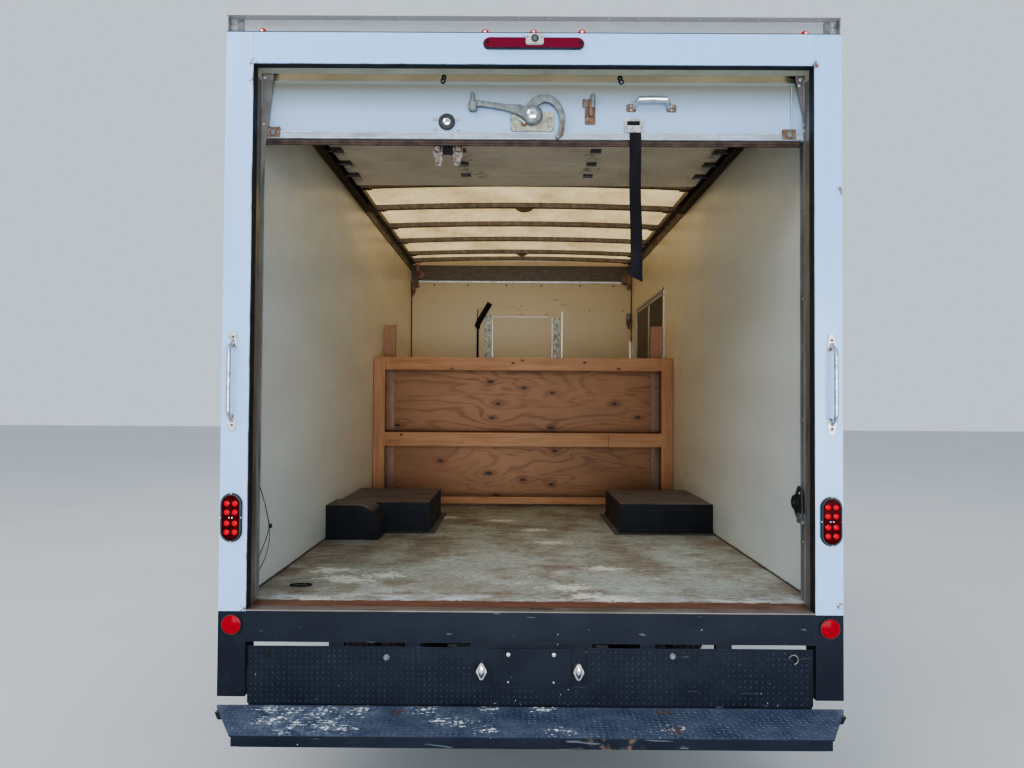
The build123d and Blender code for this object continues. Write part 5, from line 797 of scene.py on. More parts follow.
class Shapes:
    """Collects closed shapes, each with a look, and makes one piece of them.

    Its measures start at the place given.
    """

    def __init__(self, look, start=BOX):
        self.points, self.faces, self.picks, self.looks = [], [], [], []
        self.start = start
        self.use(look)

    def use(self, look):
        if look not in self.looks:
            self.looks.append(look)
        self.pick = self.looks.index(look)
        return self

    def add(self, points, faces):
        base = len(self.points)
        self.points += [tuple(value + start for value, start in zip(point, self.start)) for point in points]
        self.faces += [[base + index for index in face] for face in faces]
        self.picks += [self.pick] * len(faces)
        return self

    def block(self, x0, x1, y0, y1, z0, z1, chamfer=0.001):
        """A box with small bevelled edges."""
        low, high = zip(*[sorted(pair) for pair in ((x0, x1), (y0, y1), (z0, z1))])
        cut = min(chamfer, *[0.45 * (b - a) for a, b in zip(low, high)])
        index, points, faces = {}, [], []
        for corner, axis in itertools.product(CORNERS, range(3)):
            index[corner, axis] = len(points)
            cuts = [0 if other == axis else cut for other in range(3)]
            points.append([b - less if end else a + less for a, b, less, end in zip(low, high, cuts, corner)])
        for axis in range(3):
            a, b = [other for other in range(3) if other != axis]
            places = {(corner[axis], corner[a], corner[b]): corner for corner in CORNERS}
            for side in (0, 1):
                faces.append([index[places[side, s, t], axis] for s, t in ((0, 0), (1, 0), (1, 1), (0, 1))])
            for s, t in itertools.product((0, 1), repeat=2):
                near, far = places[0, s, t], places[1, s, t]
                faces.append([index[near, a], index[far, a], index[far, b], index[near, b]])
        faces += [[index[corner, axis] for axis in range(3)] for corner in CORNERS]
        return self.add(points, faces)

    def lathe(self, rows, centre, sides=20, axis=BACK, loop=False):
        """Rows of distance along the axis and radius, turned about it."""
        along = Vector(axis).normalized()
        side = Vector(RIGHT) if abs(along.x) < 0.9 else Vector(FRONT)
        side = (side - along * side.dot(along)).normalized()
        other = along.cross(side)
        centre = Vector(centre)
        rings, points, faces = [], [], []
        for distance, radius in rows:
            if radius <= 1e-6:
                rings.append([len(points)] * sides)
                points.append(centre + along * distance)
                continue
            rings.append(list(range(len(points), len(points) + sides)))
            points += [centre + along * distance + (side * a + other * b) * radius for a, b in circle(sides)]
        for first, second in zip(rings, rings[1:] + rings[:1] if loop else rings[1:]):
            for step in range(sides):
                after = (step + 1) % sides
                face = [first[step], first[after], second[after], second[step]]
                face = [value for spot, value in enumerate(face) if value not in face[:spot]]
                if len(face) > 2:
                    faces.append(face)
        if not loop:
            faces += [list(ring) for ring in (rings[0], rings[-1]) if len(set(ring)) > 1]
        return self.add(points, faces)

    def rivets(self, places, radius, height, axis=BACK, sides=10):
        rows = [(-0.001, radius), (0.15 * height, radius), (0.7 * height, 0.75 * radius), (height, 0.3 * radius),
                (1.05 * height, 0)]
        for place in places:
            self.lathe(rows, place, sides, axis)
        return self

    def bolts(self, places, radius, height=0.004, axis=BACK):
        """Hexagon heads on washers."""
        for place in places:
            washer = [(-0.001, 1.35 * radius), (0.0016, 1.35 * radius), (0.002, 1.25 * radius)]
            self.lathe(washer, place, 18, axis)
            self.lathe([(0.0, radius), (0.8 * height, radius), (height, 0.82 * radius)], place, 6, axis)
        return self

    def tube(self, points, radius, sides=12, flat=1.0):
        """A closed bar along a line of points."""
        points = [Vector(point) for point in points]
        rows, normal = [], None
        for index, point in enumerate(points):
            before, after = points[max(index - 1, 0)], points[min(index + 1, len(points) - 1)]
            along = (after - before).normalized()
            if normal is None:
                normal = along.orthogonal().normalized()
            normal = (normal - along * normal.dot(along)).normalized()
            other = along.cross(normal)
            rows.append([point + (normal * a + other * b * flat) * radius for a, b in circle(sides)])
        return self.grid(rows)

    def plate(self, outline, low, high, bevel=0.0, axis=1):
        """A flat outline carried along an axis: its points are the other two values in order."""
        steps = [(low, 0.0), (high, 0.0)]
        if bevel:
            steps = [(low, bevel), (low + bevel, 0.0), (high - bevel, 0.0), (high, bevel)]
        middle = [sum(point[index] for point in outline) / len(outline) for index in (0, 1)]
        rows = []
        for value, inset in steps:
            inner = []
            for a, b in outline:
                reach = math.hypot(a - middle[0], b - middle[1]) or 1.0
                share = max(0.0, 1.0 - inset / reach)
                inner.append((middle[0] + (a - middle[0]) * share, middle[1] + (b - middle[1]) * share))
            rows.append(lifted(inner, axis, value))
        return self.grid(rows)

    def panel(self, x0, x1, y0, y1, z0, z1, radius, bevel=0.001):
        """A plate with round corners that faces back."""
        return self.plate(rounded((x0, z0), (x1, z1), radius), y0, y1, bevel)

    def frame(self, axis, *steps):
        """A ring through flat outlines, each at its own value on the axis."""
        rows = [lifted(outline, axis, value) for outline, value in steps]
        return self.grid(rows + rows[:1], closed=False)

    def grid(self, rows, closed=True):
        """A skin through rows of points, closed round each row and capped."""
        width = len(rows[0])
        points = [point for row in rows for point in row]
        faces = bands(len(rows) - 1, width)
        if closed:
            faces += [list(range(width))[::-1], list(range(len(points) - width, len(points)))]
        return self.add(points, faces)

    def piece(self, name, body="root", slot=None, replaces=(), smooth=38):
        mesh = bpy.data.meshes.new(name)
        mesh.from_pydata(self.points, [], self.faces)
        for look in self.looks:
            mesh.materials.append(LOOKS[look].material)
        mesh.polygons.foreach_set("material_index", self.picks)
        tidy = bmesh.new()
        tidy.from_mesh(mesh)
        bmesh.ops.recalc_face_normals(tidy, faces=tidy.faces)
        tidy.to_mesh(mesh)
        tidy.free()
        mesh.polygons.foreach_set("use_smooth", [True] * len(mesh.polygons))
        mesh.set_sharp_from_angle(angle=math.radians(smooth))
        obj = bpy.data.objects.new(name, mesh)
        bpy.context.collection.objects.link(obj)
        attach(obj, body)
        if replaces:
            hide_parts(*replaces)
        return obj


# The pull strap, a ribbon along the line of the CAD's route
STRAP_POINTS = [(0.420, 0.107, 1.921), (0.421, 0.103, 1.850), (0.419, 0.109, 1.690), (0.426, 0.102, 1.500),
                (0.427, 0.106, 1.321)]
STRAP_WIDTH = 0.050
STRAP_THICK = 0.003
STRAP_STEPS = 12


def strap_line():
    curve = bpy.data.curves.new("strap_line", "CURVE")
    curve.dimensions = "3D"
    curve.resolution_u = 12
    spline = curve.splines.new("NURBS")
    spline.points.add(len(STRAP_POINTS) - 1)
    for point, (x, y, z) in zip(spline.points, STRAP_POINTS):
        point.co = (x, rear(y), up(z), 1.0)
    spline.order_u = 3
    spline.use_endpoint_u = True
    holder = bpy.data.objects.new("strap_line", curve)
    bpy.context.collection.objects.link(holder)
    bpy.context.view_layer.update()
    mesh = bpy.data.meshes.new_from_object(holder)
    line = [vertex.co.copy() for vertex in mesh.vertices]
    bpy.data.objects.remove(holder)
    return line


def make_strap():
    """The webbing: cupped, a little twisted, folded once near the buckle and cut on a slant."""
    line = strap_line()
    fine = [before.lerp(after, share / 3) for before, after in zip(line, line[1:]) for share in range(3)]
    fine.append(line[-1])
    total = sum((b - a).length for a, b in zip(fine, fine[1:]))
    rows, run = [], 0.0
    for index, point in enumerate(fine):
        before, after = fine[max(index - 1, 0)], fine[min(index + 1, len(fine) - 1)]
        along = (after - before).normalized()
        run += (point - before).length
        out = Vector(RIGHT).cross(along).normalized()
        twist = 0.10 * math.sin(run * 9.0) * min(1.0, run / 0.1)
        side = Vector((math.cos(twist), math.sin(twist), 0))
        fold = 1.6 if abs(run - 0.125) < 0.007 else 1.0
        slant = 0.012 * max(0.0, (run - total + 0.03) / 0.03)
        front, back = [], []
        for step in range(STRAP_STEPS + 1):
            share = -1 + 2 * step / STRAP_STEPS
            cup = 0.0016 * (1 - share * share) * math.sin(4 + run * 7)
            edge = STRAP_THICK / 2 * fold * (1.0 if abs(share) < 0.98 else 0.55)
            base = point + side * share * (STRAP_WIDTH / 2 - 0.001) + out * cup + along * slant * share
            front.append(base + out * edge)
            back.append(base - out * edge)
        rows.append(front + back[::-1])
    strap = Shapes("strap", WORLD).grid(rows).piece("pull_strap_webbing", slot="strap_webbing",
                                                    replaces=["pull_strap"])


make_strap()


# Rear end: seals, plates, lamps and handles
def rear_seals():
    """The thin black seal round the doorway, the grey flags at its top corners and the line below the cap."""
    shapes = Shapes("seal")
    for sign in SIGNS:
        shapes.block(sign * OPEN_HALF, sign * (OPEN_HALF - 0.003), 0.003, 0.048, 0.0, OPEN_TOP)
    shapes.block(-OPEN_HALF, OPEN_HALF, 0.003, 0.036, OPEN_TOP - 0.004, OPEN_TOP)
    shapes.use("dark").block(-HALF + 0.002, HALF - 0.002, -0.0008, 0.002, 2.2785, 2.2815, 0.0005)
    shapes.use("jamb")
    left = [(-1.1115, 1.60), (-1.1115, 2.153), (-1.062, 2.153), (-1.081, 1.931), (-1.090, 1.877), (-1.101, 1.744)]
    right = [(1.1115, 1.80), (1.1115, 2.153), (1.073, 2.153), (1.102, 1.987)]
    for outline in (left, right):
        shapes.plate(outline, 0.103, 0.106)
    shapes.use("alloy").block(1.056, 1.061, 0.107, 0.115, 1.895, 2.117)
    spots = ((1.094, 2.142), (1.090, 2.118), (1.106, 1.955), (1.1075, 1.930), (-1.100, 2.140), (-1.103, 1.95))
    shapes.use("zinc").bolts([(x, 0.103, z) for x, z in spots], 0.0052)
    shapes.piece("doorway_seals", slot="flap_rubber")


def cap_rivets():
    shapes = Shapes("alloy")
    for index in range(20):
        x = -1.14 + index * 0.12
        shapes.rivets([(x, 0.022, CAP_TOP)], 0.0065, 0.0035, UP)
        shapes.rivets([(x, 0.020, CAP_TOP - 0.004)], 0.004, 0.0025, DOWN)
    for sign in SIGNS:
        shapes.rivets([(sign * (HALF - 0.020), 0.040, height) for height in (2.300, 2.318, 2.334)], 0.005, 0.003)
        shapes.use("cast").block(sign * 1.163, sign * 1.188, 0.034, 0.0402, 2.284, 2.346).use("alloy")
    shapes.piece("cap_rivets", slot="zinc_steel")


def frame_seams():
    """The weld seams and end plates of the rear frame's outer edges."""
    shapes = Shapes("rear_white")
    for sign in SIGNS:
        shapes.block(sign * (HALF - 0.001), sign * (HALF + 0.0025), 0.006, 0.070, 2.02, 2.275)
        seam = [(sign * 1.1125, -0.0002, z) for z in (OPEN_TOP + 0.002, FRAME_TOP - 0.002)]
        shapes.tube(seam, 0.0011, 6)
    shapes.piece("frame_seams", slot="body_white")


LUG_LONG, LUG_WIDE, LUG_TALL = 0.0098, 0.0036, 0.0020
LUG_PITCH = 0.022


def lug(shapes, centre, normal, turn):
    """One raised lug of checker plate."""
    centre, normal, side = Vector(centre), Vector(normal), Vector(RIGHT)
    a = side * math.cos(turn) + normal.cross(side) * math.sin(turn)
    b = normal.cross(a)
    base = [centre + a * LUG_LONG, centre + b * LUG_WIDE, centre - a * LUG_LONG, centre - b * LUG_WIDE]
    top = [centre + (point - centre) * share + normal * LUG_TALL for point, share in zip(base, (0.55, 0.45) * 2)]
    under = [point - normal * 0.001 for point in base]
    shapes.add(under + base + top, [[0, 3, 2, 1], [8, 9, 10, 11]] + bands(2, 4))


def checker_plates():
    """The lugs of the kick plate, clear of the plate holder and the holes, and those of the step."""
    kick, step = Shapes("kick_lug_highlit"), Shapes("worn_highlit_lug")
    holes = [(1.039, -0.179, 0.016), (-1.029, -0.178, 0.016), (-0.562, -0.186, 0.013), (0.558, -0.174, 0.013)]
    for row, column in itertools.product(range(10), range(100)):
        x, z = -1.095 + column * LUG_PITCH, -0.160 - row * LUG_PITCH
        behind_holder = -0.225 < x < 0.232 and z > -0.307
        if not (behind_holder or z < -0.360 or any(math.hypot(x - a, z - b) < c for a, b, c in holes)):
            lug(kick, (x, 0.014, z), BACK, math.pi / 4 if (row + column) % 2 else -math.pi / 4)
    kick.piece("kick_plate_lugs", slot="step_black", smooth=20)
    for row, column in itertools.product(range(12), range(109)):
        x, y = -1.1925 + column * LUG_PITCH, -0.006 - row * LUG_PITCH
        if abs(x) < HALF - 0.012 - (HALF - 1.072) * -y / STEP_DEPTH:
            lug(step, (x, y, STEP_Z), UP, math.pi / 4 if (row + column) % 2 else -math.pi / 4)
    step.piece("step_lugs", slot="step_black", smooth=20)


def rear_bolts():
    """Bolts, holes shown as black discs of painted shade, a hook and the plate holder on the kick plate, and the step's
    gussets.
    """
    shapes = Shapes("cast").bolts([(-0.562, 0.014, -0.186), (0.558, 0.014, -0.174)], 0.009, 0.007)
    for x in (-0.085, 0.093):
        shapes.use("zinc").bolts([(x, 0.013, -0.172)], 0.0062).rivets([(x, 0.0138, -0.279)], 0.005, 0.003)
    # Painted shade: the two holes are black discs on the plate's face.
    for x, z in ((1.039, -0.179), (-1.029, -0.178)):
        shapes.use("dark").lathe([(-0.001, 0.0115), (0.0004, 0.0115), (0.0006, 0.01035)], (x, 0.014, z))
    hook = []
    for step in range(10):
        angle = step / 9 * 4.2 - 1.4
        hook.append((1.028 + 0.018 * math.cos(angle), 0.010, -0.182 + 0.018 * math.sin(angle)))
    shapes.use("cast").tube(hook, 0.003, 8)
    shapes.use("navy").panel(-0.152, 0.160, 0.0165, 0.0195, -0.302, -0.150, 0.006)
    shapes.block(-0.152, 0.160, 0.0135, 0.017, -0.302, -0.297)
    shapes.block(-0.152, 0.160, 0.0135, 0.017, -0.154, -0.149)
    gusset = [(0.008, -0.379), (0.008, -0.418), (-0.020, -0.418), (-0.050, -0.379)]
    for sign in SIGNS:
        shapes.plate(gusset, sign * 1.200 - 0.008, sign * 1.200 + 0.008, axis=0)
        shapes.block(sign * 1.036, sign * 1.068, -0.2645, -0.2590, -0.412, -0.3790)
    shapes.block(-1.104, 1.104, 0.0205, 0.0260, -0.3950, -0.330)
    shapes.piece("rear_bolts", slot="step_black")


def tail_lamps():
    """Oval tail lamps with eight lamps each, round reflectors, and the stop lamp with its camera."""
    shapes = Shapes("plastic")
    middle = 0.358
    screws = ((0, 0.0935, 0.0032), (0, -0.0935, 0.0032), (-0.040, 0, 0.0032), (0.040, 0, 0.0032),
              (-0.006, 0, 0.004), (0.006, 0, 0.004))
    for sign in SIGNS:
        x = sign * 1.171
        shapes.use("plastic").plate(oval(x, middle, 0.043, 0.096, 40), -0.010, 0.0, 0.003)
        rim_out, rim_in = oval(x, middle, 0.0395, 0.0925, 40), oval(x, middle, 0.0345, 0.0875, 40)
        shapes.frame(1, (rim_out, -0.009), (rim_out, -0.0135), (rim_in, -0.0135), (rim_in, -0.009))
        shapes.use("red").plate(oval(x, middle, 0.0340, 0.0870, 40), -0.0125, -0.009, 0.002)
        for column, row in itertools.product((-1, 1), (-1.62, -0.62, 0.62, 1.62)):
            spot = (x + column * 0.0155, -0.0120, middle + row * 0.0345)
            shapes.use("led").lathe([(-0.002, 0.0115), (0.0014, 0.0112), (0.0032, 0.0075), (0.0038, 0.0)], spot, 18)
            shapes.use("red").lathe([(-0.002, 0.0145), (0.0009, 0.0145), (0.0012, 0.0118)], spot, 18)
        for a, b, radius in screws:
            shapes.use("chrome").rivets([(x + a, -0.012, middle + b)], radius, 0.0028)
        spot = (sign * 1.165, 0, -0.057)
        shapes.use("plastic").lathe([(-0.001, 0.040), (0.006, 0.040), (0.008, 0.0385), (0.008, 0.037)], spot, 36)
        shapes.use("disc").lathe([(0.002, 0.0372), (0.0078, 0.0372), (0.0095, 0.034), (0.0102, 0.0)], spot, 36)
    shapes.use("plastic").plate(oval(0, 2.233, 0.200, 0.022, 32), -0.012, 0.0, 0.002)
    shapes.use("maroon").plate(oval(0, 2.233, 0.197, 0.0195, 32), -0.022, -0.010, 0.005)
    shapes.use("dark").rivets([(sign * 0.183, -0.0215, 2.233) for sign in SIGNS], 0.007, 0.004)
    shapes.use("grey").panel(-0.032, 0.039, -0.034, -0.018, 2.220, 2.264, 0.010, 0.004)
    spot = (0.004, -0.034, 2.242)
    shapes.use("plastic").lathe([(-0.002, 0.0150), (0.004, 0.0150), (0.005, 0.012), (0.003, 0.009)], spot, 28)
    shapes.use("glass").lathe([(-0.001, 0.0092), (0.003, 0.0085), (0.0045, 0.0)], spot, 24)
    shapes.use("dark").rivets([(-0.024, -0.034, 2.248), (0.031, -0.034, 2.248)], 0.003, 0.001)
    shapes.piece("rear_lamp_set", slot="red_lens", replaces=["rear_lamps"])


def marker_set():
    """Small domed lamps with a bright core on a grey ring."""
    shapes = Shapes("disc")

    def lamp(centre, axis, radius, base, dome):
        shapes.use(base).lathe([(-0.001, radius), (0.004, radius), (0.005, 0.9 * radius)], centre, 24, axis)
        rows = [(0.002, 0.93 * radius), (0.009, 0.86 * radius), (0.014, 0.5 * radius), (0.0155, 0.0)]
        shapes.use(dome).lathe(rows, centre, 24, axis)
        shapes.use("clear").lathe([(0.012, 0.36 * radius), (0.0152, 0.34 * radius), (0.0165, 0.0)], centre, 16, axis)

    for x in (-1.088, -0.194, 0.0, 0.194, 1.088):
        lamp((x, 0.040, 2.297), BACK, 0.0145, "disc", "led")
        lamp((x, BOX_LENGTH, 2.252), FRONT, 0.025, "clear", "amber")
    for sign in SIGNS:
        lamp((sign * WALL_OUT, 0.300, 0.130), (sign, 0, 0), 0.025, "disc", "led")
        lamp((sign * WALL_OUT, 2.700, 0.130), (sign, 0, 0), 0.025, "clear", "amber")
        lamp((sign * WALL_OUT, 5.000, 0.130), (sign, 0, 0), 0.025, "clear", "amber")
    shapes.piece("marker_lamp_set", slot="red_lens", replaces=["marker_lamps"])


def licence_details():
    shapes = Shapes("chrome")
    for sign in SIGNS:
        x, y, z = sign * 0.189, -0.010, -0.231
        rows = []
        for level in range(1, 12):
            polar = math.pi * level / 12
            wide, deep, tall = 0.0125 * math.sin(polar) ** 1.4, 0.007 * math.sin(polar), 0.026 * math.cos(polar)
            rows.append([(x + wide * a, y - deep * b, z - tall) for a, b in circle(16)])
        shapes.use("chrome").grid(rows)
        shapes.use("zinc").rivets([(x, y, z - 0.029), (x, y, z + 0.029)], 0.003, 0.002)
    shapes.piece("licence_lamp_lenses", slot="chrome")


def handle_screws():
    shapes = Shapes("rust")
    for sign in SIGNS:
        shapes.rivets([(sign * 1.175, -0.005, height) for height in (0.719, 0.753, 1.032, 1.066)], 0.0055, 0.003)
    for sign, height in itertools.product(SIGNS, (0.705, 1.079)):
        shapes.use("worn_chrome").plate(oval(sign * 1.175, height, 0.0145, 0.010, 20), -0.004, 0.0, 0.001)
    shapes.piece("handle_screws", slot="zinc_steel")


rear_seals()
cap_rivets()
frame_seams()
checker_plates()
rear_bolts()
tail_lamps()
marker_set()
licence_details()
handle_screws()


# The stored door's fittings
HINGES = [0.351 + index * 0.240 for index in range(1, 7)]


def add_latch(shapes):
    """Latch plate, hub, lever and hook, measured from the door's face."""
    shapes.use("yellow_zinc").panel(-0.091, 0.089, -0.006, 0.0, 1.925, 2.006, 0.012, 0.0015)
    rivets = ((-0.078, 1.937), (-0.078, 1.973), (0.076, 1.937), (0.070, 1.973))
    shapes.use("zinc").rivets([(x, -0.006, z) for x, z in rivets], 0.0075, 0.004)
    hub = (-0.002, -0.006, 1.990)
    shapes.use("cast").lathe([(-0.002, 0.044), (0.014, 0.042), (0.022, 0.036), (0.026, 0.024)], hub, 40)
    shapes.use("chrome").lathe([(0.020, 0.021), (0.028, 0.020), (0.031, 0.012), (0.031, 0.0)], hub, 30)
    shapes.use("dark").lathe([(0.0295, 0.0032), (0.0316, 0.0028), (0.0317, 0.0)], hub, 10)
    y = -0.018
    arm = [(-0.020, 1.996, 0.026), (-0.060, 2.010, 0.020), (-0.110, 2.018, 0.013), (-0.160, 2.026, 0.0115),
           (-0.205, 2.032, 0.0115), (-0.238, 2.035, 0.013)]
    rows = []
    for x, z, half in arm:
        rows.append([(x + 0.22 * a, y + b, z + a) for a, b in rounded((-half, -0.008), (half, 0.008), 0.005, 3)])
    shapes.use("cast").grid(rows)
    shapes.block(-0.262, -0.226, y - 0.012, y + 0.010, 2.000, 2.046, 0.007)
    pin = [(-0.002, 0.0085), (0.018, 0.0080), (0.034, 0.0065), (0.038, 0.003), (0.038, 0.0)]
    shapes.lathe(pin, (-0.246, y, 2.044), 16, UP)
    rows = []
    for index in range(25):
        share = index / 24
        angle = math.radians(152 - 200 * share)
        out_x, out_z = math.cos(angle), math.sin(angle)
        half = 0.0195 * (1 - 0.62 * share) + 0.001
        outline = rounded((-half, -0.0075), (half, 0.0075), min(0.005, half * 0.6), 3)
        rows.append([(0.050 + out_x * (0.071 + a), y + b, 1.962 + out_z * (0.094 + a)) for a, b in outline])
    shapes.grid(rows)
    end = ((0.118, 1.965), (0.121, 1.935), (0.118, 1.912), (0.110, 1.902))
    shapes.use("rust").tube([(x, y - 0.001, z) for x, z in end], 0.0085, 10)
    shapes.lathe([(-0.004, 0.014), (0.004, 0.013), (0.006, 0.0)], (-0.035, -0.006, 1.957), 16)
    shapes.use("zinc").tube([(-0.055, -0.010, 1.975), (-0.030, -0.013, 1.955)], 0.007, 10)


def add_handle(shapes):
    """Rusty catch bracket, the pull handle on two feet and the strap's buckle, measured from the door's face."""
    shapes.use("rust").panel(0.214, 0.257, -0.005, 0.0, 1.955, 2.055, 0.005)
    shapes.panel(0.204, 0.224, -0.0055, 0.0, 2.024, 2.060, 0.004)
    shapes.block(0.228, 0.246, -0.022, -0.004, 1.985, 2.040, 0.004)
    pin = [(-0.030, 0.009), (0.022, 0.009), (0.028, 0.006), (0.029, 0.0)]
    shapes.use("cast").lathe(pin, (0.246, -0.018, 2.048), 16, UP)
    shapes.use("rust").rivets([(0.232, -0.005, 1.965), (0.232, -0.005, 2.056)], 0.006, 0.003)
    for x in (0.404, 0.569):
        shapes.use("rust").panel(x - 0.020, x + 0.020, -0.004, 0.0, 2.008, 2.040, 0.006)
        shapes.use("worn_chrome").rivets([(x, -0.004, 2.016), (x, -0.004, 2.032)], 0.0055, 0.003)
    bow = [(0.416, 0.004, 2.026), (0.419, 0.018, 2.030), (0.423, 0.032, 2.038), (0.432, 0.041, 2.045),
           (0.486, 0.042, 2.047), (0.541, 0.041, 2.045), (0.550, 0.032, 2.038), (0.554, 0.018, 2.030),
           (0.557, 0.004, 2.026)]
    shapes.use("worn_chrome").tube([(x, -out, z) for x, out, z in bow], 0.0085, 14)
    shapes.use("chrome").tube([(0.429, -0.041, 2.045), (0.486, -0.042, 2.047), (0.544, -0.041, 2.045)], 0.0125, 16)
    shapes.use("worn_chrome").panel(0.376, 0.450, -0.006, 0.0, 1.945, 1.979, 0.006)
    outer = rounded((0.376, 1.9215), (0.450, 1.980), 0.007)
    inner = rounded((0.386, 1.950), (0.440, 1.970), 0.003)
    shapes.frame(1, (outer, -0.010), (outer, -0.006), (inner, -0.006), (inner, -0.010))
    shapes.use("dark").block(0.387, 0.439, -0.0075, -0.006, 1.951, 1.969, 0.0005)
    shapes.use("zinc").rivets([(0.386, -0.010, 1.932), (0.440, -0.010, 1.932)], 0.004, 0.002)


def add_hinges(shapes, place):
    """One row of hinges: at both ends with a stem and roller, and a pair across the panels."""
    shapes.start = (0.0, REAR_Y + place, DECK + STORED_Z)
    for sign in SIGNS:
        shapes.use("rust")
        for offset in (-0.026, 0.026):
            shapes.block(sign * 1.050, sign * 1.112, offset - 0.018, offset + 0.018, -0.0035, 0, 0.0008)
            shapes.rivets([(sign * x, offset, -0.0035) for x in (1.062, 1.098)], 0.006, 0.003, DOWN, 8)
        shapes.use("cast").tube([(sign * 1.050, 0, -0.008), (sign * 1.112, 0, -0.008)], 0.0075, 10)
        shapes.use("zinc").tube([(sign * 1.060, 0, -0.010), (sign * 1.150, 0, -0.010)], 0.0045, 10)
        roller = [(-0.010, 0.012), (-0.010, 0.0195), (-0.006, 0.0205), (0.006, 0.0205), (0.010, 0.0195),
                  (0.010, 0.012)]
        shapes.use("plastic").lathe(roller, (sign * 1.142, 0, -0.010), 24, RIGHT)
    for x in (-0.381, 0.384):
        for offset in (-0.022, 0.022):
            shapes.use("cast").block(x - 0.030, x + 0.030, offset - 0.015, offset + 0.015, -0.003, 0, 0.0008)
            screws = [(x - 0.018, offset, -0.003), (x + 0.018, offset, -0.003)]
            shapes.use("rust").rivets(screws, 0.0065, 0.004, DOWN, 8)
        shapes.use("cast").tube([(x - 0.030, 0, -0.006), (x + 0.030, 0, -0.006)], 0.007, 10)


def door_set():
    """Lock, latch, handle, buckle, corner brackets, hinges and rollers of the stored door."""
    shapes = Shapes("plastic", (0.0, REAR_Y + DOOR_FACE, DECK))
    lock = (-0.352, 0, 1.963)
    shapes.lathe([(-0.001, 0.034), (0.007, 0.034), (0.011, 0.029), (0.011, 0.020), (0.005, 0.018)], lock, 40)
    shapes.use("chrome").lathe([(0.003, 0.0165), (0.012, 0.0165), (0.0145, 0.013), (0.015, 0.0)], lock, 30)
    shapes.use("dark").block(-0.3535, -0.3505, -0.0158, -0.014, 1.957, 1.969, 0.0004)
    for x in (-0.402, -0.303):
        shapes.use("chrome").plate(oval(x, 1.973, 0.0105, 0.008, 20), -0.005, 0, 0.002)
    rivets = ((-0.400, 1.928), (-0.405, 1.912), (-0.305, 1.924), (-0.352, 1.906))
    shapes.use("zinc").rivets([(x, -0.0005, z) for x, z in rivets], 0.0085, 0.004)
    add_latch(shapes)
    add_handle(shapes)
    for x in (-1.062, 1.049):
        shapes.use("rust").panel(x - 0.028, x + 0.028, -0.010, -0.0005, 1.893, 1.938, 0.004)
        shapes.use("cast").block(x - 0.010, x + 0.010, -0.016, -0.009, 1.902, 1.926, 0.003)
        rivets = ((-0.019, 1.902), (0.019, 1.930), (-0.019, 1.930))
        shapes.use("rust").rivets([(x + a, -0.010, z) for a, z in rivets], 0.0045, 0.003)
    shapes.use("zinc").rivets([(x, -0.006, 1.906) for x in (-0.80, -0.33, 0.76)], 0.0065, 0.003)
    shapes.use("alloy").block(-1.100, 1.100, -0.010, -0.006, 1.8915, 1.896)
    shapes.block(-1.100, 1.100, -0.008, -0.006, 1.915, 1.9195, 0.0008)
    for place in HINGES:
        add_hinges(shapes, place)
    shapes.piece("door_hardware", slot="zinc_steel", replaces=["door_fittings"])


def door_trim():
    """The seal under the door's edge, fasteners in its panels, and the keeper below it."""
    shapes = Shapes("brown_seal").block(-1.103, 1.098, 0.113, 0.135, 1.874, 1.8912, 0.004)
    shapes.tube([(-1.103, 0.118, 1.872), (0.0, 0.118, 1.871), (1.098, 0.118, 1.872)], 0.0055, 10)
    slanted = (0, -0.8, -0.6)
    for x, (z, y) in itertools.product((-0.370, 0.364), ((2.168, 0.1625), (2.135, 0.1205))):
        shapes.use("dark").rivets([(x, y - 0.002, z)], 0.011, 0.006, slanted)
        shapes.use("cast").rivets([(x, y - 0.006, z - 0.003)], 0.006, 0.004, slanted)
    keeper = [(-0.408, 1.885), (-0.290, 1.885), (-0.287, 1.845), (-0.296, 1.812), (-0.300, 1.790), (-0.320, 1.788),
              (-0.326, 1.806), (-0.326, 1.838), (-0.372, 1.838), (-0.372, 1.806), (-0.378, 1.788), (-0.398, 1.790),
              (-0.402, 1.812), (-0.411, 1.845)]
    shapes.use("keeper").plate(keeper, 0.138, 0.146)
    shapes.use("dark").block(-0.370, -0.328, 0.134, 0.139, 1.836, 1.872, 0.002)
    for x in (-0.392, -0.306):
        shapes.use("keeper").block(x - 0.014, x + 0.014, 0.126, 0.139, 1.846, 1.872, 0.005)
        shapes.use("rust").rivets([(x, 0.138, 1.800)], 0.007, 0.004)
    shapes.use("keeper").block(-0.408, -0.290, 0.136, 0.148, 1.872, 1.892, 0.002)
    shapes.piece("door_trim", slot="door_panel")


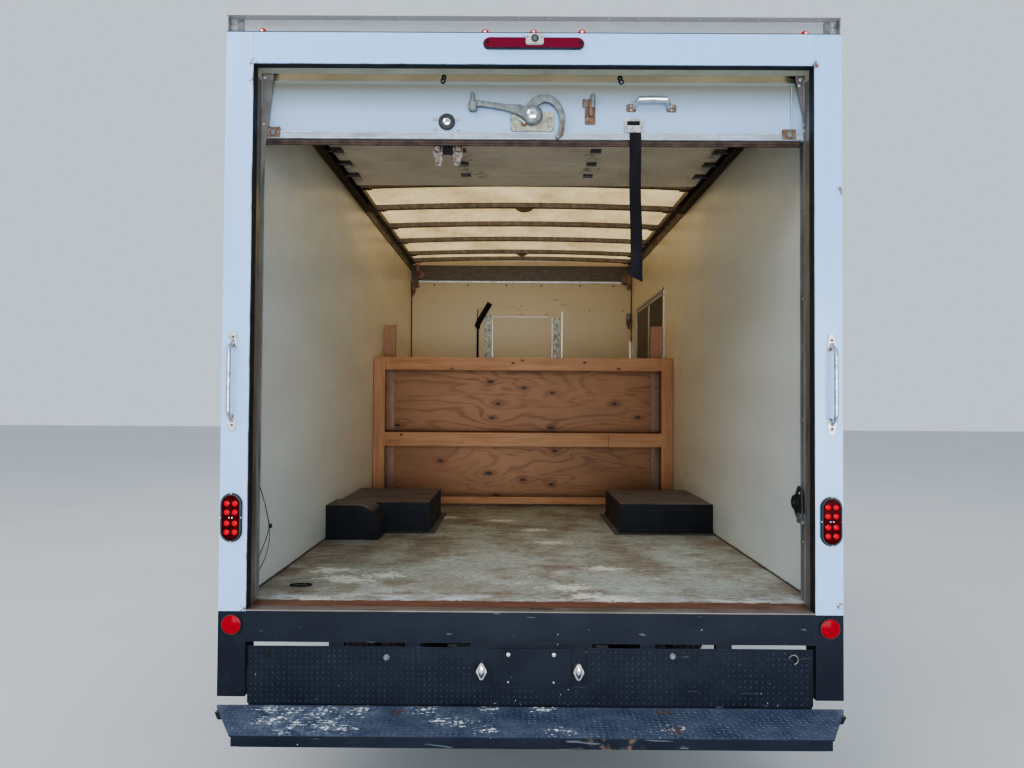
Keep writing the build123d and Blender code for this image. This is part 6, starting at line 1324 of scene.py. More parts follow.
def jamb_fittings():
    """Bolts along the tracks, the latch catch on the right jamb and the slanted flags at the top."""
    shapes = Shapes("zinc")
    for sign in SIGNS:
        inward = (-sign, 0, 0)
        bolts = [(sign * TRACK_X[0], 0.156, height) for height in (0.25, 0.75, 1.25, 1.62, 1.935, 1.965)]
        shapes.use("zinc").bolts(bolts, 0.0055, 0.004, inward)
        shapes.use("track").block(sign * 1.112, sign * 1.122, 0.098, 0.1275, 0.004, 2.05, 0.002)
        flag = [(0.100, 2.14), (0.100, 2.02), (0.128, 1.90), (0.135, 2.14)]
        shapes.plate(flag, *sorted((sign * 1.106, sign * 1.110)), axis=0)
        for place in (0.55, 1.10, 1.65, 2.20, 2.56):
            shapes.use("roof_steel").block(sign * TRACK_X[1], sign * 1.173, place - 0.02, place + 0.02, 2.215, 2.300)
            shapes.use("rust").bolts([(sign * 1.166, place, 2.235)], 0.006, 0.004, inward)
    catch = [(0.100, 0.345), (0.112, 0.470), (0.150, 0.480), (0.182, 0.440), (0.210, 0.402), (0.185, 0.365),
             (0.150, 0.335)]
    shapes.use("plastic").plate(catch, 1.096, 1.104, 0.001, axis=0)
    foot = [(0.102, 0.330), (0.110, 0.372), (0.150, 0.372), (0.160, 0.330)]
    shapes.use("cast").plate(foot, 1.094, 1.1105, axis=0)
    hub, rows = (1.096, 0.158, 0.412), [(-0.002, 0.030), (0.012, 0.030), (0.016, 0.024), (0.016, 0.012), (0.006, 0.010)]
    shapes.use("dark").lathe(rows, hub, 28, LEFT)
    shapes.use("chrome").lathe([(0.002, 0.010), (0.012, 0.010), (0.015, 0.004), (0.015, 0.0)], hub, 18, LEFT)
    shapes.use("zinc").rivets([(1.096, 0.128, 0.452)], 0.006, 0.004, LEFT)
    shapes.piece("jamb_fittings", slot="zinc_steel")


door_set()
door_trim()
jamb_fittings()


# Inside the load space
BOWS = [0.423 + index * 0.605 for index in range(8)] + [5.022]


def roof_trim():
    """Bow feet and the roof rails' bolts, the steel along the walls and two vents."""
    shapes = Shapes("roof_steel")
    for place, sign in itertools.product(BOWS, SIGNS):
        shapes.use("roof_steel").block(sign * 1.060, sign * 1.132, place - 0.030, place + 0.030, 2.272, 2.277)
        bolts = [(sign * 1.085, place - 0.018, 2.272), (sign * 1.085, place + 0.018, 2.272)]
        shapes.use("rust").bolts(bolts, 0.0065, 0.005, DOWN)
    for sign in SIGNS:
        bolts = [(sign * 1.152, 0.20 + index * 0.146, 2.276) for index in range(34)]
        shapes.use("zinc").bolts(bolts, 0.0055, 0.004, DOWN)
        shapes.use("roof_steel").block(sign * 1.1665, sign * 1.173, 0.12, 5.155, 2.196, 2.276, 0.002)
        bolts = [(sign * 1.1665, 0.24 + index * 0.19, 2.236) for index in range(26)]
        shapes.use("rust").bolts(bolts, 0.0055, 0.004, (-sign, 0, 0))
    for place, radius in ((2.936, 0.075), (4.760, 0.062)):
        rows = [(-0.004, radius), (0.006, radius), (0.022, 0.8 * radius), (0.034, 0.45 * radius), (0.038, 0.0)]
        shapes.use("tan").lathe(rows, (0.0, place, 2.330), 36, DOWN)
    shapes.piece("roof_trim", slot="roof_steel")


def foam(seed, centre, size):
    """A lump of sealing foam, from a ball pushed about by layered waves."""
    source = random.Random(seed)
    layers = [[source.uniform(-1, 1) for _ in range(3)] + [source.uniform(0, 6)] for _ in range(9)]
    rows = []
    for level in range(1, 18):
        polar = math.pi * level / 18
        row = []
        for a, b in circle(28):
            out = Vector((math.sin(polar) * a, math.sin(polar) * b, math.cos(polar)))
            swell = 1.0
            for index, layer in enumerate(layers):
                pace, weight = 2.2 + index * 0.9, 0.34 / (1 + index * 0.45)
                swell += weight * math.sin(pace * out.dot(Vector(layer[:3])) + layer[3])
            row.append(Vector(centre) + Vector([out[axis] * size[axis] * max(0.45, swell) for axis in range(3)]))
        rows.append(row)
    return rows


def front_wall_trim():
    """Foam, rivets, the patch's frame with its tape, a strap with its bar, and a light, from the wall's face."""
    shapes = Shapes("foam", (0.0, REAR_Y + BOX_LENGTH - FRONT_WALL, DECK))
    lumps = [(3, (-1.105, 2.175), (0.052, 0.034, 0.070)), (5, (-1.128, 2.070), (0.038, 0.030, 0.062)),
             (8, (-1.150, 1.975), (0.021, 0.022, 0.045)), (11, (1.118, 2.130), (0.040, 0.028, 0.075)),
             (15, (1.146, 2.050), (0.024, 0.022, 0.038))]
    for seed, (x, z), size in lumps:
        shapes.grid(foam(seed, (x, -0.015, z), size))
    rivets = [(x, 0, 2.052) for x in (-0.93, -0.572, -0.162, 0.212, 0.626, 0.98)]
    shapes.use("dark").rivets(rivets, 0.008, 0.004)
    rivets = ((0.725, 1.787), (1.080, 1.789), (-0.004, 1.831), (-0.004, 1.77), (-0.42, 1.80))
    shapes.use("rust").rivets([(x, 0, z) for x, z in rivets], 0.007, 0.003)
    shapes.use("alloy").block(-1.165, 1.165, -0.006, 0, 2.078, 2.100, 0.002)
    shapes.use("worn_chrome").block(-0.309, -0.303, -0.009, 0, 1.065, 1.718)
    shapes.block(0.326, 0.332, -0.009, 0, 1.065, 1.718)
    shapes.block(-0.309, 0.332, -0.009, 0, 1.712, 1.718)
    shapes.use("tape").block(-0.392, -0.322, -0.0065, 0, 1.000, 1.745)
    shapes.block(0.336, 0.410, -0.0065, 0, 1.000, 1.700)
    shapes.use("alloy").block(0.428, 0.440, -0.0060, 0, 1.000, 1.780)
    for sign in SIGNS:
        shapes.use("dark").block(sign * 1.166, sign * 1.172, -0.012, 0, 0.0, 2.10)
    strap = [(-0.335, 1.860, 0.029), (-0.385, 1.775, 0.029), (-0.430, 1.700, 0.029), (-0.468, 1.625, 0.029),
             (-0.478, 1.600, 0.020)]
    rows = []
    for x, z, half in strap:
        a, b = half * 0.8, half * 0.5
        rows.append([(x - a, -0.020, z + b), (x + a, -0.020, z - b), (x + a, -0.011, z - b), (x - a, -0.011, z + b)])
    shapes.grid(rows)
    shapes.block(-0.473, -0.453, -0.016, 0, 1.190, 1.606, 0.003)
    shapes.block(-0.480, -0.440, -0.014, 0, 1.590, 1.640, 0.004)
    shapes.tube([(-0.467, -0.006, 1.61), (-0.470, -0.008, 1.70), (-0.462, -0.006, 1.80)], 0.0045, 8)
    shapes.tube([(-0.440, -0.006, 1.64), (-0.425, -0.010, 1.72), (-0.430, -0.006, 1.77)], 0.0035, 8)
    shapes.use("cast").block(1.118, 1.160, -0.030, 0, 1.640, 1.760, 0.006)
    shapes.use("rust").block(1.128, 1.150, -0.042, -0.028, 1.590, 1.700, 0.005)
    shapes.use("clear").block(1.150, 1.170, -0.012, 0, 1.18, 1.46, 0.003)
    shapes.piece("front_wall_trim", slot="wall_panel")


def leaf_trim(name, start, end):
    """The rims and rivets round one leaf of the side doorway."""
    trim = Shapes("alloy")
    for x in (INNER_HALF - 0.0025, WALL_OUT - 0.0005):
        trim.block(x, x + 0.003, start, start + 0.022, 0.008, 1.742, 0.0008)
        trim.block(x, x + 0.003, end - 0.022, end, 0.008, 1.742, 0.0008)
        trim.block(x, x + 0.003, start, end, 0.008, 0.034, 0.0008)
        trim.block(x, x + 0.003, start, end, 1.716, 1.742, 0.0008)
    for index in range(12):
        rivets = [(WALL_OUT + 0.0025, place, 0.08 + index * 0.144) for place in (start + 0.011, end - 0.011)]
        trim.rivets(rivets, 0.0035, 0.002, RIGHT, 8)
    if name == "side_door_front":
        edge, skin = 4.125, WALL_OUT
        trim.use("zinc").tube([(skin + 0.020, edge, 0.02), (skin + 0.020, edge, 1.73)], 0.010, 16)
        for height in (0.05, 0.60, 1.20, 1.70):
            trim.block(skin, skin + 0.034, edge - 0.020, edge + 0.020, height - 0.022, height + 0.022, 0.004)
        lever = [(skin + 0.022, edge, 0.62), (skin + 0.036, edge + 0.05, 0.60), (skin + 0.036, edge + 0.26, 0.58)]
        trim.tube(lever, 0.008, 12, 0.8)
        trim.block(skin, skin + 0.040, edge + 0.25, edge + 0.29, 0.555, 0.605, 0.004)
    trim.piece(name + "_trim", body=name, slot="zinc_steel")


def doorway_trim():
    """The frame round the side doorway's inside, and its leaves' trim with a latch bar outside."""
    shapes = Shapes("alloy")
    low, high, top = 3.400, 4.800, 1.750
    for place in (low - 0.026, high + 0.004):
        shapes.block(INNER_HALF - 0.004, INNER_HALF + 0.001, place, place + 0.022, 0.0, top + 0.026)
    shapes.block(INNER_HALF - 0.004, INNER_HALF + 0.001, low - 0.026, high + 0.026, top + 0.004, top + 0.026)
    for place in (low - 0.004, high - 0.004):
        shapes.use("seal").block(INNER_HALF - 0.002, INNER_HALF + 0.010, place, place + 0.007, 0.0, top)
    shapes.piece("side_doorway_frame", slot="zinc_steel")
    leaf_trim("side_door_rear", 3.408, 4.096)
    leaf_trim("side_door_front", 4.104, 4.792)


def wall_wire():
    """The thin wire clipped to the left wall beside the door track."""
    shapes = Shapes("plastic")
    x = -INNER_HALF + 0.0025
    runs = [
        (0.0016, [(0.225, 1.20), (0.250, 1.00), (0.287, 0.80), (0.287, 0.646), (0.310, 0.554), (0.308, 0.473),
                  (0.365, 0.40), (0.411, 0.342), (0.467, 0.250)]),
        (0.0013, [(0.467, 0.250), (0.470, 0.183), (0.440, 0.145), (0.406, 0.112), (0.311, 0.068)]),
        (0.0013, [(0.462, 0.245), (0.417, 0.193), (0.349, 0.151), (0.301, 0.124)]),
    ]
    for radius, run in runs:
        shapes.tube([(x, y, z) for y, z in run], radius, 8)
    shapes.block(x - 0.002, x + 0.010, 0.458, 0.478, 0.240, 0.258, 0.004)
    for y, z in ((0.250, 1.00), (0.300, 0.60), (0.395, 0.365)):
        shapes.use("grey").block(x - 0.0025, x + 0.004, y - 0.008, y + 0.008, z - 0.005, z + 0.005)
    shapes.piece("wall_wire", slot="black_plastic")


def box_details():
    """Screws and folds of the wheel boxes, floor screws, and the drain hole's rim, with a black plate under the hole as
    painted shade inside it.
    """
    shapes = Shapes("zinc")
    inner, start, end = 0.597, 1.788, 2.566
    for sign in SIGNS:
        for index in range(7):
            y = start + 0.06 + index * 0.110
            shapes.use("zinc").rivets([(sign * (inner - 0.022), y, 0.004)], 0.006, 0.003, UP)
            shapes.use("box").rivets([(sign * (inner + 0.001), y, 0.163)], 0.005, 0.002, (-sign, 0, 0))
        for index in range(5):
            x = sign * (inner + 0.05 + index * 0.115)
            shapes.use("box").rivets([(x, start, 0.163)], 0.005, 0.002)
            shapes.use("zinc").rivets([(x, start - 0.020, 0.004)], 0.006, 0.003, UP)
        shapes.use("box").block(sign * 0.600, sign * 1.170, start - 0.0045, start, 0.004, 0.026)
        shapes.block(sign * (inner - 0.0045), sign * inner, start, end, 0.004, 0.026)
        shapes.block(sign * 0.640, sign * 1.135, start - 0.0025, start, 0.040, 0.148)
    screw = [(-0.001, 0.0055), (0.0006, 0.0055), (0.0003, 0.003), (0.0003, 0.0)]
    for x, y in itertools.product((-0.95, -0.62, -0.30, 0.02, 0.34, 0.66, 0.98), (0.16, 0.58, 0.99, 1.39, 2.70)):
        if not (abs(x) > 0.55 and 1.5 < y < 2.6):
            shapes.use("cast").lathe(screw, (x, y, 0.0), 12, UP)
    shapes.use("dark").block(-0.002, 0.092, 0.034, 0.042, -0.002, 0.0008, 0.0005)
    # Painted shade: a black plate under the drain hole keeps its inside dark.
    shapes.plate(oval(-1.007, 0.400, 0.0335, 0.0195), -0.012, -0.004, axis=2)
    rim = ((0.050, 0.030, 0.0), (0.048, 0.028, 0.003), (0.036, 0.022, 0.003), (0.0345, 0.0205, -0.002))
    shapes.frame(2, *[(oval(-1.007, 0.400, wide, long), z) for wide, long, z in rim])
    shapes.piece("floor_fixings", slot="box_black")


def shelf_details():
    """Screw heads and split ends of the shelf."""
    shapes = Shapes("cast")

    def screw(radius, x, z):
        rows = [(-0.001, radius), (0.0005, radius), (0.0003, radius - 0.002), (0.0003, 0.0)]
        shapes.lathe(rows, (x, SHELF_Y, z), 10)

    for sign, z in itertools.product(SIGNS, (0.035, 0.060, 0.485, 0.510, 0.535, 0.560, 1.078, 1.105, 1.140)):
        screw(0.0045, sign * (1.125 + 0.012 * math.sin(z * 40)), z)
    for index, z in itertools.product(range(9), (0.485, 1.142)):
        screw(0.004, -0.98 + index * 0.245 + 0.02 * math.sin(index * 5), z)
    for sign, (low, high) in itertools.product(SIGNS, ((0.022, 0.551), (0.575, 1.139))):
        shapes.use("grey_wood").block(sign * 1.056, sign * 1.129, 3.322, 3.3335, low, high, 0.002)
    shapes.piece("shelf_screws", slot="zinc_steel")


roof_trim()
front_wall_trim()
doorway_trim()
wall_wire()
box_details()
shelf_details()


# Outside of the box
RIVET_PITCH = 0.1016
WHEEL_WELL = (1.835, 2.525)


def roof_crown(x):
    """The roof's rise over its edges."""
    return 0.024 * (1 - (x / WALL_OUT) ** 2)


def side_rails(shapes, sign):
    """One side's top and bottom rails and its front corner post, with their rivets."""
    out, skin = (sign, 0, 0), sign * WALL_OUT
    face = skin + sign * 0.004
    shapes.block(skin, face, 0.100, BOX_LENGTH, 2.222, 2.312, 0.0015)
    shapes.block(skin, skin + sign * 0.012, 0.100, BOX_LENGTH, 2.296, 2.312, 0.003)
    for start, end in ((0.100, WHEEL_WELL[0]), (WHEEL_WELL[1], BOX_LENGTH)):
        shapes.block(skin, skin + sign * 0.005, start, end, -0.098, -0.012, 0.0015)
        shapes.block(skin, skin + sign * 0.012, start, end, -0.060, -0.044, 0.004)
        for index in range(int((end - start) / RIVET_PITCH)):
            place = (skin + sign * 0.005, start + 0.04 + index * RIVET_PITCH, -0.026)
            shapes.rivets([place], 0.0045, 0.0025, out, 8)
    for index in range(50):
        y = 0.14 + index * RIVET_PITCH
        shapes.rivets([(face, y, 2.240), (face, y, 2.280)], 0.0045, 0.0025, out, 8)
    shapes.block(skin, face, BOX_LENGTH - 0.060, BOX_LENGTH, -0.098, 2.222, 0.0015)
    shapes.block(skin - sign * 0.060, face, BOX_LENGTH, BOX_LENGTH + 0.004, -0.098, 2.312, 0.0015)
    for index in range(22):
        z = index * RIVET_PITCH
        shapes.rivets([(skin - sign * 0.030, BOX_LENGTH + 0.004, z)], 0.0045, 0.0025, FRONT, 8)
        shapes.rivets([(face, BOX_LENGTH - 0.030, z)], 0.0045, 0.0025, out, 8)


def outside_rails():
    """The top and bottom rails with their rivets, front corner posts and the fuel filler."""
    shapes = Shapes("alloy")
    for sign in SIGNS:
        side_rails(shapes, sign)
    crown = [(x * 0.1, 2.313 + roof_crown(x * 0.1)) for x in range(-12, 13)]
    shapes.plate([(-1.2, 2.262), *crown, (1.2, 2.262)], BOX_LENGTH, BOX_LENGTH + 0.006)
    shapes.block(-1.153, 1.153, BOX_LENGTH, BOX_LENGTH + 0.004, -0.098, -0.040, 0.0015)
    filler = rounded((1.560, 0.055), (1.740, 0.235), 0.020)
    shapes.use("white").plate(filler, -WALL_OUT - 0.006, -WALL_OUT + 0.002, 0.002, axis=0)
    rows = [(0.0, 0.052), (0.010, 0.052), (0.020, 0.046), (0.022, 0.030), (0.022, 0.0)]
    shapes.use("plastic").lathe(rows, (-WALL_OUT - 0.005, 1.650, 0.145), 36, LEFT)
    shapes.block(-WALL_OUT - 0.036, -WALL_OUT - 0.020, 1.643, 1.657, 0.112, 0.178, 0.004)
    shapes.use("alloy").block(WALL_OUT, WALL_OUT + 0.022, 3.34, 4.86, 1.768, 1.776, 0.002)
    shapes.block(WALL_OUT, WALL_OUT + 0.003, 3.34, 4.86, 1.768, 1.800)
    shapes.piece("outside_rails", slot="zinc_steel")
    roof = Shapes("alloy")
    for place, index in itertools.product(BOWS, range(19)):
        x = -1.08 + index * 0.12
        roof.rivets([(x, place, INNER_TOP + 0.0385 + roof_crown(x))], 0.005, 0.002, UP, 8)
    roof.piece("roof_rivets", slot="roof_film")


outside_rails()


# Tyres with tread, and wheel details; half a section in rows of offset and radius, up to the groove floor
TYRE_ROWS = [(0.076, 0.2030), (0.084, 0.2060), (0.092, 0.2130), (0.0985, 0.2240), (0.1035, 0.2380),
             (0.1045, 0.2400), (0.1065, 0.2400), (0.1095, 0.2560), (0.1112, 0.2740), (0.1113, 0.2900),
             (0.1100, 0.3060), (0.1110, 0.3075), (0.1100, 0.3090), (0.1078, 0.3240), (0.1040, 0.3400),
             (0.1000, 0.3520), (0.0955, 0.3600), (0.0900, 0.3625), (0.0500, 0.3628), (0.0, 0.3628)]
BEAD_ROWS = [(-0.076, 0.2026), (0.076, 0.2026)]
TREAD_RIBS = [(-0.0955, -0.0640), (-0.0560, -0.0230), (-0.0150, 0.0150), (0.0230, 0.0560), (0.0640, 0.0955)]
TREAD_COUNT = 64
TREAD_FOOT = 0.3615


def add_tyre(shapes, x, y):
    shapes.start = (x, y, TYRE_RADIUS)
    mirrored = [(-along, radius) for along, radius in TYRE_ROWS[-2::-1]]
    shapes.lathe(TYRE_ROWS + mirrored + BEAD_ROWS, (0, 0, 0), 96, RIGHT, loop=True)
    for (rib, (low, high)), index in itertools.product(enumerate(TREAD_RIBS), range(TREAD_COUNT)):
        shoulder, odd = rib in (0, 4), rib % 2
        skew = 0.35 if odd else -0.35
        middle = 2 * math.pi * (index + 0.5 * odd) / TREAD_COUNT
        half = math.pi / TREAD_COUNT * (0.80 if shoulder else 0.88)
        points = []
        for radius, pinch in ((TREAD_FOOT, 0.0), (TYRE_RADIUS - (0.0006 if shoulder else 0), 0.0012)):
            for along, side in ((low + pinch, -1), (high - pinch, -1), (high - pinch, 1), (low + pinch, 1)):
                angle = middle + side * (half - pinch / TYRE_RADIUS) + skew * (along - (low + high) / 2) / TYRE_RADIUS
                drop = 0.004 if abs(along) > 0.09 and radius > TREAD_FOOT else 0.0
                points.append((along, (radius - drop) * math.sin(angle), (radius - drop) * math.cos(angle)))
        shapes.add(points, [[0, 3, 2, 1], [4, 5, 6, 7]] + bands(1, 4))


def add_nuts(nuts, sign):
    """Eight nuts on their studs, and the valve, measured from the middle of the rim's face."""
    out = (sign, 0, 0)
    nut = [(-0.002, 0.0150), (0.004, 0.0150), (0.004, 0.0125), (0.018, 0.0120), (0.021, 0.0095)]
    for a, b in circle(8, 0.5):
        spot = (0, 0.0885 * b, 0.0885 * a)
        nuts.lathe(nut, spot, 6, out)
        nuts.lathe([(0.018, 0.0065), (0.030, 0.0065), (0.031, 0.0055)], spot, 14, out)
    nuts.use("rubber").tube([(sign * -0.012, 0.150, 0.03), (sign * 0.010, 0.152, 0.03)], 0.004, 8)


def wheels():
    for side, sign in SIDES.items():
        front = Shapes("tyre")
        add_tyre(front, sign * 0.868, FRONT_AXLE)
        front.piece("treaded_tyre_front_" + side, "wheel_front_" + side, "tyre", ["tyre_front_" + side])
        pair = Shapes("tyre")
        add_tyre(pair, sign * 1.049, REAR_AXLE)
        add_tyre(pair, sign * 0.789, REAR_AXLE)
        pair.piece("treaded_tyres_rear_" + side, "wheels_rear_" + side, "tyre", ["tyres_rear_" + side])
        for name, y, face in (("wheel_front_", FRONT_AXLE, 0.998), ("wheels_rear_", REAR_AXLE, 0.929)):
            nuts = Shapes("zinc", (sign * face, y, TYRE_RADIUS))
            add_nuts(nuts, sign)
            nuts.piece(name + side + "_nuts", name + side, "zinc_steel")


wheels()


# Cab details
def on_screen(x, share, lift=0.0):
    """A point on the windshield's plane: share 0 at the cowl and 1 at the header."""
    out = Vector((0, 0.65, 0.56)).normalized()
    return Vector((x, -0.085 - 0.56 * share, 1.385 + 0.65 * share)) + out * lift


def wiper_pair():
    wipers = Shapes("plastic", CAB)
    for x in (-0.62, 0.08):
        base, tip = on_screen(x, 0.04, 0.002), on_screen(x + 0.300, 0.42, 0.004)
        wipers.lathe([(-0.02, 0.018), (0.004, 0.018), (0.010, 0.012)], base, 18, (0, 0.65, 0.56))
        wipers.tube([base, base.lerp(tip, 0.5) + Vector((0, 0.006, 0.006)), tip], 0.0065, 8)
        low, high = on_screen(x + 0.108, 0.16, -0.004), on_screen(x + 0.552, 0.62, -0.004)
        wipers.tube([low, low.lerp(high, 0.5), high], 0.006, 8, 0.6)
        for share in (0.18, 0.40, 0.60, 0.82):
            foot = low.lerp(high, share)
            wipers.tube([foot, foot + Vector((0, 0.008, 0.008))], 0.004, 6)
    wipers.piece("wipers", slot="black_plastic")
    cowl = Shapes("plastic", CAB)
    for index in range(28):
        x = -0.72 + index * 0.0535
        cowl.block(x - 0.018, x + 0.018, -0.074, -0.012, 1.3735, 1.3815, 0.002)
    cowl.piece("cowl_vents", slot="black_plastic")


def door_parts(side, sign):
    """The handle, lock and moulding of a cab door, its mirror's two glasses, and the fender's side lamp."""
    door, out = "cab_door_" + side, (sign, 0, 0)
    y = -1.175
    handle = Shapes("plastic", CAB)
    face = sorted((sign * 1.003, sign * 1.012))
    handle.plate(rounded((y - 0.080, 1.205), (y + 0.080, 1.262), 0.014), *face, 0.002, axis=0)
    grip = [(sign * 1.010, y - 0.060, 1.236), (sign * 1.026, y - 0.045, 1.238), (sign * 1.028, y + 0.035, 1.238),
            (sign * 1.012, y + 0.058, 1.236)]
    handle.tube(grip, 0.010, 12, 0.8)
    lock = [(-0.004, 0.010), (0.004, 0.010), (0.006, 0.006)]
    handle.use("chrome").lathe(lock, (sign * 1.008, y - 0.068, 1.190), 20, out)
    handle.use("plastic").block(sign * 1.000, sign * 1.009, -1.175, -0.345, 1.3300, 1.3420, 0.003)
    handle.piece("door_handle_" + side, door, "black_plastic")
    glass = Shapes("chrome", CAB)
    x0, x1 = sorted((sign * (CAB_HALF + 0.103), sign * (CAB_HALF + 0.267)))
    glass.panel(x0, x1, -0.3035, -0.2995, 1.395, 1.622, 0.022, 0.0015)
    glass.panel(x0, x1, -0.3050, -0.2995, 1.328, 1.386, 0.018, 0.0025)
    glass.piece("mirror_glass_" + side, door, "chrome")
    face = sorted((sign * 0.9655, sign * 0.9840))
    lamp = Shapes("amber", CAB).plate(rounded((0.500, 0.955), (0.580, 0.985), 0.010), *face, 0.003, axis=0)
    lamp.piece("side_lamp_" + side, slot="red_lens")


def bumper_grip():
    bumper = Shapes("plastic", CAB).panel(-0.52, 0.52, 0.846, 0.853, 0.49, 0.60, 0.02, 0.003)
    for index in range(9):
        z = 0.498 + index * 0.0115
        bumper.block(-0.50, 0.50, 0.850, 0.857, z, z + 0.0055)
    for sign in SIGNS:
        hook = [(sign * 0.397, y, z) for y, z in ((0.845, 0.60), (0.880, 0.60), (0.885, 0.575), (0.850, 0.560))]
        bumper.use("chassis").tube(hook, 0.009, 10)
    bumper.piece("bumper_grip", slot="black_plastic")


def dash_details():
    """Gauges under their hood, vents, radio, knobs, glove box and pedals."""
    shapes = Shapes("trim", CAB).block(-0.60, -0.26, -0.590, -0.440, 1.335, 1.400, 0.020)
    shapes.use("dark").block(-0.585, -0.275, -0.594, -0.588, 1.300, 1.385, 0.004)
    for x, radius in ((-0.505, 0.038), (-0.355, 0.038), (-0.430, 0.024)):
        rows = [(-0.001, radius), (0.003, radius), (0.004, radius - 0.003), (0.001, radius - 0.004)]
        shapes.use("clear").lathe(rows, (x, -0.594, 1.345), 32)
        shapes.use("dark").lathe([(0.0, radius - 0.004), (0.002, radius - 0.004)], (x, -0.594, 1.345), 32)
        for tick in range(9):
            angle = math.radians(-130 + 260 * tick / 8)
            a, b = math.sin(angle), math.cos(angle)
            spot = Vector((x + a * (radius - 0.009), -0.597, 1.345 + b * (radius - 0.009)))
            shapes.use("clear").tube([spot, spot + Vector((a, 0, b)) * 0.004], 0.0006, 4)
    for x in (-0.80, -0.14, 0.14, 0.80):
        shapes.use("plastic").panel(x - 0.055, x + 0.055, -0.604, -0.570, 1.265, 1.320, 0.010, 0.003)
        for index in range(4):
            z = 1.272 + index * 0.0125
            shapes.use("trim").block(x - 0.047, x + 0.047, -0.608, -0.602, z, z + 0.005)
    shapes.use("plastic").panel(-0.095, 0.095, -0.606, -0.560, 1.185, 1.240, 0.006, 0.002)
    for x in (-0.07, 0.0, 0.07):
        shapes.use("trim").lathe([(-0.004, 0.017), (0.016, 0.015), (0.018, 0.012)], (x, -0.596, 1.150), 24)
    shapes.use("trim").panel(0.27, 0.73, -0.603, -0.560, 1.130, 1.235, 0.020, 0.003)
    for x in (-0.36, -0.50):
        shapes.use("rubber").panel(x - 0.030, x + 0.030, -0.420, -0.405, 0.90, 0.98, 0.010, 0.003)
        shapes.use("chassis").tube([(x, -0.405, 0.94), (x, -0.34, 1.03), (x, -0.29, 1.10)], 0.008, 8)
    shapes.piece("dash_details", slot="cab_trim")


wiper_pair()
for side, sign in SIDES.items():
    door_parts(side, sign)
bumper_grip()
dash_details()


# Seats, each part a padded form with sewn channels
def pad_rows(size, crown, channels, turn, centre, levels=30, steps=44):
    """A crowned closed form: a rounded block whose sides pull in, with sewn grooves across it."""
    rows = []
    for level in range(1, levels):
        polar = math.pi * level / levels
        row = []
        for across, ahead in circle(steps):
            base = (math.sin(polar) * across, math.sin(polar) * ahead, math.cos(polar))
            a, b, c = [math.copysign(abs(value) ** power, value) for value, power in zip(base, (0.42, 0.42, 0.55))]
            swell = 1.0 + crown * (1.0 - min(1.0, max(abs(a), abs(b))) ** 2)
            point = Vector((a * size[0] * (1 - 0.05 * b ** 2), b * size[1] * (1 - 0.05 * a ** 2), c * size[2] * swell))
            if c > 0.2:
                for where, wide, deep in channels:
                    point.z -= deep * math.exp(-((point.x - where) / wide) ** 2) * min(1.0, (c - 0.2) * 3)
            row.append(centre + turn @ point)
        rows.append(row)
    return rows


# Name, half sizes, lean in degrees, and the centre ahead of the front axle and above the cab's floor
SEAT_PARTS = [("cushion", (0.245, 0.248, 0.052), 4, -0.930, 0.243), ("back", (0.235, 0.318, 0.050), 104, -1.232, 0.560),
              ("headrest", (0.125, 0.085, 0.040), 96, -1.298, 0.945)]
SEAT_CHANNELS = [(-0.150, 0.006, 0.010), (0.150, 0.006, 0.010), (0.0, 0.005, 0.004)]


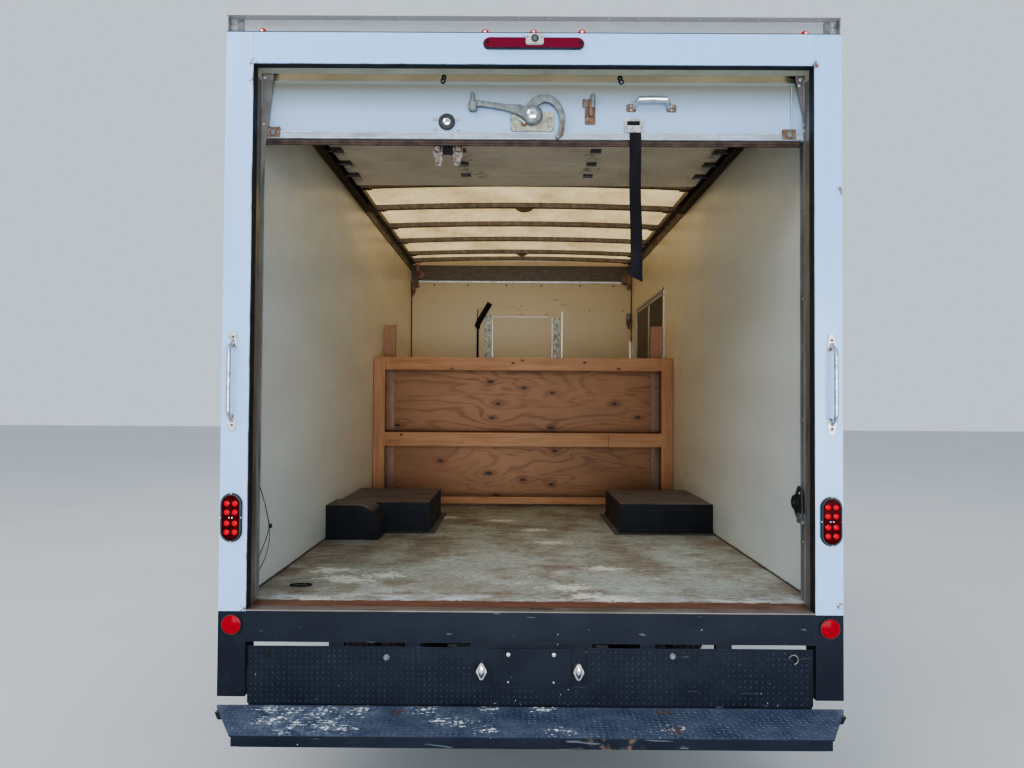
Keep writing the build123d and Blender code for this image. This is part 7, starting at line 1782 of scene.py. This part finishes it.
def make_seats():
    place = (0.0, FRONT_AXLE, CAB_FLOOR)
    for side, sign in SIDES.items():
        x = sign * 0.430
        for name, size, lean, y, z in SEAT_PARTS:
            channels = [] if name == "headrest" else SEAT_CHANNELS
            turn = Matrix.Rotation(math.radians(lean), 3, "X")
            facing = turn if name == "cushion" else turn @ Matrix.Rotation(math.pi, 3, "X")
            shapes = Shapes("fabric", place).grid(pad_rows(size, 0.22, channels, facing, Vector((x, y, z))))
            replaced = ["seats"] if side == "left" and name == "cushion" else []
            pad = shapes.piece("seat_" + name + "_" + side, slot="seat_fabric", replaces=replaced, smooth=60)
        base = Shapes("plastic", place).block(x - 0.195, x + 0.195, -1.120, -0.790, 0.045, 0.185, 0.018)
        for rail in (x - 0.15, x + 0.15):
            base.use("zinc").block(rail - 0.018, rail + 0.018, -1.125, -0.785, 0.001, 0.047, 0.003)
        for post in (x - 0.05, x + 0.05):
            base.use("chrome").tube([(post, -1.290, 0.83), (post, -1.300, 0.91)], 0.006, 12)
        base.use("plastic").block(x + sign * 0.205, x + sign * 0.235, -1.10, -0.95, 0.12, 0.16, 0.008)
        base.piece("seat_base_" + side, slot="black_plastic")


make_seats()


# Floor, lights and sky
def make_stage():
    mesh = bpy.data.meshes.new("floor")
    reach = 40.0
    corners = [(-reach, -reach, 0), (reach, -reach, 0), (reach, reach, 0), (-reach, reach, 0)]
    mesh.from_pydata(corners, [], [[0, 1, 2, 3]])
    look = Look("floor_pale", (0.60, 0.60, 0.60), 0.8)
    look.coat((0.56, 0.56, 0.565), look.patch(0.3, 0.7, 0.6))
    mesh.materials.append(look.material)
    floor = bpy.data.objects.new("floor", mesh)
    bpy.context.collection.objects.link(floor)


def area_light(name, place, target, size, power, color):
    data = bpy.data.lights.new(name, "AREA")
    data.shape = "RECTANGLE"
    data.size, data.size_y = size
    data.energy = power
    data.color = color
    lamp = bpy.data.objects.new(name, data)
    bpy.context.collection.objects.link(lamp)
    lamp.location = place
    lamp.rotation_euler = (Vector(target) - Vector(place)).to_track_quat("-Z", "Y").to_euler()


def make_lights():
    world = bpy.data.worlds.new("sky")
    world.use_nodes = True
    back = world.node_tree.nodes["Background"]
    back.inputs["Color"].default_value = (0.80, 0.90, 1.0, 1.0)
    back.inputs["Strength"].default_value = 0.95
    scene = bpy.context.scene
    scene.world = world
    scene.view_settings.look = "AgX - Medium High Contrast"
    scene.view_settings.gamma = 0.85
    area_light("key", (-7.0, -11.0, 9.0), (0, -1.0, 1.4), (7, 7), 700.0, (0.97, 0.98, 1.0))
    area_light("fill", (0.7, -12.0, 1.5), (0, -2.0, 1.8), (8, 3), 860.0, (0.88, 0.95, 1.0))
    area_light("over", (0.0, 1.0, 11.0), (0, 0, 0), (9, 9), 450.0, (1.0, 1.0, 1.0))


make_stage()
make_lights()
